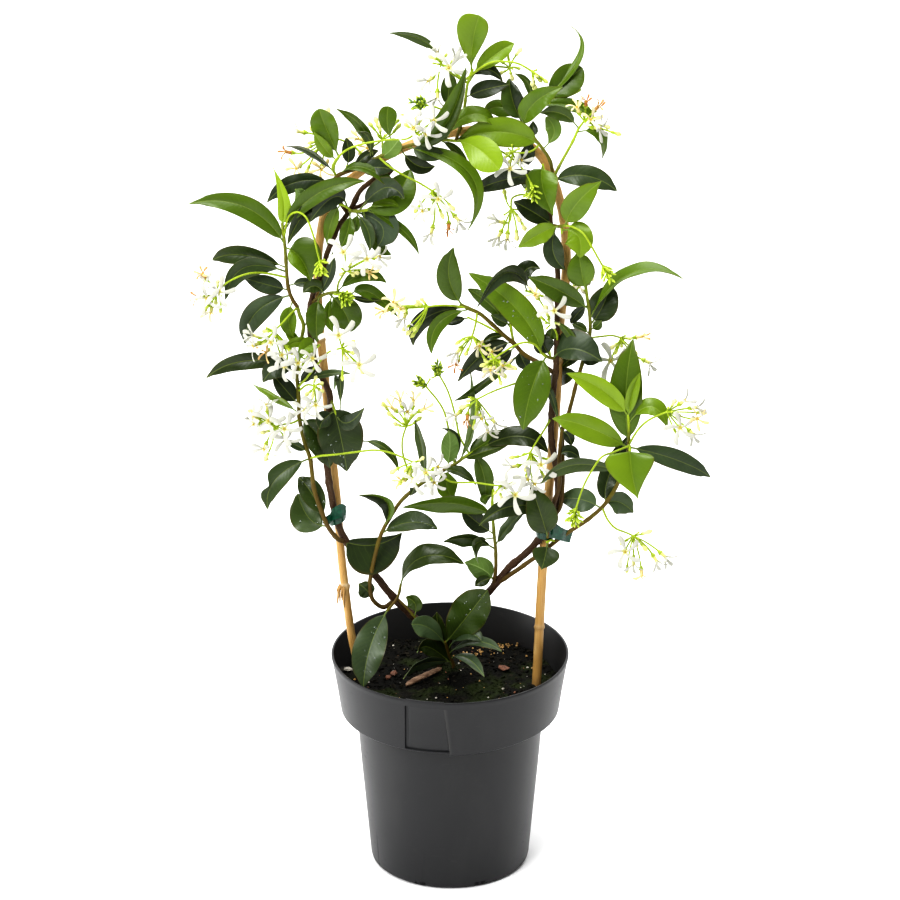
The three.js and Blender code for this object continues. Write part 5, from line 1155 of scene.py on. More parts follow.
PETAL_STATIONS = np.array([0, 0.08, 0.2, 0.36, 0.52, 0.68, 0.82, 0.93, 1.0])
PETAL_LEFT = np.interp(
    PETAL_STATIONS, [0, 0.2, 0.5, 0.75, 0.93, 1], [0.070, 0.078, 0.112, 0.132, 0.082, 0.015],
)
PETAL_RIGHT = np.interp(
    PETAL_STATIONS, [0, 0.2, 0.5, 0.75, 0.93, 1], [0.070, 0.088, 0.160, 0.226, 0.218, 0.09],
)
PETAL_COLUMNS = np.array([-1, -0.55, 0, 0.55, 1])
# Places along a part and its radius there, in millimetres or shares of the part's length.
TUBE_PLACES = np.array([0, 0.1, 0.35, 0.55, 0.8, 0.97, 1.0, 0.9])
TUBE_RADII = np.array([0.8, 1.15, 1.2, 1.55, 1.4, 1.5, 1.1, 0.6])
CALYX_PLACES = np.array([-0.8, 0.0, 1.1, 2.8])
CALYX_RADII = np.array([0.7, 1.45, 1.65, 2.6])
CALYX_LOBES = np.array([0, 0, 0.35, 1.0])
BUD_PLACES = np.array([-0.04, 0.04, 0.14, 0.3, 0.46, 0.6, 0.74, 0.9, 1.0])
BUD_RADII = np.array([0.3, 0.62, 0.72, 0.62, 0.7, 1.0, 1.02, 0.6, 0.12])
YOUNG_BUD_RADII = np.array([0.3, 0.42, 0.55, 0.72, 0.80, 0.76, 0.60, 0.34, 0.06])
TUBE_LENGTH = 7.5
FULL_BLOOM = 12.8


def side_frame(direction, spin=0.0):
    """Two directions across the given one, turned by spin radians."""
    guide = SHEET_UP if abs(direction @ SHEET_UP) < 0.9 else SHEET_RIGHT
    across = unit(np.cross(guide, direction))
    upright = np.cross(direction, across)
    return turned(across, upright, spin)


def add_petal(shape, centre, look, outward, sideways, reach, opening, age, draw, settings):
    """One strap-shaped petal that swings round a little and twists like a propeller blade."""
    u = PETAL_STATIONS
    rise = radians(74) * (1 - opening) + radians(draw.uniform(16, 26))
    fall = radians(62) * (1 - opening) - radians(draw.uniform(4, 18))
    if age > 0.4:
        rise += radians(draw.uniform(-25, 30)) * age
        fall += radians(draw.uniform(-70, 60)) * age
    slope = rise + (fall - rise) * u
    step = np.diff(u) * reach
    slope_mid = (slope[1:] + slope[:-1]) / 2
    out = 1.05 + np.concatenate([[0], np.cumsum(np.cos(slope_mid) * step)])
    up = np.concatenate([[0], np.cumsum(np.sin(slope_mid) * step)])
    swing = (0.30 + draw.uniform(-0.06, 0.06)) * u ** 1.2
    radial, tangential = turned(outward, sideways, swing)
    line = centre + radial * out[:, None] + look * up[:, None]
    upward = look * np.cos(slope)[:, None] - radial * np.sin(slope)[:, None]
    turn = radians(draw.uniform(16, 30)) * np.sin(pi * np.clip(u * 0.8 + 0.1, 0, 1))
    if age > 0.4:
        turn = turn + radians(draw.uniform(-60, 60)) * u * age
    width, normal = turned(tangential, upward, turn)
    narrow = 1 - 0.35 * max(0.0, age - 0.3)
    s = PETAL_COLUMNS
    edge = np.where(s < 0, PETAL_LEFT[:, None], PETAL_RIGHT[:, None]) * s * reach * narrow
    cup = -(np.abs(s) ** 2) * 0.22 * np.abs(edge).max(1)[:, None] * draw.uniform(0.2, 1.2)
    half = settings.thickness / MM / 2 * (1 - 0.4 * np.abs(s)) * np.ones(len(u))[:, None]
    rings = two_sided(line, width, normal, edge, cup, half, half)
    place = triple(rings, np.concatenate([s, s[::-1]]), u[:, None], draw.uniform(0, 1))
    kind = triple(rings, min(1.0, max(0.0, age + draw.uniform(-0.06, 0.10))))
    kind[:, len(s):, 1] = 1
    shape.loft(rings[::-1], PETAL, place[::-1], kind[::-1])


def add_flower(shape, hub, bloom, end_depth, draw, settings):
    """A flower on its own thin stalk: calyx, slender tube and five petals."""
    x, z, depth, right, up = bloom[:5]
    radius = bloom[5] if len(bloom) > 5 else FULL_BLOOM
    age = bloom[6] if len(bloom) > 6 else draw.choice([0.0, 0.0, 0.05, 0.12])
    centre = on_sheet((x, z, end_depth + depth))
    look = facing(right, up)
    chord = centre - hub
    reach_back = min(TUBE_LENGTH, 0.62 * np.linalg.norm(chord))
    lean = look @ unit(chord)
    if lean < 0.25:
        look = unit(look + unit(chord) * (0.3 - lean))
    neck = centre - look * reach_back
    opening = min(1.0, max(0.25, (radius - 5.0) / 7.0))
    reach = min(16.0, max(9.8, radius * 1.05)) * draw.uniform(0.93, 1.05)
    reach *= 1 - 0.45 * max(0.0, age - 0.15)
    stalk = arc(neck, -look, hub)[::-1]
    add_stem(shape, stalk, (0.62, 0.76), 6, STEM, (1, 0, 0))
    line = neck + look * (TUBE_PLACES * reach_back)[:, None]
    across, upright = side_frame(look, draw.uniform(0, 2 * pi))
    ring = circle(across, upright, 10)
    rings = line[:, None] + ring[None] * TUBE_RADII[:, None, None]
    place = triple(rings, 0, -(1 - TUBE_PLACES)[:, None])
    shape.loft(rings, PETAL, place, (min(1, age), 0, 1))
    lobes = np.where(np.arange(10) % 2 == 0, 1.0, 0.62)
    rings = (neck + look * CALYX_PLACES[:, None])[:, None] + ring[None] * (
        CALYX_RADII[:, None] * (1 - CALYX_LOBES[:, None] * (1 - lobes) * 0.9)
    )[..., None]
    shape.loft(rings, BUD, (0, 0.3, 0), (0.1, 0, 0))
    for petal in range(5):
        outward, sideways = turned(across, upright, 2 * pi * petal / 5)
        add_petal(shape, centre, look, outward, sideways, reach, opening, age, draw, settings)
    tip = centre + look * np.array([0.2, 1.1, 1.9])[:, None]
    rings = tip[:, None] + ring[None] * np.array([0.7, 0.45, 0.08])[:, None, None]
    shape.loft(rings, PETAL, (0, -0.5, 0), (min(1, age + 0.15), 0, 2))


def add_bud(shape, hub, tip, draw, size=None, ripe=None, deep=0.0, young=False):
    """A bud on a thin stalk: a slender twisted spindle with a green calyx."""
    chord = tip - hub
    far = np.linalg.norm(chord)
    size = size or min(draw.uniform(8.0, 10.5), 0.62 * far)
    ripe = draw.uniform(0.25, 1.0) if ripe is None else ripe
    axis = unit(unit(chord) + unit(np.array([draw.uniform(-1, 1) for _ in range(3)])) * 0.16)
    foot = tip - axis * size
    stalk = arc(foot, -axis, hub, 6)[::-1]
    add_stem(shape, stalk, (0.60, 0.72), 5, STEM, (1, 0, 0))
    t = BUD_PLACES
    r = (YOUNG_BUD_RADII if young else BUD_RADII) * (0.72 + 0.110 * size) * (0.9 + 0.3 * ripe)
    across, upright = side_frame(axis, draw.uniform(0, 6))
    angles = around(8)
    spin = 1.5 * np.clip(t - 0.4, 0, 1)[:, None]
    lobed = 1 + 0.10 * np.cos(4 * angles)[None] * np.clip((t - 0.45) * 4, 0, 1)[:, None]
    rings = (foot + axis * (t * size)[:, None])[:, None] + (
        (np.cos(angles + spin) * lobed * r[:, None])[..., None] * across
        + (np.sin(angles + spin) * lobed * r[:, None])[..., None] * upright
    )
    shape.loft(rings, BUD, triple(rings, 0, t[:, None]), (ripe, deep, 0))


def add_tuft(shape, hub, along, tuft, draw):
    """A dense cluster of green buds on a short branching end."""
    count, reach, right, up, deep = tuft
    lean = SHEET_RIGHT * right + SHEET_UP * up
    axis = unit(along * 0.5 + lean * 1.6 + 1e-6)
    across, upright = side_frame(axis)
    spine = hub + axis * np.linspace(0, 0.8 * reach, 5)[:, None]
    add_stem(shape, spine, (0.75, 0.45), 6, STEM, (1, 0, 0))
    for index in range(count * 3):
        share = (index + 0.5) / (count * 3)
        angle = index * 2.4 + draw.random()
        foot = hub + axis * reach * (0.9 * share - 0.15)
        bulge = 0.75 * sqrt(max(0.05, 1 - (1.7 * share - 0.75) ** 2))
        spread = 1.3 * min(reach, 11.0) * bulge * draw.uniform(0.55, 1.0)
        way = across * cos(angle) + upright * sin(angle)
        tip = foot + way * spread * draw.uniform(0.7, 1.0) + axis * draw.uniform(2.0, 7.5)
        size = min(draw.uniform(4.6, 8.0), 0.85 * np.linalg.norm(tip - foot))
        add_bud(shape, foot, tip, draw, size=size, ripe=0.0, deep=deep, young=True)


def add_head(shape, head, start, draw, settings):
    """A stalked head: blooms, buds and a tuft of small buds round the end of its stalk."""
    line = smooth_line([start, *head["stalk"][1:]], 3.0)
    add_stem(shape, line, (0.95, 0.75), 8, STEM, (0.92, 0, 0), 0.04, draw)
    end_depth = head["stalk"][-1][2]
    hub = line[-1]
    along = unit(line[-1] - line[-3])
    swell = hub + along * np.array([-1.6, -0.7, 0.3, 1.2])[:, None]
    add_stem(shape, swell, (0.6, 1.1, 1.15, 0.5), 8, BUD, (0.15, 0, 0))
    for bloom in head["bloom"]:
        add_flower(shape, hub, bloom, end_depth, draw, settings)
    for x, z, depth in head["buds"]:
        add_bud(shape, hub, on_sheet((x, z, end_depth + depth)), draw)
    if head["tuft"]:
        add_tuft(shape, hub, along, head["tuft"], draw)
    whorl = 4 if head["bloom"] else 3
    for index in range(whorl):
        angle = 2 * pi * index / whorl + draw.uniform(0, 1.5)
        across, _ = side_frame(along, angle)
        way = unit(along * draw.uniform(0.2, 1.1) + across)
        reach = draw.uniform(4.5, 8.5)
        add_bud(shape, hub, hub + way * reach, draw, size=draw.uniform(2.2, 3.6), ripe=0.0)


# ---- finishes


class Reading:
    """A value or colour of a node tree that can be used in Python expressions."""

    def __init__(self, maker, socket):
        self.maker, self.socket = maker, socket

    def maths(self, operation, *others):
        return self.maker.maths(operation, self, *others)

    def __add__(self, other):
        return self.maths("ADD", other)

    def __sub__(self, other):
        return self.maths("SUBTRACT", other)

    def __mul__(self, other):
        return self.maths("MULTIPLY", other)

    def __truediv__(self, other):
        return self.maths("DIVIDE", other)

    def __rsub__(self, other):
        return self.maker.maths("SUBTRACT", other, self)

    def __abs__(self):
        return self.maths("ABSOLUTE")

    __radd__, __rmul__ = __add__, __mul__

    def clamp(self):
        """The value kept between 0 and 1."""
        return self.maker.maths("MAXIMUM", self.maths("MINIMUM", 1.0), 0.0)

    def ease(self, low, high):
        """0 up to low, 1 from high on and a smooth rise between them."""
        step = {"data_type": "FLOAT", "interpolation_type": "SMOOTHSTEP"}
        inputs = {"Value": self, "From Min": low, "From Max": high}
        return self.maker.result("ShaderNodeMapRange", step, inputs)


class Finish:
    """A material being made, with one Principled shader."""

    def __init__(self, name, **fixed):
        self.material = bpy.data.materials.new(name)
        self.material.use_nodes = True
        self.tree = self.material.node_tree
        self.tree.nodes.clear()
        self.shader = self.node("ShaderNodeBsdfPrincipled")
        output = self.node("ShaderNodeOutputMaterial")
        self.tree.links.new(self.shader.outputs[0], output.inputs["Surface"])
        self.set(**fixed)

    def node(self, kind, settings=None, inputs=None):
        """A new node: its settings are set first, then the values or links of its sockets."""
        node = self.tree.nodes.new(kind)
        for name, value in (settings or {}).items():
            if name == "stops":
                ramp = node.color_ramp
                while len(ramp.elements) < len(value):
                    ramp.elements.new(1.0)
                for element, (at, colour) in zip(ramp.elements, value):
                    element.position, element.color = at, (*colour, 1.0)
            else:
                setattr(node, name, value)
        for name, value in (inputs or {}).items():
            self.feed(node.inputs[name], value)
        return node

    def result(self, kind, settings=None, inputs=None, output=0):
        """What a new node gives out."""
        return Reading(self, self.node(kind, settings, inputs).outputs[output])

    def feed(self, socket, value):
        if isinstance(value, Reading):
            self.tree.links.new(value.socket, socket)
        elif socket.type == "RGBA" and len(value) == 3:
            socket.default_value = (*value, 1.0)
        else:
            socket.default_value = value

    def set(self, **inputs):
        """Sets or links inputs of the shader; Base_Color stands for Base Color and so on."""
        for name, value in inputs.items():
            self.feed(self.shader.inputs[name.replace("_", " ")], value)

    def maths(self, operation, *values):
        return self.result("ShaderNodeMath", {"operation": operation}, dict(enumerate(values)))

    def blend(self, first, second, amount, way="MIX"):
        """Colour that goes from first to second by amount."""
        settings = {"data_type": "RGBA", "blend_type": way}
        return self.result("ShaderNodeMix", settings, {0: amount, 6: first, 7: second}, 2)

    def ramp(self, value, *stops):
        return self.result("ShaderNodeValToRGB", {"stops": stops}, {0: value})

    def reading(self, label):
        """The three numbers that the mesh carries under a label."""
        three = self.result("ShaderNodeAttribute", {"attribute_name": label}, output="Vector")
        parts = self.node("ShaderNodeSeparateXYZ", None, {0: three})
        return [Reading(self, socket) for socket in parts.outputs]

    def position(self, stretch=(1, 1, 1)):
        """Place on the object, in metres, stretched along its axes."""
        where = self.result("ShaderNodeTexCoord", output="Object")
        return self.result("ShaderNodeVectorMath", {"operation": "MULTIPLY"}, {0: where, 1: stretch})

    def vector(self, x, y, z):
        return self.result("ShaderNodeCombineXYZ", None, {0: x, 1: y, 2: z})

    def noise(self, scale, detail=2.0, where=None, roughness=0.5):
        inputs = {
            "Scale": scale, "Detail": detail, "Roughness": roughness,
            "Vector": where or self.position(),
        }
        return self.result("ShaderNodeTexNoise", None, inputs)

    def cells(self, scale, where=None):
        """Distance to the nearest of many scattered points."""
        inputs = {"Scale": scale, "Vector": where or self.position()}
        return self.result("ShaderNodeTexVoronoi", None, inputs, "Distance")

    def raised(self, height, depth, strength):
        """The material, with its surface raised by height times depth, in millimetres."""
        inputs = {"Height": height, "Distance": depth * MM, "Strength": strength}
        self.set(Normal=self.result("ShaderNodeBump", None, inputs))
        return self.material


def blade_finish(settings):
    """Glossy leaf: dark when old, lime when young, with a pale midrib and arched side veins, a painted
    grey sheen on some leaves, and one half of a folded blade painted lighter or darker.
    """
    f = Finish("leaf_blade", IOR=1.45, Specular_IOR_Level=0.42)
    across, along, run = f.reading("place")
    tone, side, half = f.reading("kind")
    under = side.ease(0.8, 0.9)
    # Painted sheen: how much grey reflection is painted on the upper side.
    glaucous = (side * 2.0).clamp() * (1 - under)
    away = abs(across)
    reach = away * half
    broad = f.noise(38.0, 2.0)
    fine = f.noise(420.0, 3.0)
    wander = f.noise(90.0, 1.0)
    phase = (run - reach * 0.70 - away * away * 2.0 + wander * 7.0) / 4.4
    off_vein = abs(phase.maths("FRACT") - 0.5)
    vein = (1 - off_vein / 0.07).clamp() * (1 - away.ease(0.62, 0.95)) * half.ease(3.0, 7.0)
    quilt = (off_vein * 2.0).ease(0.0, 1.0) * (1 - away.ease(0.75, 1.0)) * half.ease(2.0, 5.0)
    midrib = (1 - reach / 0.55).clamp()
    age = (tone + broad * 0.22 - 0.11 + away * 0.03).clamp()
    dark, middle, young = settings.dark, settings.middle, settings.young
    between = [0.5 * (a + b) for a, b in zip(dark, middle)]
    fresh = [0.55 * a + 0.45 * b for a, b in zip(middle, young)]
    upper = f.ramp(age, (0.0, dark), (0.25, between), (0.5, middle), (0.75, fresh), (1.0, young))
    upper = f.blend(upper, (0.5, 0.5, 0.5), fine * 0.35 - 0.08, "SOFT_LIGHT")
    # Painted sheen: a grey-green that stands in for a reflection of the lights on some dark leaves.
    upper = f.blend(upper, (0.105, 0.150, 0.095), glaucous * (0.30 + broad * 0.5))
    paler = f.blend(upper, (0.30, 0.38, 0.06), 0.07)
    upper = f.blend(upper, paler, vein * 0.8)
    bronze = away.ease(0.86, 1.0) * 0.5 + away.ease(0.3, 1.0) * along.ease(0.65, 1.0) * 0.22
    bronze = bronze * broad.ease(0.3, 0.7) * (1 - age.ease(0.6, 0.9))
    upper = f.blend(upper, (0.10, 0.055, 0.014), bronze)
    rib = f.blend(upper, (0.36, 0.44, 0.08), 0.26)
    upper = f.blend(upper, rib, midrib)
    lower = f.blend(f.blend(upper, (0.16, 0.25, 0.09), 0.45), (0.26, 0.36, 0.13), vein * 0.35)
    lower = f.blend(lower, (0.30, 0.40, 0.15), midrib * 0.7)
    stalk = 1 - along.ease(0.0, 0.03)
    colour = f.blend(upper, lower, under)
    colour = f.blend(colour, f.blend(colour, (0.20, 0.26, 0.06), 0.4), stalk)
    f.set(Base_Color=colour)
    gloss = settings.roughness + under * 0.20 + fine * 0.10 - 0.05 + midrib * 0.08 + glaucous * 0.10
    f.set(Roughness=gloss)
    quilt = quilt * (1 - half.ease(11.0, 19.0) * 0.85)
    height = quilt * 0.085 - vein * 0.04 + fine * 0.025 + broad * 0.3
    return f.raised(height * (1 - under * 0.4), 0.8, 0.5)


def stem_finish():
    """Stem: purple-brown bark when old, through olive, to lime when young."""
    f = Finish("stem", Roughness=0.5, Specular_IOR_Level=0.25)
    around, _, run = f.reading("place")
    youth, _, _ = f.reading("kind")
    streak = f.noise(1.0, 3.0, f.vector(around * 9.0, run * 0.06, youth))
    blotch = f.noise(160.0, 2.0)
    age = (youth + blotch * 0.26 - 0.13).clamp()
    colour = f.ramp(
        age, (0.0, (0.050, 0.023, 0.014)), (0.25, (0.075, 0.042, 0.018)),
        (0.45, (0.115, 0.078, 0.010)), (0.70, (0.150, 0.165, 0.020)), (1.0, (0.36, 0.48, 0.030)),
    )
    greyed = (1 - youth * 1.6).clamp() * streak.ease(0.5, 0.8) * 0.5
    colour = f.blend(colour, (0.16, 0.13, 0.10), greyed)
    wart = 1 - f.cells(520.0).ease(0.10, 0.26)
    woody = (1 - youth * 2.0).clamp()
    colour = f.blend(colour, (0.21, 0.17, 0.12), wart * woody * 0.55)
    f.set(Base_Color=colour, Roughness=0.62 - youth * 0.20)
    return f.raised(streak * 0.5 + wart * 0.5 + blotch * 0.3, 0.5, 0.6)


def petal_finish(settings):
    """White petal with a yellow-green throat, turning cream and then orange brown."""
    f = Finish("petal", Roughness=0.55, IOR=1.35)
    across, along, _ = f.reading("place")
    age, under, part = f.reading("kind")
    mottle = f.noise(500.0, 3.0)
    colour = f.blend(settings.petal, settings.throat, (1 - along.ease(0.0, 0.20)) * 0.75)
    tube = (along * -1.0).clamp()
    colour = f.blend(colour, (0.56, 0.62, 0.12), tube * 0.75)
    cream = f.blend(colour, (0.83, 0.70, 0.34), age.ease(0.15, 0.6))
    brown = f.blend(cream, settings.faded, (age + mottle * 0.5 - 0.25).ease(0.45, 1.0))
    colour = f.blend(brown, (0.60, 0.42, 0.05), part.ease(1.4, 2.0))
    crease = (1 - abs(across) / 0.35).clamp() * 0.5 + mottle * 0.3
    f.set(Base_Color=f.blend(colour, (0.72, 0.76, 0.52), crease * under * 0.25))
    return f.raised(crease, 0.35, 0.5)


def bud_finish(settings):
    """Bud: green calyx and body, cream towards the tip as it ripens."""
    f = Finish("bud", Roughness=0.5)
    _, along, _ = f.reading("place")
    ripe, deep, _ = f.reading("kind")
    green = f.blend(settings.stalk, (0.085, 0.165, 0.012), deep)
    mottle = f.noise(600.0, 2.0)
    tip = f.blend((0.46, 0.56, 0.06), (0.74, 0.71, 0.34), ripe)
    colour = f.blend(green, tip, (along + ripe * 0.55 - 0.30 + mottle * 0.1).ease(0.22, 0.62))
    f.set(Base_Color=colour)
    return f.raised(mottle, 0.2, 0.5)


def drop_finish():
    """Water that lets most light through; the rest is a pale grey-green, varied by noise, painted in
    for its glints.
    """
    f = Finish("water_drop", Roughness=0.05, IOR=1.33, Transmission_Weight=0.75)
    f.set(Base_Color=f.blend((0.80, 0.86, 0.84), (0.62, 0.70, 0.62), f.noise(300.0)))
    return f.material


def cane_finish(settings):
    """Split and bent cane: tan with fibres, darker patches and grey nodes."""
    f = Finish("cane", Roughness=0.45)
    around, node_share, run = f.reading("place")
    worn, pale, _ = f.reading("kind")
    fibre = f.noise(1.0, 4.0, f.vector(around * 26.0, run * 0.045, 0.0), 0.6)
    patch = f.noise(1.0, 2.0, f.vector(around * 2.2, run * 0.028, 4.0))
    speck = 1 - f.cells(1.0, f.vector(around * 9.0, run * 0.42, 0.0)).ease(0.05, 0.22)
    colour = f.blend(settings.colour, (0.30, 0.160, 0.050), fibre.ease(0.46, 0.72) * 0.6)
    colour = f.blend(colour, (0.70, 0.52, 0.25), patch.ease(0.50, 0.75) * 0.5)
    colour = f.blend(colour, (0.20, 0.105, 0.040), speck * patch.ease(0.35, 0.6) * 0.55)
    colour = f.blend(colour, (0.30, 0.19, 0.085), node_share * 0.7)
    colour = f.blend(colour, (0.17, 0.10, 0.045), worn * 0.75)
    colour = f.blend(colour, (0.66, 0.60, 0.46), pale.clamp() * 0.75)
    f.set(Base_Color=colour, Roughness=0.40 + fibre * 0.25)
    return f.raised(fibre * 0.7 - speck * 0.4, 0.5, 0.6)


def pot_finish(settings):
    """Satin moulded plastic with faint flow marks, scuffs and a dusting, a lighter inside wall, and a
    painted highlight along the panel's right step edge.
    """
    f = Finish("pot_plastic", IOR=1.46)
    flow = f.noise(30.0, 3.0, f.position((1, 1, 0.35)))
    scuff = f.noise(120.0, 4.0, f.position((1, 1, 3.2)), 0.65)
    grain = f.noise(2600.0, 1.0)
    marks = scuff.ease(0.58, 0.80)
    inner, edge, _ = f.reading("kind")
    # Scuffs, flow marks and the lighter inside wall move the plastic towards the paler colour, and so
    # does a highlight painted along the panel's right step edge.
    dusty = (marks * 0.35 + flow.ease(0.45, 0.8) * 0.2 + inner * 0.35 + edge * edge).clamp()
    colour = f.blend(settings.colour, settings.dust, dusty)
    f.set(Base_Color=colour, Roughness=settings.gloss + flow * 0.10 - 0.05 + marks * 0.18)
    return f.raised(grain * 0.25 + flow * 0.6 + marks * 0.15, 0.10, 0.7)


def mix_finish(settings):
    """Damp potting mix: near black with dry fibres and a little moss."""
    f = Finish("potting_mix", Specular_IOR_Level=0.15)
    coarse = f.noise(120.0, 4.0, None, 0.62)
    fine = f.noise(900.0, 3.0)
    dry, _, moss = f.reading("kind")
    damp = f.noise(34.0, 2.0)
    dried = (coarse.ease(0.5, 0.85) * 0.55 + dry).clamp()
    colour = f.blend(settings.colour, settings.dry, dried)
    colour = f.blend(colour, (0.16, 0.12, 0.085), fine.ease(0.66, 0.80) * 0.5)
    colour = f.blend(colour, (0.040, 0.060, 0.012), (damp.ease(0.50, 0.66) * 0.40 + moss).clamp())
    f.set(Base_Color=colour, Roughness=0.62 + fine * 0.35)
    return f.raised(coarse * 1.0 + fine * 0.5, 1.2, 0.9)


def grit_finish(name, colour, deep, roughness=0.7):
    """Small hard bits in one colour that deepens in their pits."""
    f = Finish(name, Roughness=roughness)
    pits = f.noise(700.0, 3.0)
    f.set(Base_Color=f.blend(deep, colour, pits.ease(0.3, 0.62)))
    return f.raised(pits, 0.5, 0.8)


def bark_finish():
    """Weathered bark chip with long fibres."""
    f = Finish("bark", Roughness=0.8)
    fibre = f.noise(1.0, 4.0, f.position((60, 420, 420)), 0.65)
    colour = f.blend((0.125, 0.070, 0.040), (0.31, 0.205, 0.135), fibre.ease(0.35, 0.7))
    colour = f.blend(colour, (0.045, 0.025, 0.015), f.noise(140.0).ease(0.55, 0.75) * 0.6)
    f.set(Base_Color=colour)
    return f.raised(fibre, 0.8, 0.8)


def tie_finish(settings):
    """Thin plastic tie, dark green and shiny."""
    f = Finish("tie_plastic", Roughness=0.18)
    streak = f.noise(260.0, 2.0)
    lighter = streak.ease(0.40, 0.7) * 0.5
    f.set(Base_Color=f.blend(settings.tie_colour, (0.010, 0.100, 0.050), lighter))
    return f.raised(streak, 0.12, 0.8)


# ---- pot


def keep(piece, slot, *nodes):
    """Puts a piece on the pot's own body, in the place of the named nodes."""
    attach(piece, "root")
    if nodes:
        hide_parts(*nodes)


def panel_columns(height):
    """Angles of the pot's columns at a height, with two that follow the panel's edges."""
    radius = np.interp(height, *zip(*POT_OUTSIDE))
    up = np.clip((height - PANEL["bottom"]) / (PANEL["top"] - PANEL["bottom"]), 0, 1)
    right = PANEL["right_bottom"] + (PANEL["right_top"] - PANEL["right_bottom"]) * up
    front = -pi / 2
    left_edge = front + np.arcsin(PANEL["left"] / radius)
    right_edge = front + np.arcsin(right / radius)
    hair = 0.3 / radius
    groove_edge = left_edge - PANEL["groove_width"] / radius
    return np.concatenate([
        np.linspace(groove_edge + hair, left_edge - hair, GROOVE_COLUMNS),
        np.linspace(left_edge + hair, right_edge - hair, PANEL_COLUMNS - GROOVE_COLUMNS),
        np.linspace(right_edge + hair, groove_edge - hair + 2 * pi, POT_SIDES - PANEL_COLUMNS),
    ])


def on_panel(z):
    """Whether a height lies within the panel, clear of its two edges."""
    return PANEL["bottom"] + 0.25 < z < PANEL["top"] - 0.25


def level_ring(angles, reach, height):
    """A ring round the pot's axis."""
    return np.stack(np.broadcast_arrays(np.cos(angles) * reach, np.sin(angles) * reach, height), -1)


def pot_row(z, angles, reach, drop=0.0):
    """A ring of the pot's wall, with the tab above the panel where it belongs to the rim."""
    level = np.full(POT_SIDES, z)
    if z > PANEL["rim"]:
        level[:PANEL_COLUMNS] += PANEL["tab"]
    return level_ring(angles, reach, level - drop)


def build_pot(settings):
    """The nursery pot: turned wall, flat panel on the collar, drain notches round the foot."""
    heights, radii = zip(*POT_OUTSIDE)
    top, bottom = PANEL["top"], PANEL["bottom"]
    edges = [(z, float(np.interp(z, heights, radii))) for z in (bottom, bottom + 0.5, top - 0.5, top)]
    outside = sorted(POT_OUTSIDE + edges)
    rows = []
    for z, radius in outside:
        angles = panel_columns(z)
        reach = np.full(POT_SIDES, radius)
        if on_panel(z):
            reach[:PANEL_COLUMNS] -= PANEL["depth"] + PANEL["deeper"] * (top - z) / (top - bottom)
            reach[:GROOVE_COLUMNS] = radius - PANEL["groove"]
        drop = np.zeros(POT_SIDES)
        if COLLAR_DROP["from"] < z < COLLAR_DROP["to"]:
            past_panel = (angles - angles[PANEL_COLUMNS]) / COLLAR_DROP["fades_over"]
            hang = np.clip(1 - past_panel, 0, 1) ** 2 * COLLAR_DROP["depth"]
            drop[PANEL_COLUMNS:] = hang[PANEL_COLUMNS:] * min(1.0, (COLLAR_DROP["to"] - z) / 2)
        rows.append(pot_row(z, angles, reach, drop))
    for z, radius in POT_INSIDE:
        rows.append(pot_row(z, panel_columns(max(z, 3.0)), radius))
    kind = np.zeros((len(rows), POT_SIDES, 3))
    # The inside rows are marked to be lighter. The column at the panel's right step edge is marked for
    # a painted highlight, where the step catches the light.
    kind[len(outside) + 2:, :, 0] = 1
    kind[:len(outside), PANEL_COLUMNS, 1] = [on_panel(z) for z, _ in outside]
    shape = Shape()
    shape.loft(np.array(rows), 0, kind=kind)
    pot = shape.make("nursery_pot", [pot_finish(settings)], 32.0)
    cut_notches(pot)
    keep(pot, "pot_plastic", "pot")


def cut_notches(pot):
    """Cuts the drain notches out of the foot."""
    cutters = Shape()
    for index in range(NOTCH["count"] // 2):
        turn = pi * (index + 0.5) / (NOTCH["count"] // 2)
        along = np.array([cos(turn), sin(turn), 0]) * NOTCH["reach"]
        wide = np.array([-sin(turn), cos(turn), 0]) * NOTCH["width"] / 2
        for outer in (-along, along):
            inner = outer * NOTCH["start"] / NOTCH["reach"]
            corners = np.array([inner - wide, outer - wide, outer + wide, inner + wide])
            below, above = [0, 0, -NOTCH["below"]], [0, 0, NOTCH["height"]]
            cutters.loft(np.array([corners + below, corners + above]), 0)
    tool = cutters.make("notch_cutter", [])
    cut = pot.modifiers.new("notches", "BOOLEAN")
    cut.operation, cut.object, cut.solver = "DIFFERENCE", tool, "MANIFOLD"
    finished = pot.evaluated_get(bpy.context.evaluated_depsgraph_get())
    applied = bpy.data.meshes.new_from_object(finished)
    pot.modifiers.clear()
    pot.data = applied
    bpy.data.objects.remove(tool)


# ---- potting mix


def mix_level(x, y):
    """Height of the potting mix at x, y in millimetres."""
    swell = 1.8 * np.sin(x * 0.045 + 0.8) * np.cos(y * 0.05 - 0.4) + 1.0 * np.sin(x * 0.11 + y * 0.09)
    heap = 3.0 * np.exp(-(x * x + (y - 15) ** 2) / 500.0)
    return SOIL["level"] + swell + heap


def add_crumb(shape, centre, radius, draw, finish, kind=(0, 0, 0), stretch=(1, 1, 0.8)):
    """A rough little lump."""
    rough = np.array([draw.uniform(0.72, 1.22) for _ in LUMP_CORNERS])
    turn = draw.uniform(0, 2 * pi)
    lump = LUMP_CORNERS * rough[:, None] * radius * np.array(stretch)
    x = lump[:, 0] * cos(turn) - lump[:, 1] * sin(turn)
    y = lump[:, 0] * sin(turn) + lump[:, 1] * cos(turn)
    first = shape.add_points(np.stack([x, y, lump[:, 2]], -1) + centre, (0, 0, 0), kind)
    shape.add_faces(LUMP_FACES + first, finish)


def any_spot(draw, reach):
    """A random spot on the mix, no farther out than reach."""
    angle, far = draw.uniform(0, 2 * pi), sqrt(draw.random()) * reach
    x, y = cos(angle) * far, sin(angle) * far
    return np.array([x, y, float(mix_level(x, y))])


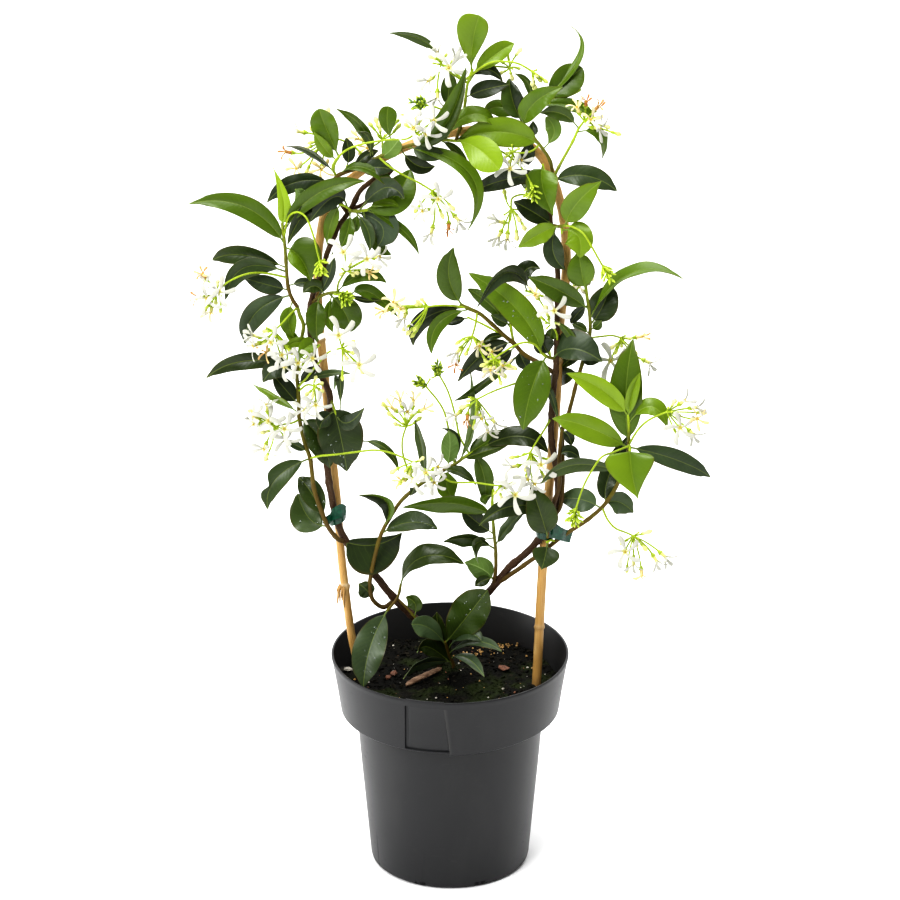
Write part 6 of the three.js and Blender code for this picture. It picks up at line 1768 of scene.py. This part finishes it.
def on_mix(x, z):
    """The point of the mix that is drawn at x, z on the sheet."""
    sheet = np.array([x, 0.0, z])
    sight = sheet - LAYOUT_EYE
    level = SOIL["level"]
    for _ in range(4):
        point = LAYOUT_EYE + sight * (level - LAYOUT_EYE[2]) / sight[2]
        level = float(mix_level(point[0], point[1]))
    return np.array([point[0], point[1], level])


def build_mix(settings):
    """The potting mix that fills the pot, its crumbs, feed granules and chips."""
    draw = random.Random(7)
    shape = Shape()
    angles = around(SOIL["sides"])
    rows = [level_ring(angles, radius, height) for radius, height in SOIL_WALL]
    for step in range(SOIL["rings"]):
        radius = max(SOIL["radius"] * (1 - step / SOIL["rings"]), 0.6)
        x, y = np.cos(angles) * radius, np.sin(angles) * radius
        lumps = np.array([draw.uniform(-0.9, 0.9) for _ in angles]) * (1 if step else 0.3)
        rows.append(level_ring(angles, radius, mix_level(x, y) + lumps - (0 if step else 0.8)))
    shape.loft(np.array(rows), 0)
    finishes = [
        mix_finish(settings),
        grit_finish("pumice", (0.56, 0.53, 0.47), (0.30, 0.27, 0.22)),
        grit_finish("feed_granule", (0.52, 0.33, 0.13), (0.30, 0.17, 0.06), 0.4),
        grit_finish("reddish_chip", (0.20, 0.085, 0.045), (0.08, 0.034, 0.02)),
    ]
    for _ in range(settings.crumbs):
        spot = any_spot(draw, SOIL["radius"] - 1.5)
        size = settings.crumb_size / MM * (0.35 + 1.1 * draw.random() ** 2.4)
        dry = min(1, max(0.0, draw.gauss(0.05, 0.35)))
        stretch = (draw.uniform(0.8, 2.4), draw.uniform(0.7, 1.1), draw.uniform(0.5, 0.9))
        add_crumb(shape, spot + [0, 0, size * 0.25], size, draw, 0, (dry, 0, 0), stretch)
    for _ in range(SMALL_BITS):
        spot = any_spot(draw, 89)
        size = 0.4 + 0.9 * draw.random() ** 3
        add_crumb(shape, spot + [0, 0, size * 0.7], size, draw, draw.choice((1, 1, 2, 3)))
    (x, z), (wide, high) = FEED["from"], FEED["across"]
    for _ in range(FEED["count"]):
        across = draw.uniform(0, 1)
        spot = on_mix(x + wide * across + draw.gauss(0, 2.5), z + high * across + draw.gauss(0, 2.6))
        size = draw.uniform(0.7, 1.35)
        add_crumb(shape, spot + [0, 0, size * 0.8], size, draw, 2, stretch=(1, 1, 0.95))
    for x, z, size, finish in LARGE_BITS:
        add_crumb(shape, on_mix(x, z) + [0, 0, size * 0.4], size, draw, finish, stretch=(1.5, 1, 0.5))
    keep(shape.make("potting_mix_surface", finishes, 30.0), "potting_mix", "potting_mix")
    build_chip(draw)


def build_chip(draw):
    """The larger bark chip that lies on the mix."""
    shape = Shape()
    start, end = on_mix(-37, 157), on_mix(-7, 172)
    start, end = start + [0, 0, 1.5], end + [0, 0, 2.2]
    t = np.linspace(0, 1, 15)
    line = start + (end - start) * t[:, None]
    line[:, 2] += 0.8 * np.sin(t * pi)
    wide = np.interp(t, [0, 0.06, 0.3, 0.7, 0.94, 1], [1.2, 2.6, 3.4, 3.0, 2.4, 0.8])
    axis = unit(end - start)
    across = unit(np.cross([0, 0, 1], axis))
    upright = np.cross(axis, across)
    angles = around(14)
    rough = np.array([[draw.uniform(0.84, 1.12) for _ in angles] for _ in t])
    x = np.cos(angles) * wide[:, None] * rough
    z = np.sin(angles) * np.minimum(wide, 1.9)[:, None] * rough
    rings = line[:, None] + x[..., None] * across + z[..., None] * upright
    shape.loft(rings, 0, triple(rings, 0, 0, (t * 30)[:, None]))
    keep(shape.make("bark_chip_piece", [bark_finish()], 40.0), "bark", "bark_chip")


# ---- cane and ties

FRAYED_FIBRES = 12
# Heights of the cane's nodes on its left leg, going up, and on its right leg, going down.
LEFT_NODES = (246, 364, 470, 596)
RIGHT_NODES = (608, 452, 330, 214)


def build_cane(settings):
    """The bent cane hoop with its nodes."""
    draw = random.Random(11)
    shape = Shape()
    line = smooth_line(HOOP_PATH, 2.2)
    run = run_along(line)
    radius = settings.radius / MM
    taper = np.interp(run, [0, run[-1]], [0.88, 1.04])
    peak = int(np.argmax(line[:, 2]))
    nodes = [float(np.interp(z, line[:peak, 2], run[:peak])) for z in LEFT_NODES]
    nodes += [float(np.interp(-z, -line[peak:, 2], run[peak:])) for z in RIGHT_NODES]
    ridge = sum(hump(run - at, 1.3) for at in nodes)
    dip = sum(hump(run - at - 3.4, 1.6) for at in nodes)
    knob = hump(run - nodes[0], 2.4)
    radii = radius * taper * (1 + 0.24 * ridge - 0.07 * dip + 0.22 * knob)
    rings, place = tube_rings(line, radii, 20, 0.012, draw)
    place[..., 1] = (ridge * 0.9)[:, None]
    upward = np.where(run < run[peak], 1.0, -1.0)
    pale = sum(hump((run - at) * upward - 2.6, 0.7) for at in nodes)
    worn = np.clip(1 - (line[:, 2] - 158) / 12, 0, 1)
    shape.loft(rings, 0, place, triple(rings, worn[:, None], pale[:, None]))
    at = int(np.argmin(abs(run - nodes[0])))
    for fibre in range(FRAYED_FIBRES):
        angle = radians(-190 + 110 * fibre / FRAYED_FIBRES) + draw.uniform(-0.2, 0.2)
        out = np.array([cos(angle), sin(angle), 0])
        hang = draw.uniform(5, 20)
        t = np.linspace(0, 1, 7)[:, None]
        flare = draw.uniform(0.4, 2.4)
        strand = line[at] + out * (radius * (1.1 + flare * t * (1 - 0.5 * t))) - [0, 0, hang] * t
        worn = (0.45 * draw.random(), 0, 0)
        add_stem(shape, strand + [0, 0, 1.0], (0.85, 0.30), 5, 0, worn)
    keep(shape.make("bent_cane", [cane_finish(settings)]), "cane", "cane_hoop")


# Where a tie sits, its half sizes across and deep, its height, and how far it slants.
TIES = {
    "tie_left": {"centre": (-93, 314, -1.6), "half": (6.4, 10.6), "height": 6.5, "tilt": 0.42},
    "tie_right": {"centre": (78.5, 300, -4.4), "half": (6.6, 9.4), "height": 8.0, "tilt": -0.25},
}

# The free ends of the ties: places on a strip's two edges by turns, from its root to its tip.
TIE_ENDS = {
    "tie_left": [
        "-98,320,-12 -99,309,-12 -94,323,-14 -97,310,-15 -89,325,-14.5 -90,313,-16 -86,323,-13 "
        "-86.5,315,-13",
        "-99,316,-12 -98,309,-12 -103,313,-14 -101,306,-15 -105.5,308,-14 -104.5,306.6,-14",
    ],
    "tie_right": [
        "79,309,-13 79,294,-13 85,309,-16 85,294,-16 92,304,-18 91,292,-17.5 98,301,-12 96,290.5,-12 "
        "102,299.5,-9 99.5,290,-9.5",
    ],
}
# Thickness of a tie's free end, and how many rings it has for each pair of places.
STRIP = {"thickness": 0.35, "steps": 6}


def add_strip(shape, edges):
    """A thin strip between two edges, whose places are given by turns."""
    edges = np.array(places_of(edges)).reshape(-1, 2, 3)
    first, second = (smooth_line(edges[:, side], 1.2) for side in (0, 1))
    t = np.linspace(0, 1, STRIP["steps"] * len(edges))
    first, second = (along_line(t, np.linspace(0, 1, len(edge)), edge) for edge in (first, second))
    along = np.gradient((first + second) / 2, axis=0)
    normal = np.cross(along, second - first)
    normal *= STRIP["thickness"] / 2 / np.linalg.norm(normal, axis=1)[:, None]
    bulge = normal * 2.2
    middle = (first + second) / 2
    rings = np.stack([
        first + normal, middle + bulge, second + normal, second - normal, middle + bulge - 2 * normal,
        first - normal,
    ], 1)
    shape.loft(rings, 0)


def build_ties(settings):
    """The two plastic ties, each a strip wrapped round cane and stem with its free ends."""
    finish = tie_finish(settings)
    for name, tie in TIES.items():
        draw = random.Random(name)
        shape = Shape()
        centre = on_sheet(tie["centre"])
        angles = around(60)
        outward = level_ring(angles, 1, 0)
        for lift, grow, share_high in ((0.6, 0.0, 0.5), (-0.8, 0.5, 0.36)):
            x = np.cos(angles) * (tie["half"][0] + grow)
            y = np.sin(angles) * (tie["half"][1] + grow)
            z = lift + x * (tie["tilt"] + draw.uniform(-0.1, 0.1)) + 0.5 * np.sin(3 * angles)
            ring = np.stack([x, y, z], -1) + centre
            high = tie["height"] * share_high
            profile = [(-0.2, -1), (0.2, -1), (0.45, 0), (0.2, 1), (-0.2, 1), (0.05, 0)]
            rings = np.stack([ring + outward * a + [0, 0, b * high] for a, b in profile], 1)
            shape.loft(rings, 0, endless=True)
        for edges in TIE_ENDS[name]:
            add_strip(shape, edges)
        keep(shape.make(name + "_strip", [finish]), "tie_plastic", name)


# ---- plant


def plant_finishes():
    """The finishes that every leafy or flowering piece uses, made once."""
    leaf = bpy.context.scene.jasmine_leaf
    flower = bpy.context.scene.jasmine_flower
    made = {
        "leaf_blade": lambda: blade_finish(leaf), "stem": stem_finish,
        "petal": lambda: petal_finish(flower), "bud": lambda: bud_finish(flower),
        "water_drop": drop_finish,
    }
    return [bpy.data.materials.get(name) or make() for name, make in made.items()]


def carrier_places():
    """Places that shoots and flower stalks may start from, by the name of their node."""
    return {
        name: root_places([smooth_line(path) for _, _, path in part["stems"]])
        for name, part in PARTS.items()
    }


def build_woody_stem():
    """The forked woody stem."""
    draw = random.Random(3)
    shape = Shape()
    for start, end, path in PARTS["woody_stem"]["stems"]:
        line = smooth_line(path, 1.8)
        run = run_along(line)
        radii = np.linspace(start, end, len(line))
        for at in np.arange(14 + draw.uniform(0, 20), run[-1], 31):
            radii = radii + 0.5 * hump(run - at - draw.uniform(-6, 6), 2.2)
        kind = triple(line, np.linspace(0.05, 0.26, len(line)))
        add_stem(shape, line, radii, 14, STEM, kind, 0.05, draw)
    finishes = plant_finishes()
    keep(shape.make("woody_stems", finishes), "stem_bark", "woody_stem")


def build_shoots():
    """Every leafy shoot as a piece of its own."""
    leaf_settings = bpy.context.scene.jasmine_leaf
    flower_settings = bpy.context.scene.jasmine_flower
    carriers = carrier_places()
    finishes = plant_finishes()
    for name, shoot in PARTS.items():
        if not shoot["leaves"]:
            continue
        draw = random.Random(name)
        shape = Shape()
        lines = []
        for index, (start, end, path) in enumerate(shoot["stems"]):
            if index == 0 and "from" in shoot:
                path = [nearest(carriers[shoot["from"]], *path[0][:2]), *path[1:]]
            line = smooth_line(path)
            lines.append(line)
            run = run_along(line)
            radii = np.linspace(start, end, len(line))
            for at in np.arange(draw.uniform(8, 20), run[-1], 24):
                radii = radii + 0.28 * hump(run - at, 1.8)
            green = (2.15 - np.linspace(start, end, len(line))) / 1.25
            green = np.clip(green, shoot.get("youth", 0.42), None).clip(None, shoot.get("oldest", 1.0))
            kind = triple(line, np.clip(green + np.linspace(-0.1, 0.15, len(line)), 0, 1))
            add_stem(shape, line, radii, 9, STEM, kind, 0.03, draw)
        places = root_places(lines)
        taken = []
        for leaf in shoot["leaves"]:
            root = free_place(places, *leaf[0][:2], taken)
            add_leaf(shape, root, leaf, BLADE, leaf_settings)
        for head in shoot["heads"]:
            start = free_place(places, *head["stalk"][0][:2], taken)
            add_head(shape, head, start, draw, flower_settings)
        keep(shape.make(name.replace("_", "-") + "_leafy", finishes), "foliage", name)


def build_flowers():
    """Every flower head as a piece of its own."""
    settings = bpy.context.scene.jasmine_flower
    carriers = carrier_places()
    finishes = plant_finishes()
    for name, part in PARTS.items():
        if part["stems"]:
            continue
        draw = random.Random(name)
        shape = Shape()
        head = part["heads"][0]
        start = nearest(carriers[part["from"]], *head["stalk"][0][:2])
        add_head(shape, head, start, draw, settings)
        keep(shape.make(name + "_head", finishes), "flower", name)


# ---- stage

FLOOR_REACH = 14.0
ROOM_LIGHT = 0.30
# The lens in millimetres, how far the camera sees in metres, and its degrees below level.
CAMERA = {"lens": 163.0, "sensor": 36.0, "sees": 60.0, "down": 22.57}
# Each light's place and target, its size and its power beside the key light's.
LIGHTS = {
    "key": ((-1.25, -1.9, 2.4), (0, 0, 0.35), 1.3, 1.0),
    "top": ((0.1, 0.3, 2.9), (0, 0, 0.3), 2.6, 1.5),
    "left": ((-2.3, 0.2, 0.9), (0, 0, 0.35), 1.8, 0.40),
    "right": ((2.3, 0.2, 0.9), (0, 0, 0.35), 1.8, 0.05),
    "back": ((0, 2.8, 1.2), (0, 0, 0.35), 2.4, 0.35),
}


def aim(thing, target):
    """Turns a light or camera towards a point."""
    way = np.array(target) - np.array(thing.location)
    thing.rotation_euler = (atan2(hypot(way[0], way[1]), -way[2]), 0, atan2(way[1], way[0]) - pi / 2)


def add_light(name, place, target, size, power):
    """A square soft light."""
    lamp = bpy.data.lights.new(name, "AREA")
    lamp.shape, lamp.size, lamp.energy = "SQUARE", size, power
    thing = bpy.data.objects.new(name, lamp)
    thing.location = place
    aim(thing, target)
    bpy.context.scene.collection.objects.link(thing)


def build_stage(settings):
    """Pale floor, soft lights and the camera."""
    scene = bpy.context.scene
    mesh = bpy.data.meshes.new("floor")
    corners = [(-1, -1), (1, -1), (1, 1), (-1, 1)]
    mesh.from_pydata([(x * FLOOR_REACH, y * FLOOR_REACH, 0) for x, y in corners], [], [(0, 1, 2, 3)])
    floor = bpy.data.objects.new("floor", mesh)
    scene.collection.objects.link(floor)
    mesh.materials.append(Finish("floor", Base_Color=settings.floor, Roughness=0.9).material)

    world = bpy.data.worlds.new("studio")
    world.use_nodes = True
    light = world.node_tree.nodes["Background"].inputs
    light["Color"].default_value, light["Strength"].default_value = (1, 1, 1, 1), ROOM_LIGHT
    scene.world = world
    scene.view_settings.view_transform = "Standard"
    scene.view_settings.look = "High Contrast"

    for name, (place, target, size, power) in LIGHTS.items():
        add_light(name, place, target, size, settings.key * power)

    camera = bpy.data.objects.new("camera", bpy.data.cameras.new("camera"))
    camera.data.lens, camera.data.sensor_width = CAMERA["lens"], CAMERA["sensor"]
    camera.data.clip_end = CAMERA["sees"]
    camera.location = LAYOUT_EYE * MM
    camera.rotation_euler = (radians(90 - CAMERA["down"]), 0, 0)
    scene.collection.objects.link(camera)
    scene.camera = camera


# ---- operators and panel


class JASMINE_OT_pot(bpy.types.Operator):
    """Build the nursery pot"""

    bl_idname = "jasmine.pot"
    bl_label = "Pot"

    def execute(self, context):
        build_pot(context.scene.jasmine_pot)
        return {"FINISHED"}


class JASMINE_OT_mix(bpy.types.Operator):
    """Fill the pot with potting mix and lay the bark chip on it"""

    bl_idname = "jasmine.mix"
    bl_label = "Potting mix"

    def execute(self, context):
        build_mix(context.scene.jasmine_soil)
        return {"FINISHED"}


class JASMINE_OT_cane(bpy.types.Operator):
    """Bend the cane hoop"""

    bl_idname = "jasmine.cane"
    bl_label = "Cane hoop"

    def execute(self, context):
        build_cane(context.scene.jasmine_cane)
        return {"FINISHED"}


class JASMINE_OT_ties(bpy.types.Operator):
    """Wrap the ties round cane and stem"""

    bl_idname = "jasmine.ties"
    bl_label = "Ties"

    def execute(self, context):
        build_ties(context.scene.jasmine_cane)
        return {"FINISHED"}


class JASMINE_OT_woody_stem(bpy.types.Operator):
    """Grow the forked woody stem"""

    bl_idname = "jasmine.woody_stem"
    bl_label = "Woody stem"

    def execute(self, context):
        build_woody_stem()
        return {"FINISHED"}


class JASMINE_OT_shoots(bpy.types.Operator):
    """Grow the leafy shoots"""

    bl_idname = "jasmine.shoots"
    bl_label = "Leafy shoots"

    def execute(self, context):
        build_shoots()
        return {"FINISHED"}


class JASMINE_OT_flowers(bpy.types.Operator):
    """Set out the flower heads"""

    bl_idname = "jasmine.flowers"
    bl_label = "Flower heads"

    def execute(self, context):
        build_flowers()
        return {"FINISHED"}


class JASMINE_OT_stage(bpy.types.Operator):
    """Lay the floor and set up lights and camera"""

    bl_idname = "jasmine.stage"
    bl_label = "Stage"

    def execute(self, context):
        build_stage(context.scene.jasmine_stage)
        return {"FINISHED"}


STEPS = [
    JASMINE_OT_stage, JASMINE_OT_pot, JASMINE_OT_mix, JASMINE_OT_cane, JASMINE_OT_woody_stem,
    JASMINE_OT_ties, JASMINE_OT_shoots, JASMINE_OT_flowers,
]


class JASMINE_PT_panel(bpy.types.Panel):
    """Lists the steps that build the plant"""

    bl_label = "Potted star jasmine"
    bl_space_type = "VIEW_3D"
    bl_region_type = "UI"
    bl_category = "Jasmine"

    def draw(self, context):
        for step in STEPS:
            self.layout.operator(step.bl_idname)
        for name, group in SETTINGS.items():
            box = self.layout.box()
            for field in group.__annotations__:
                box.prop(getattr(context.scene, name), field)


CLASSES = [*SETTINGS.values(), *STEPS, JASMINE_PT_panel]


def register():
    for kind in CLASSES:
        bpy.utils.register_class(kind)
    for name, group in SETTINGS.items():
        setattr(bpy.types.Scene, name, bpy.props.PointerProperty(type=group))


def unregister():
    for name in SETTINGS:
        delattr(bpy.types.Scene, name)
    for kind in reversed(CLASSES):
        bpy.utils.unregister_class(kind)


def main():
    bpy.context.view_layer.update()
    register()
    for step in STEPS:
        family, action = step.bl_idname.split(".")
        getattr(getattr(bpy.ops, family), action)()


if __name__ == "__main__":
    main()
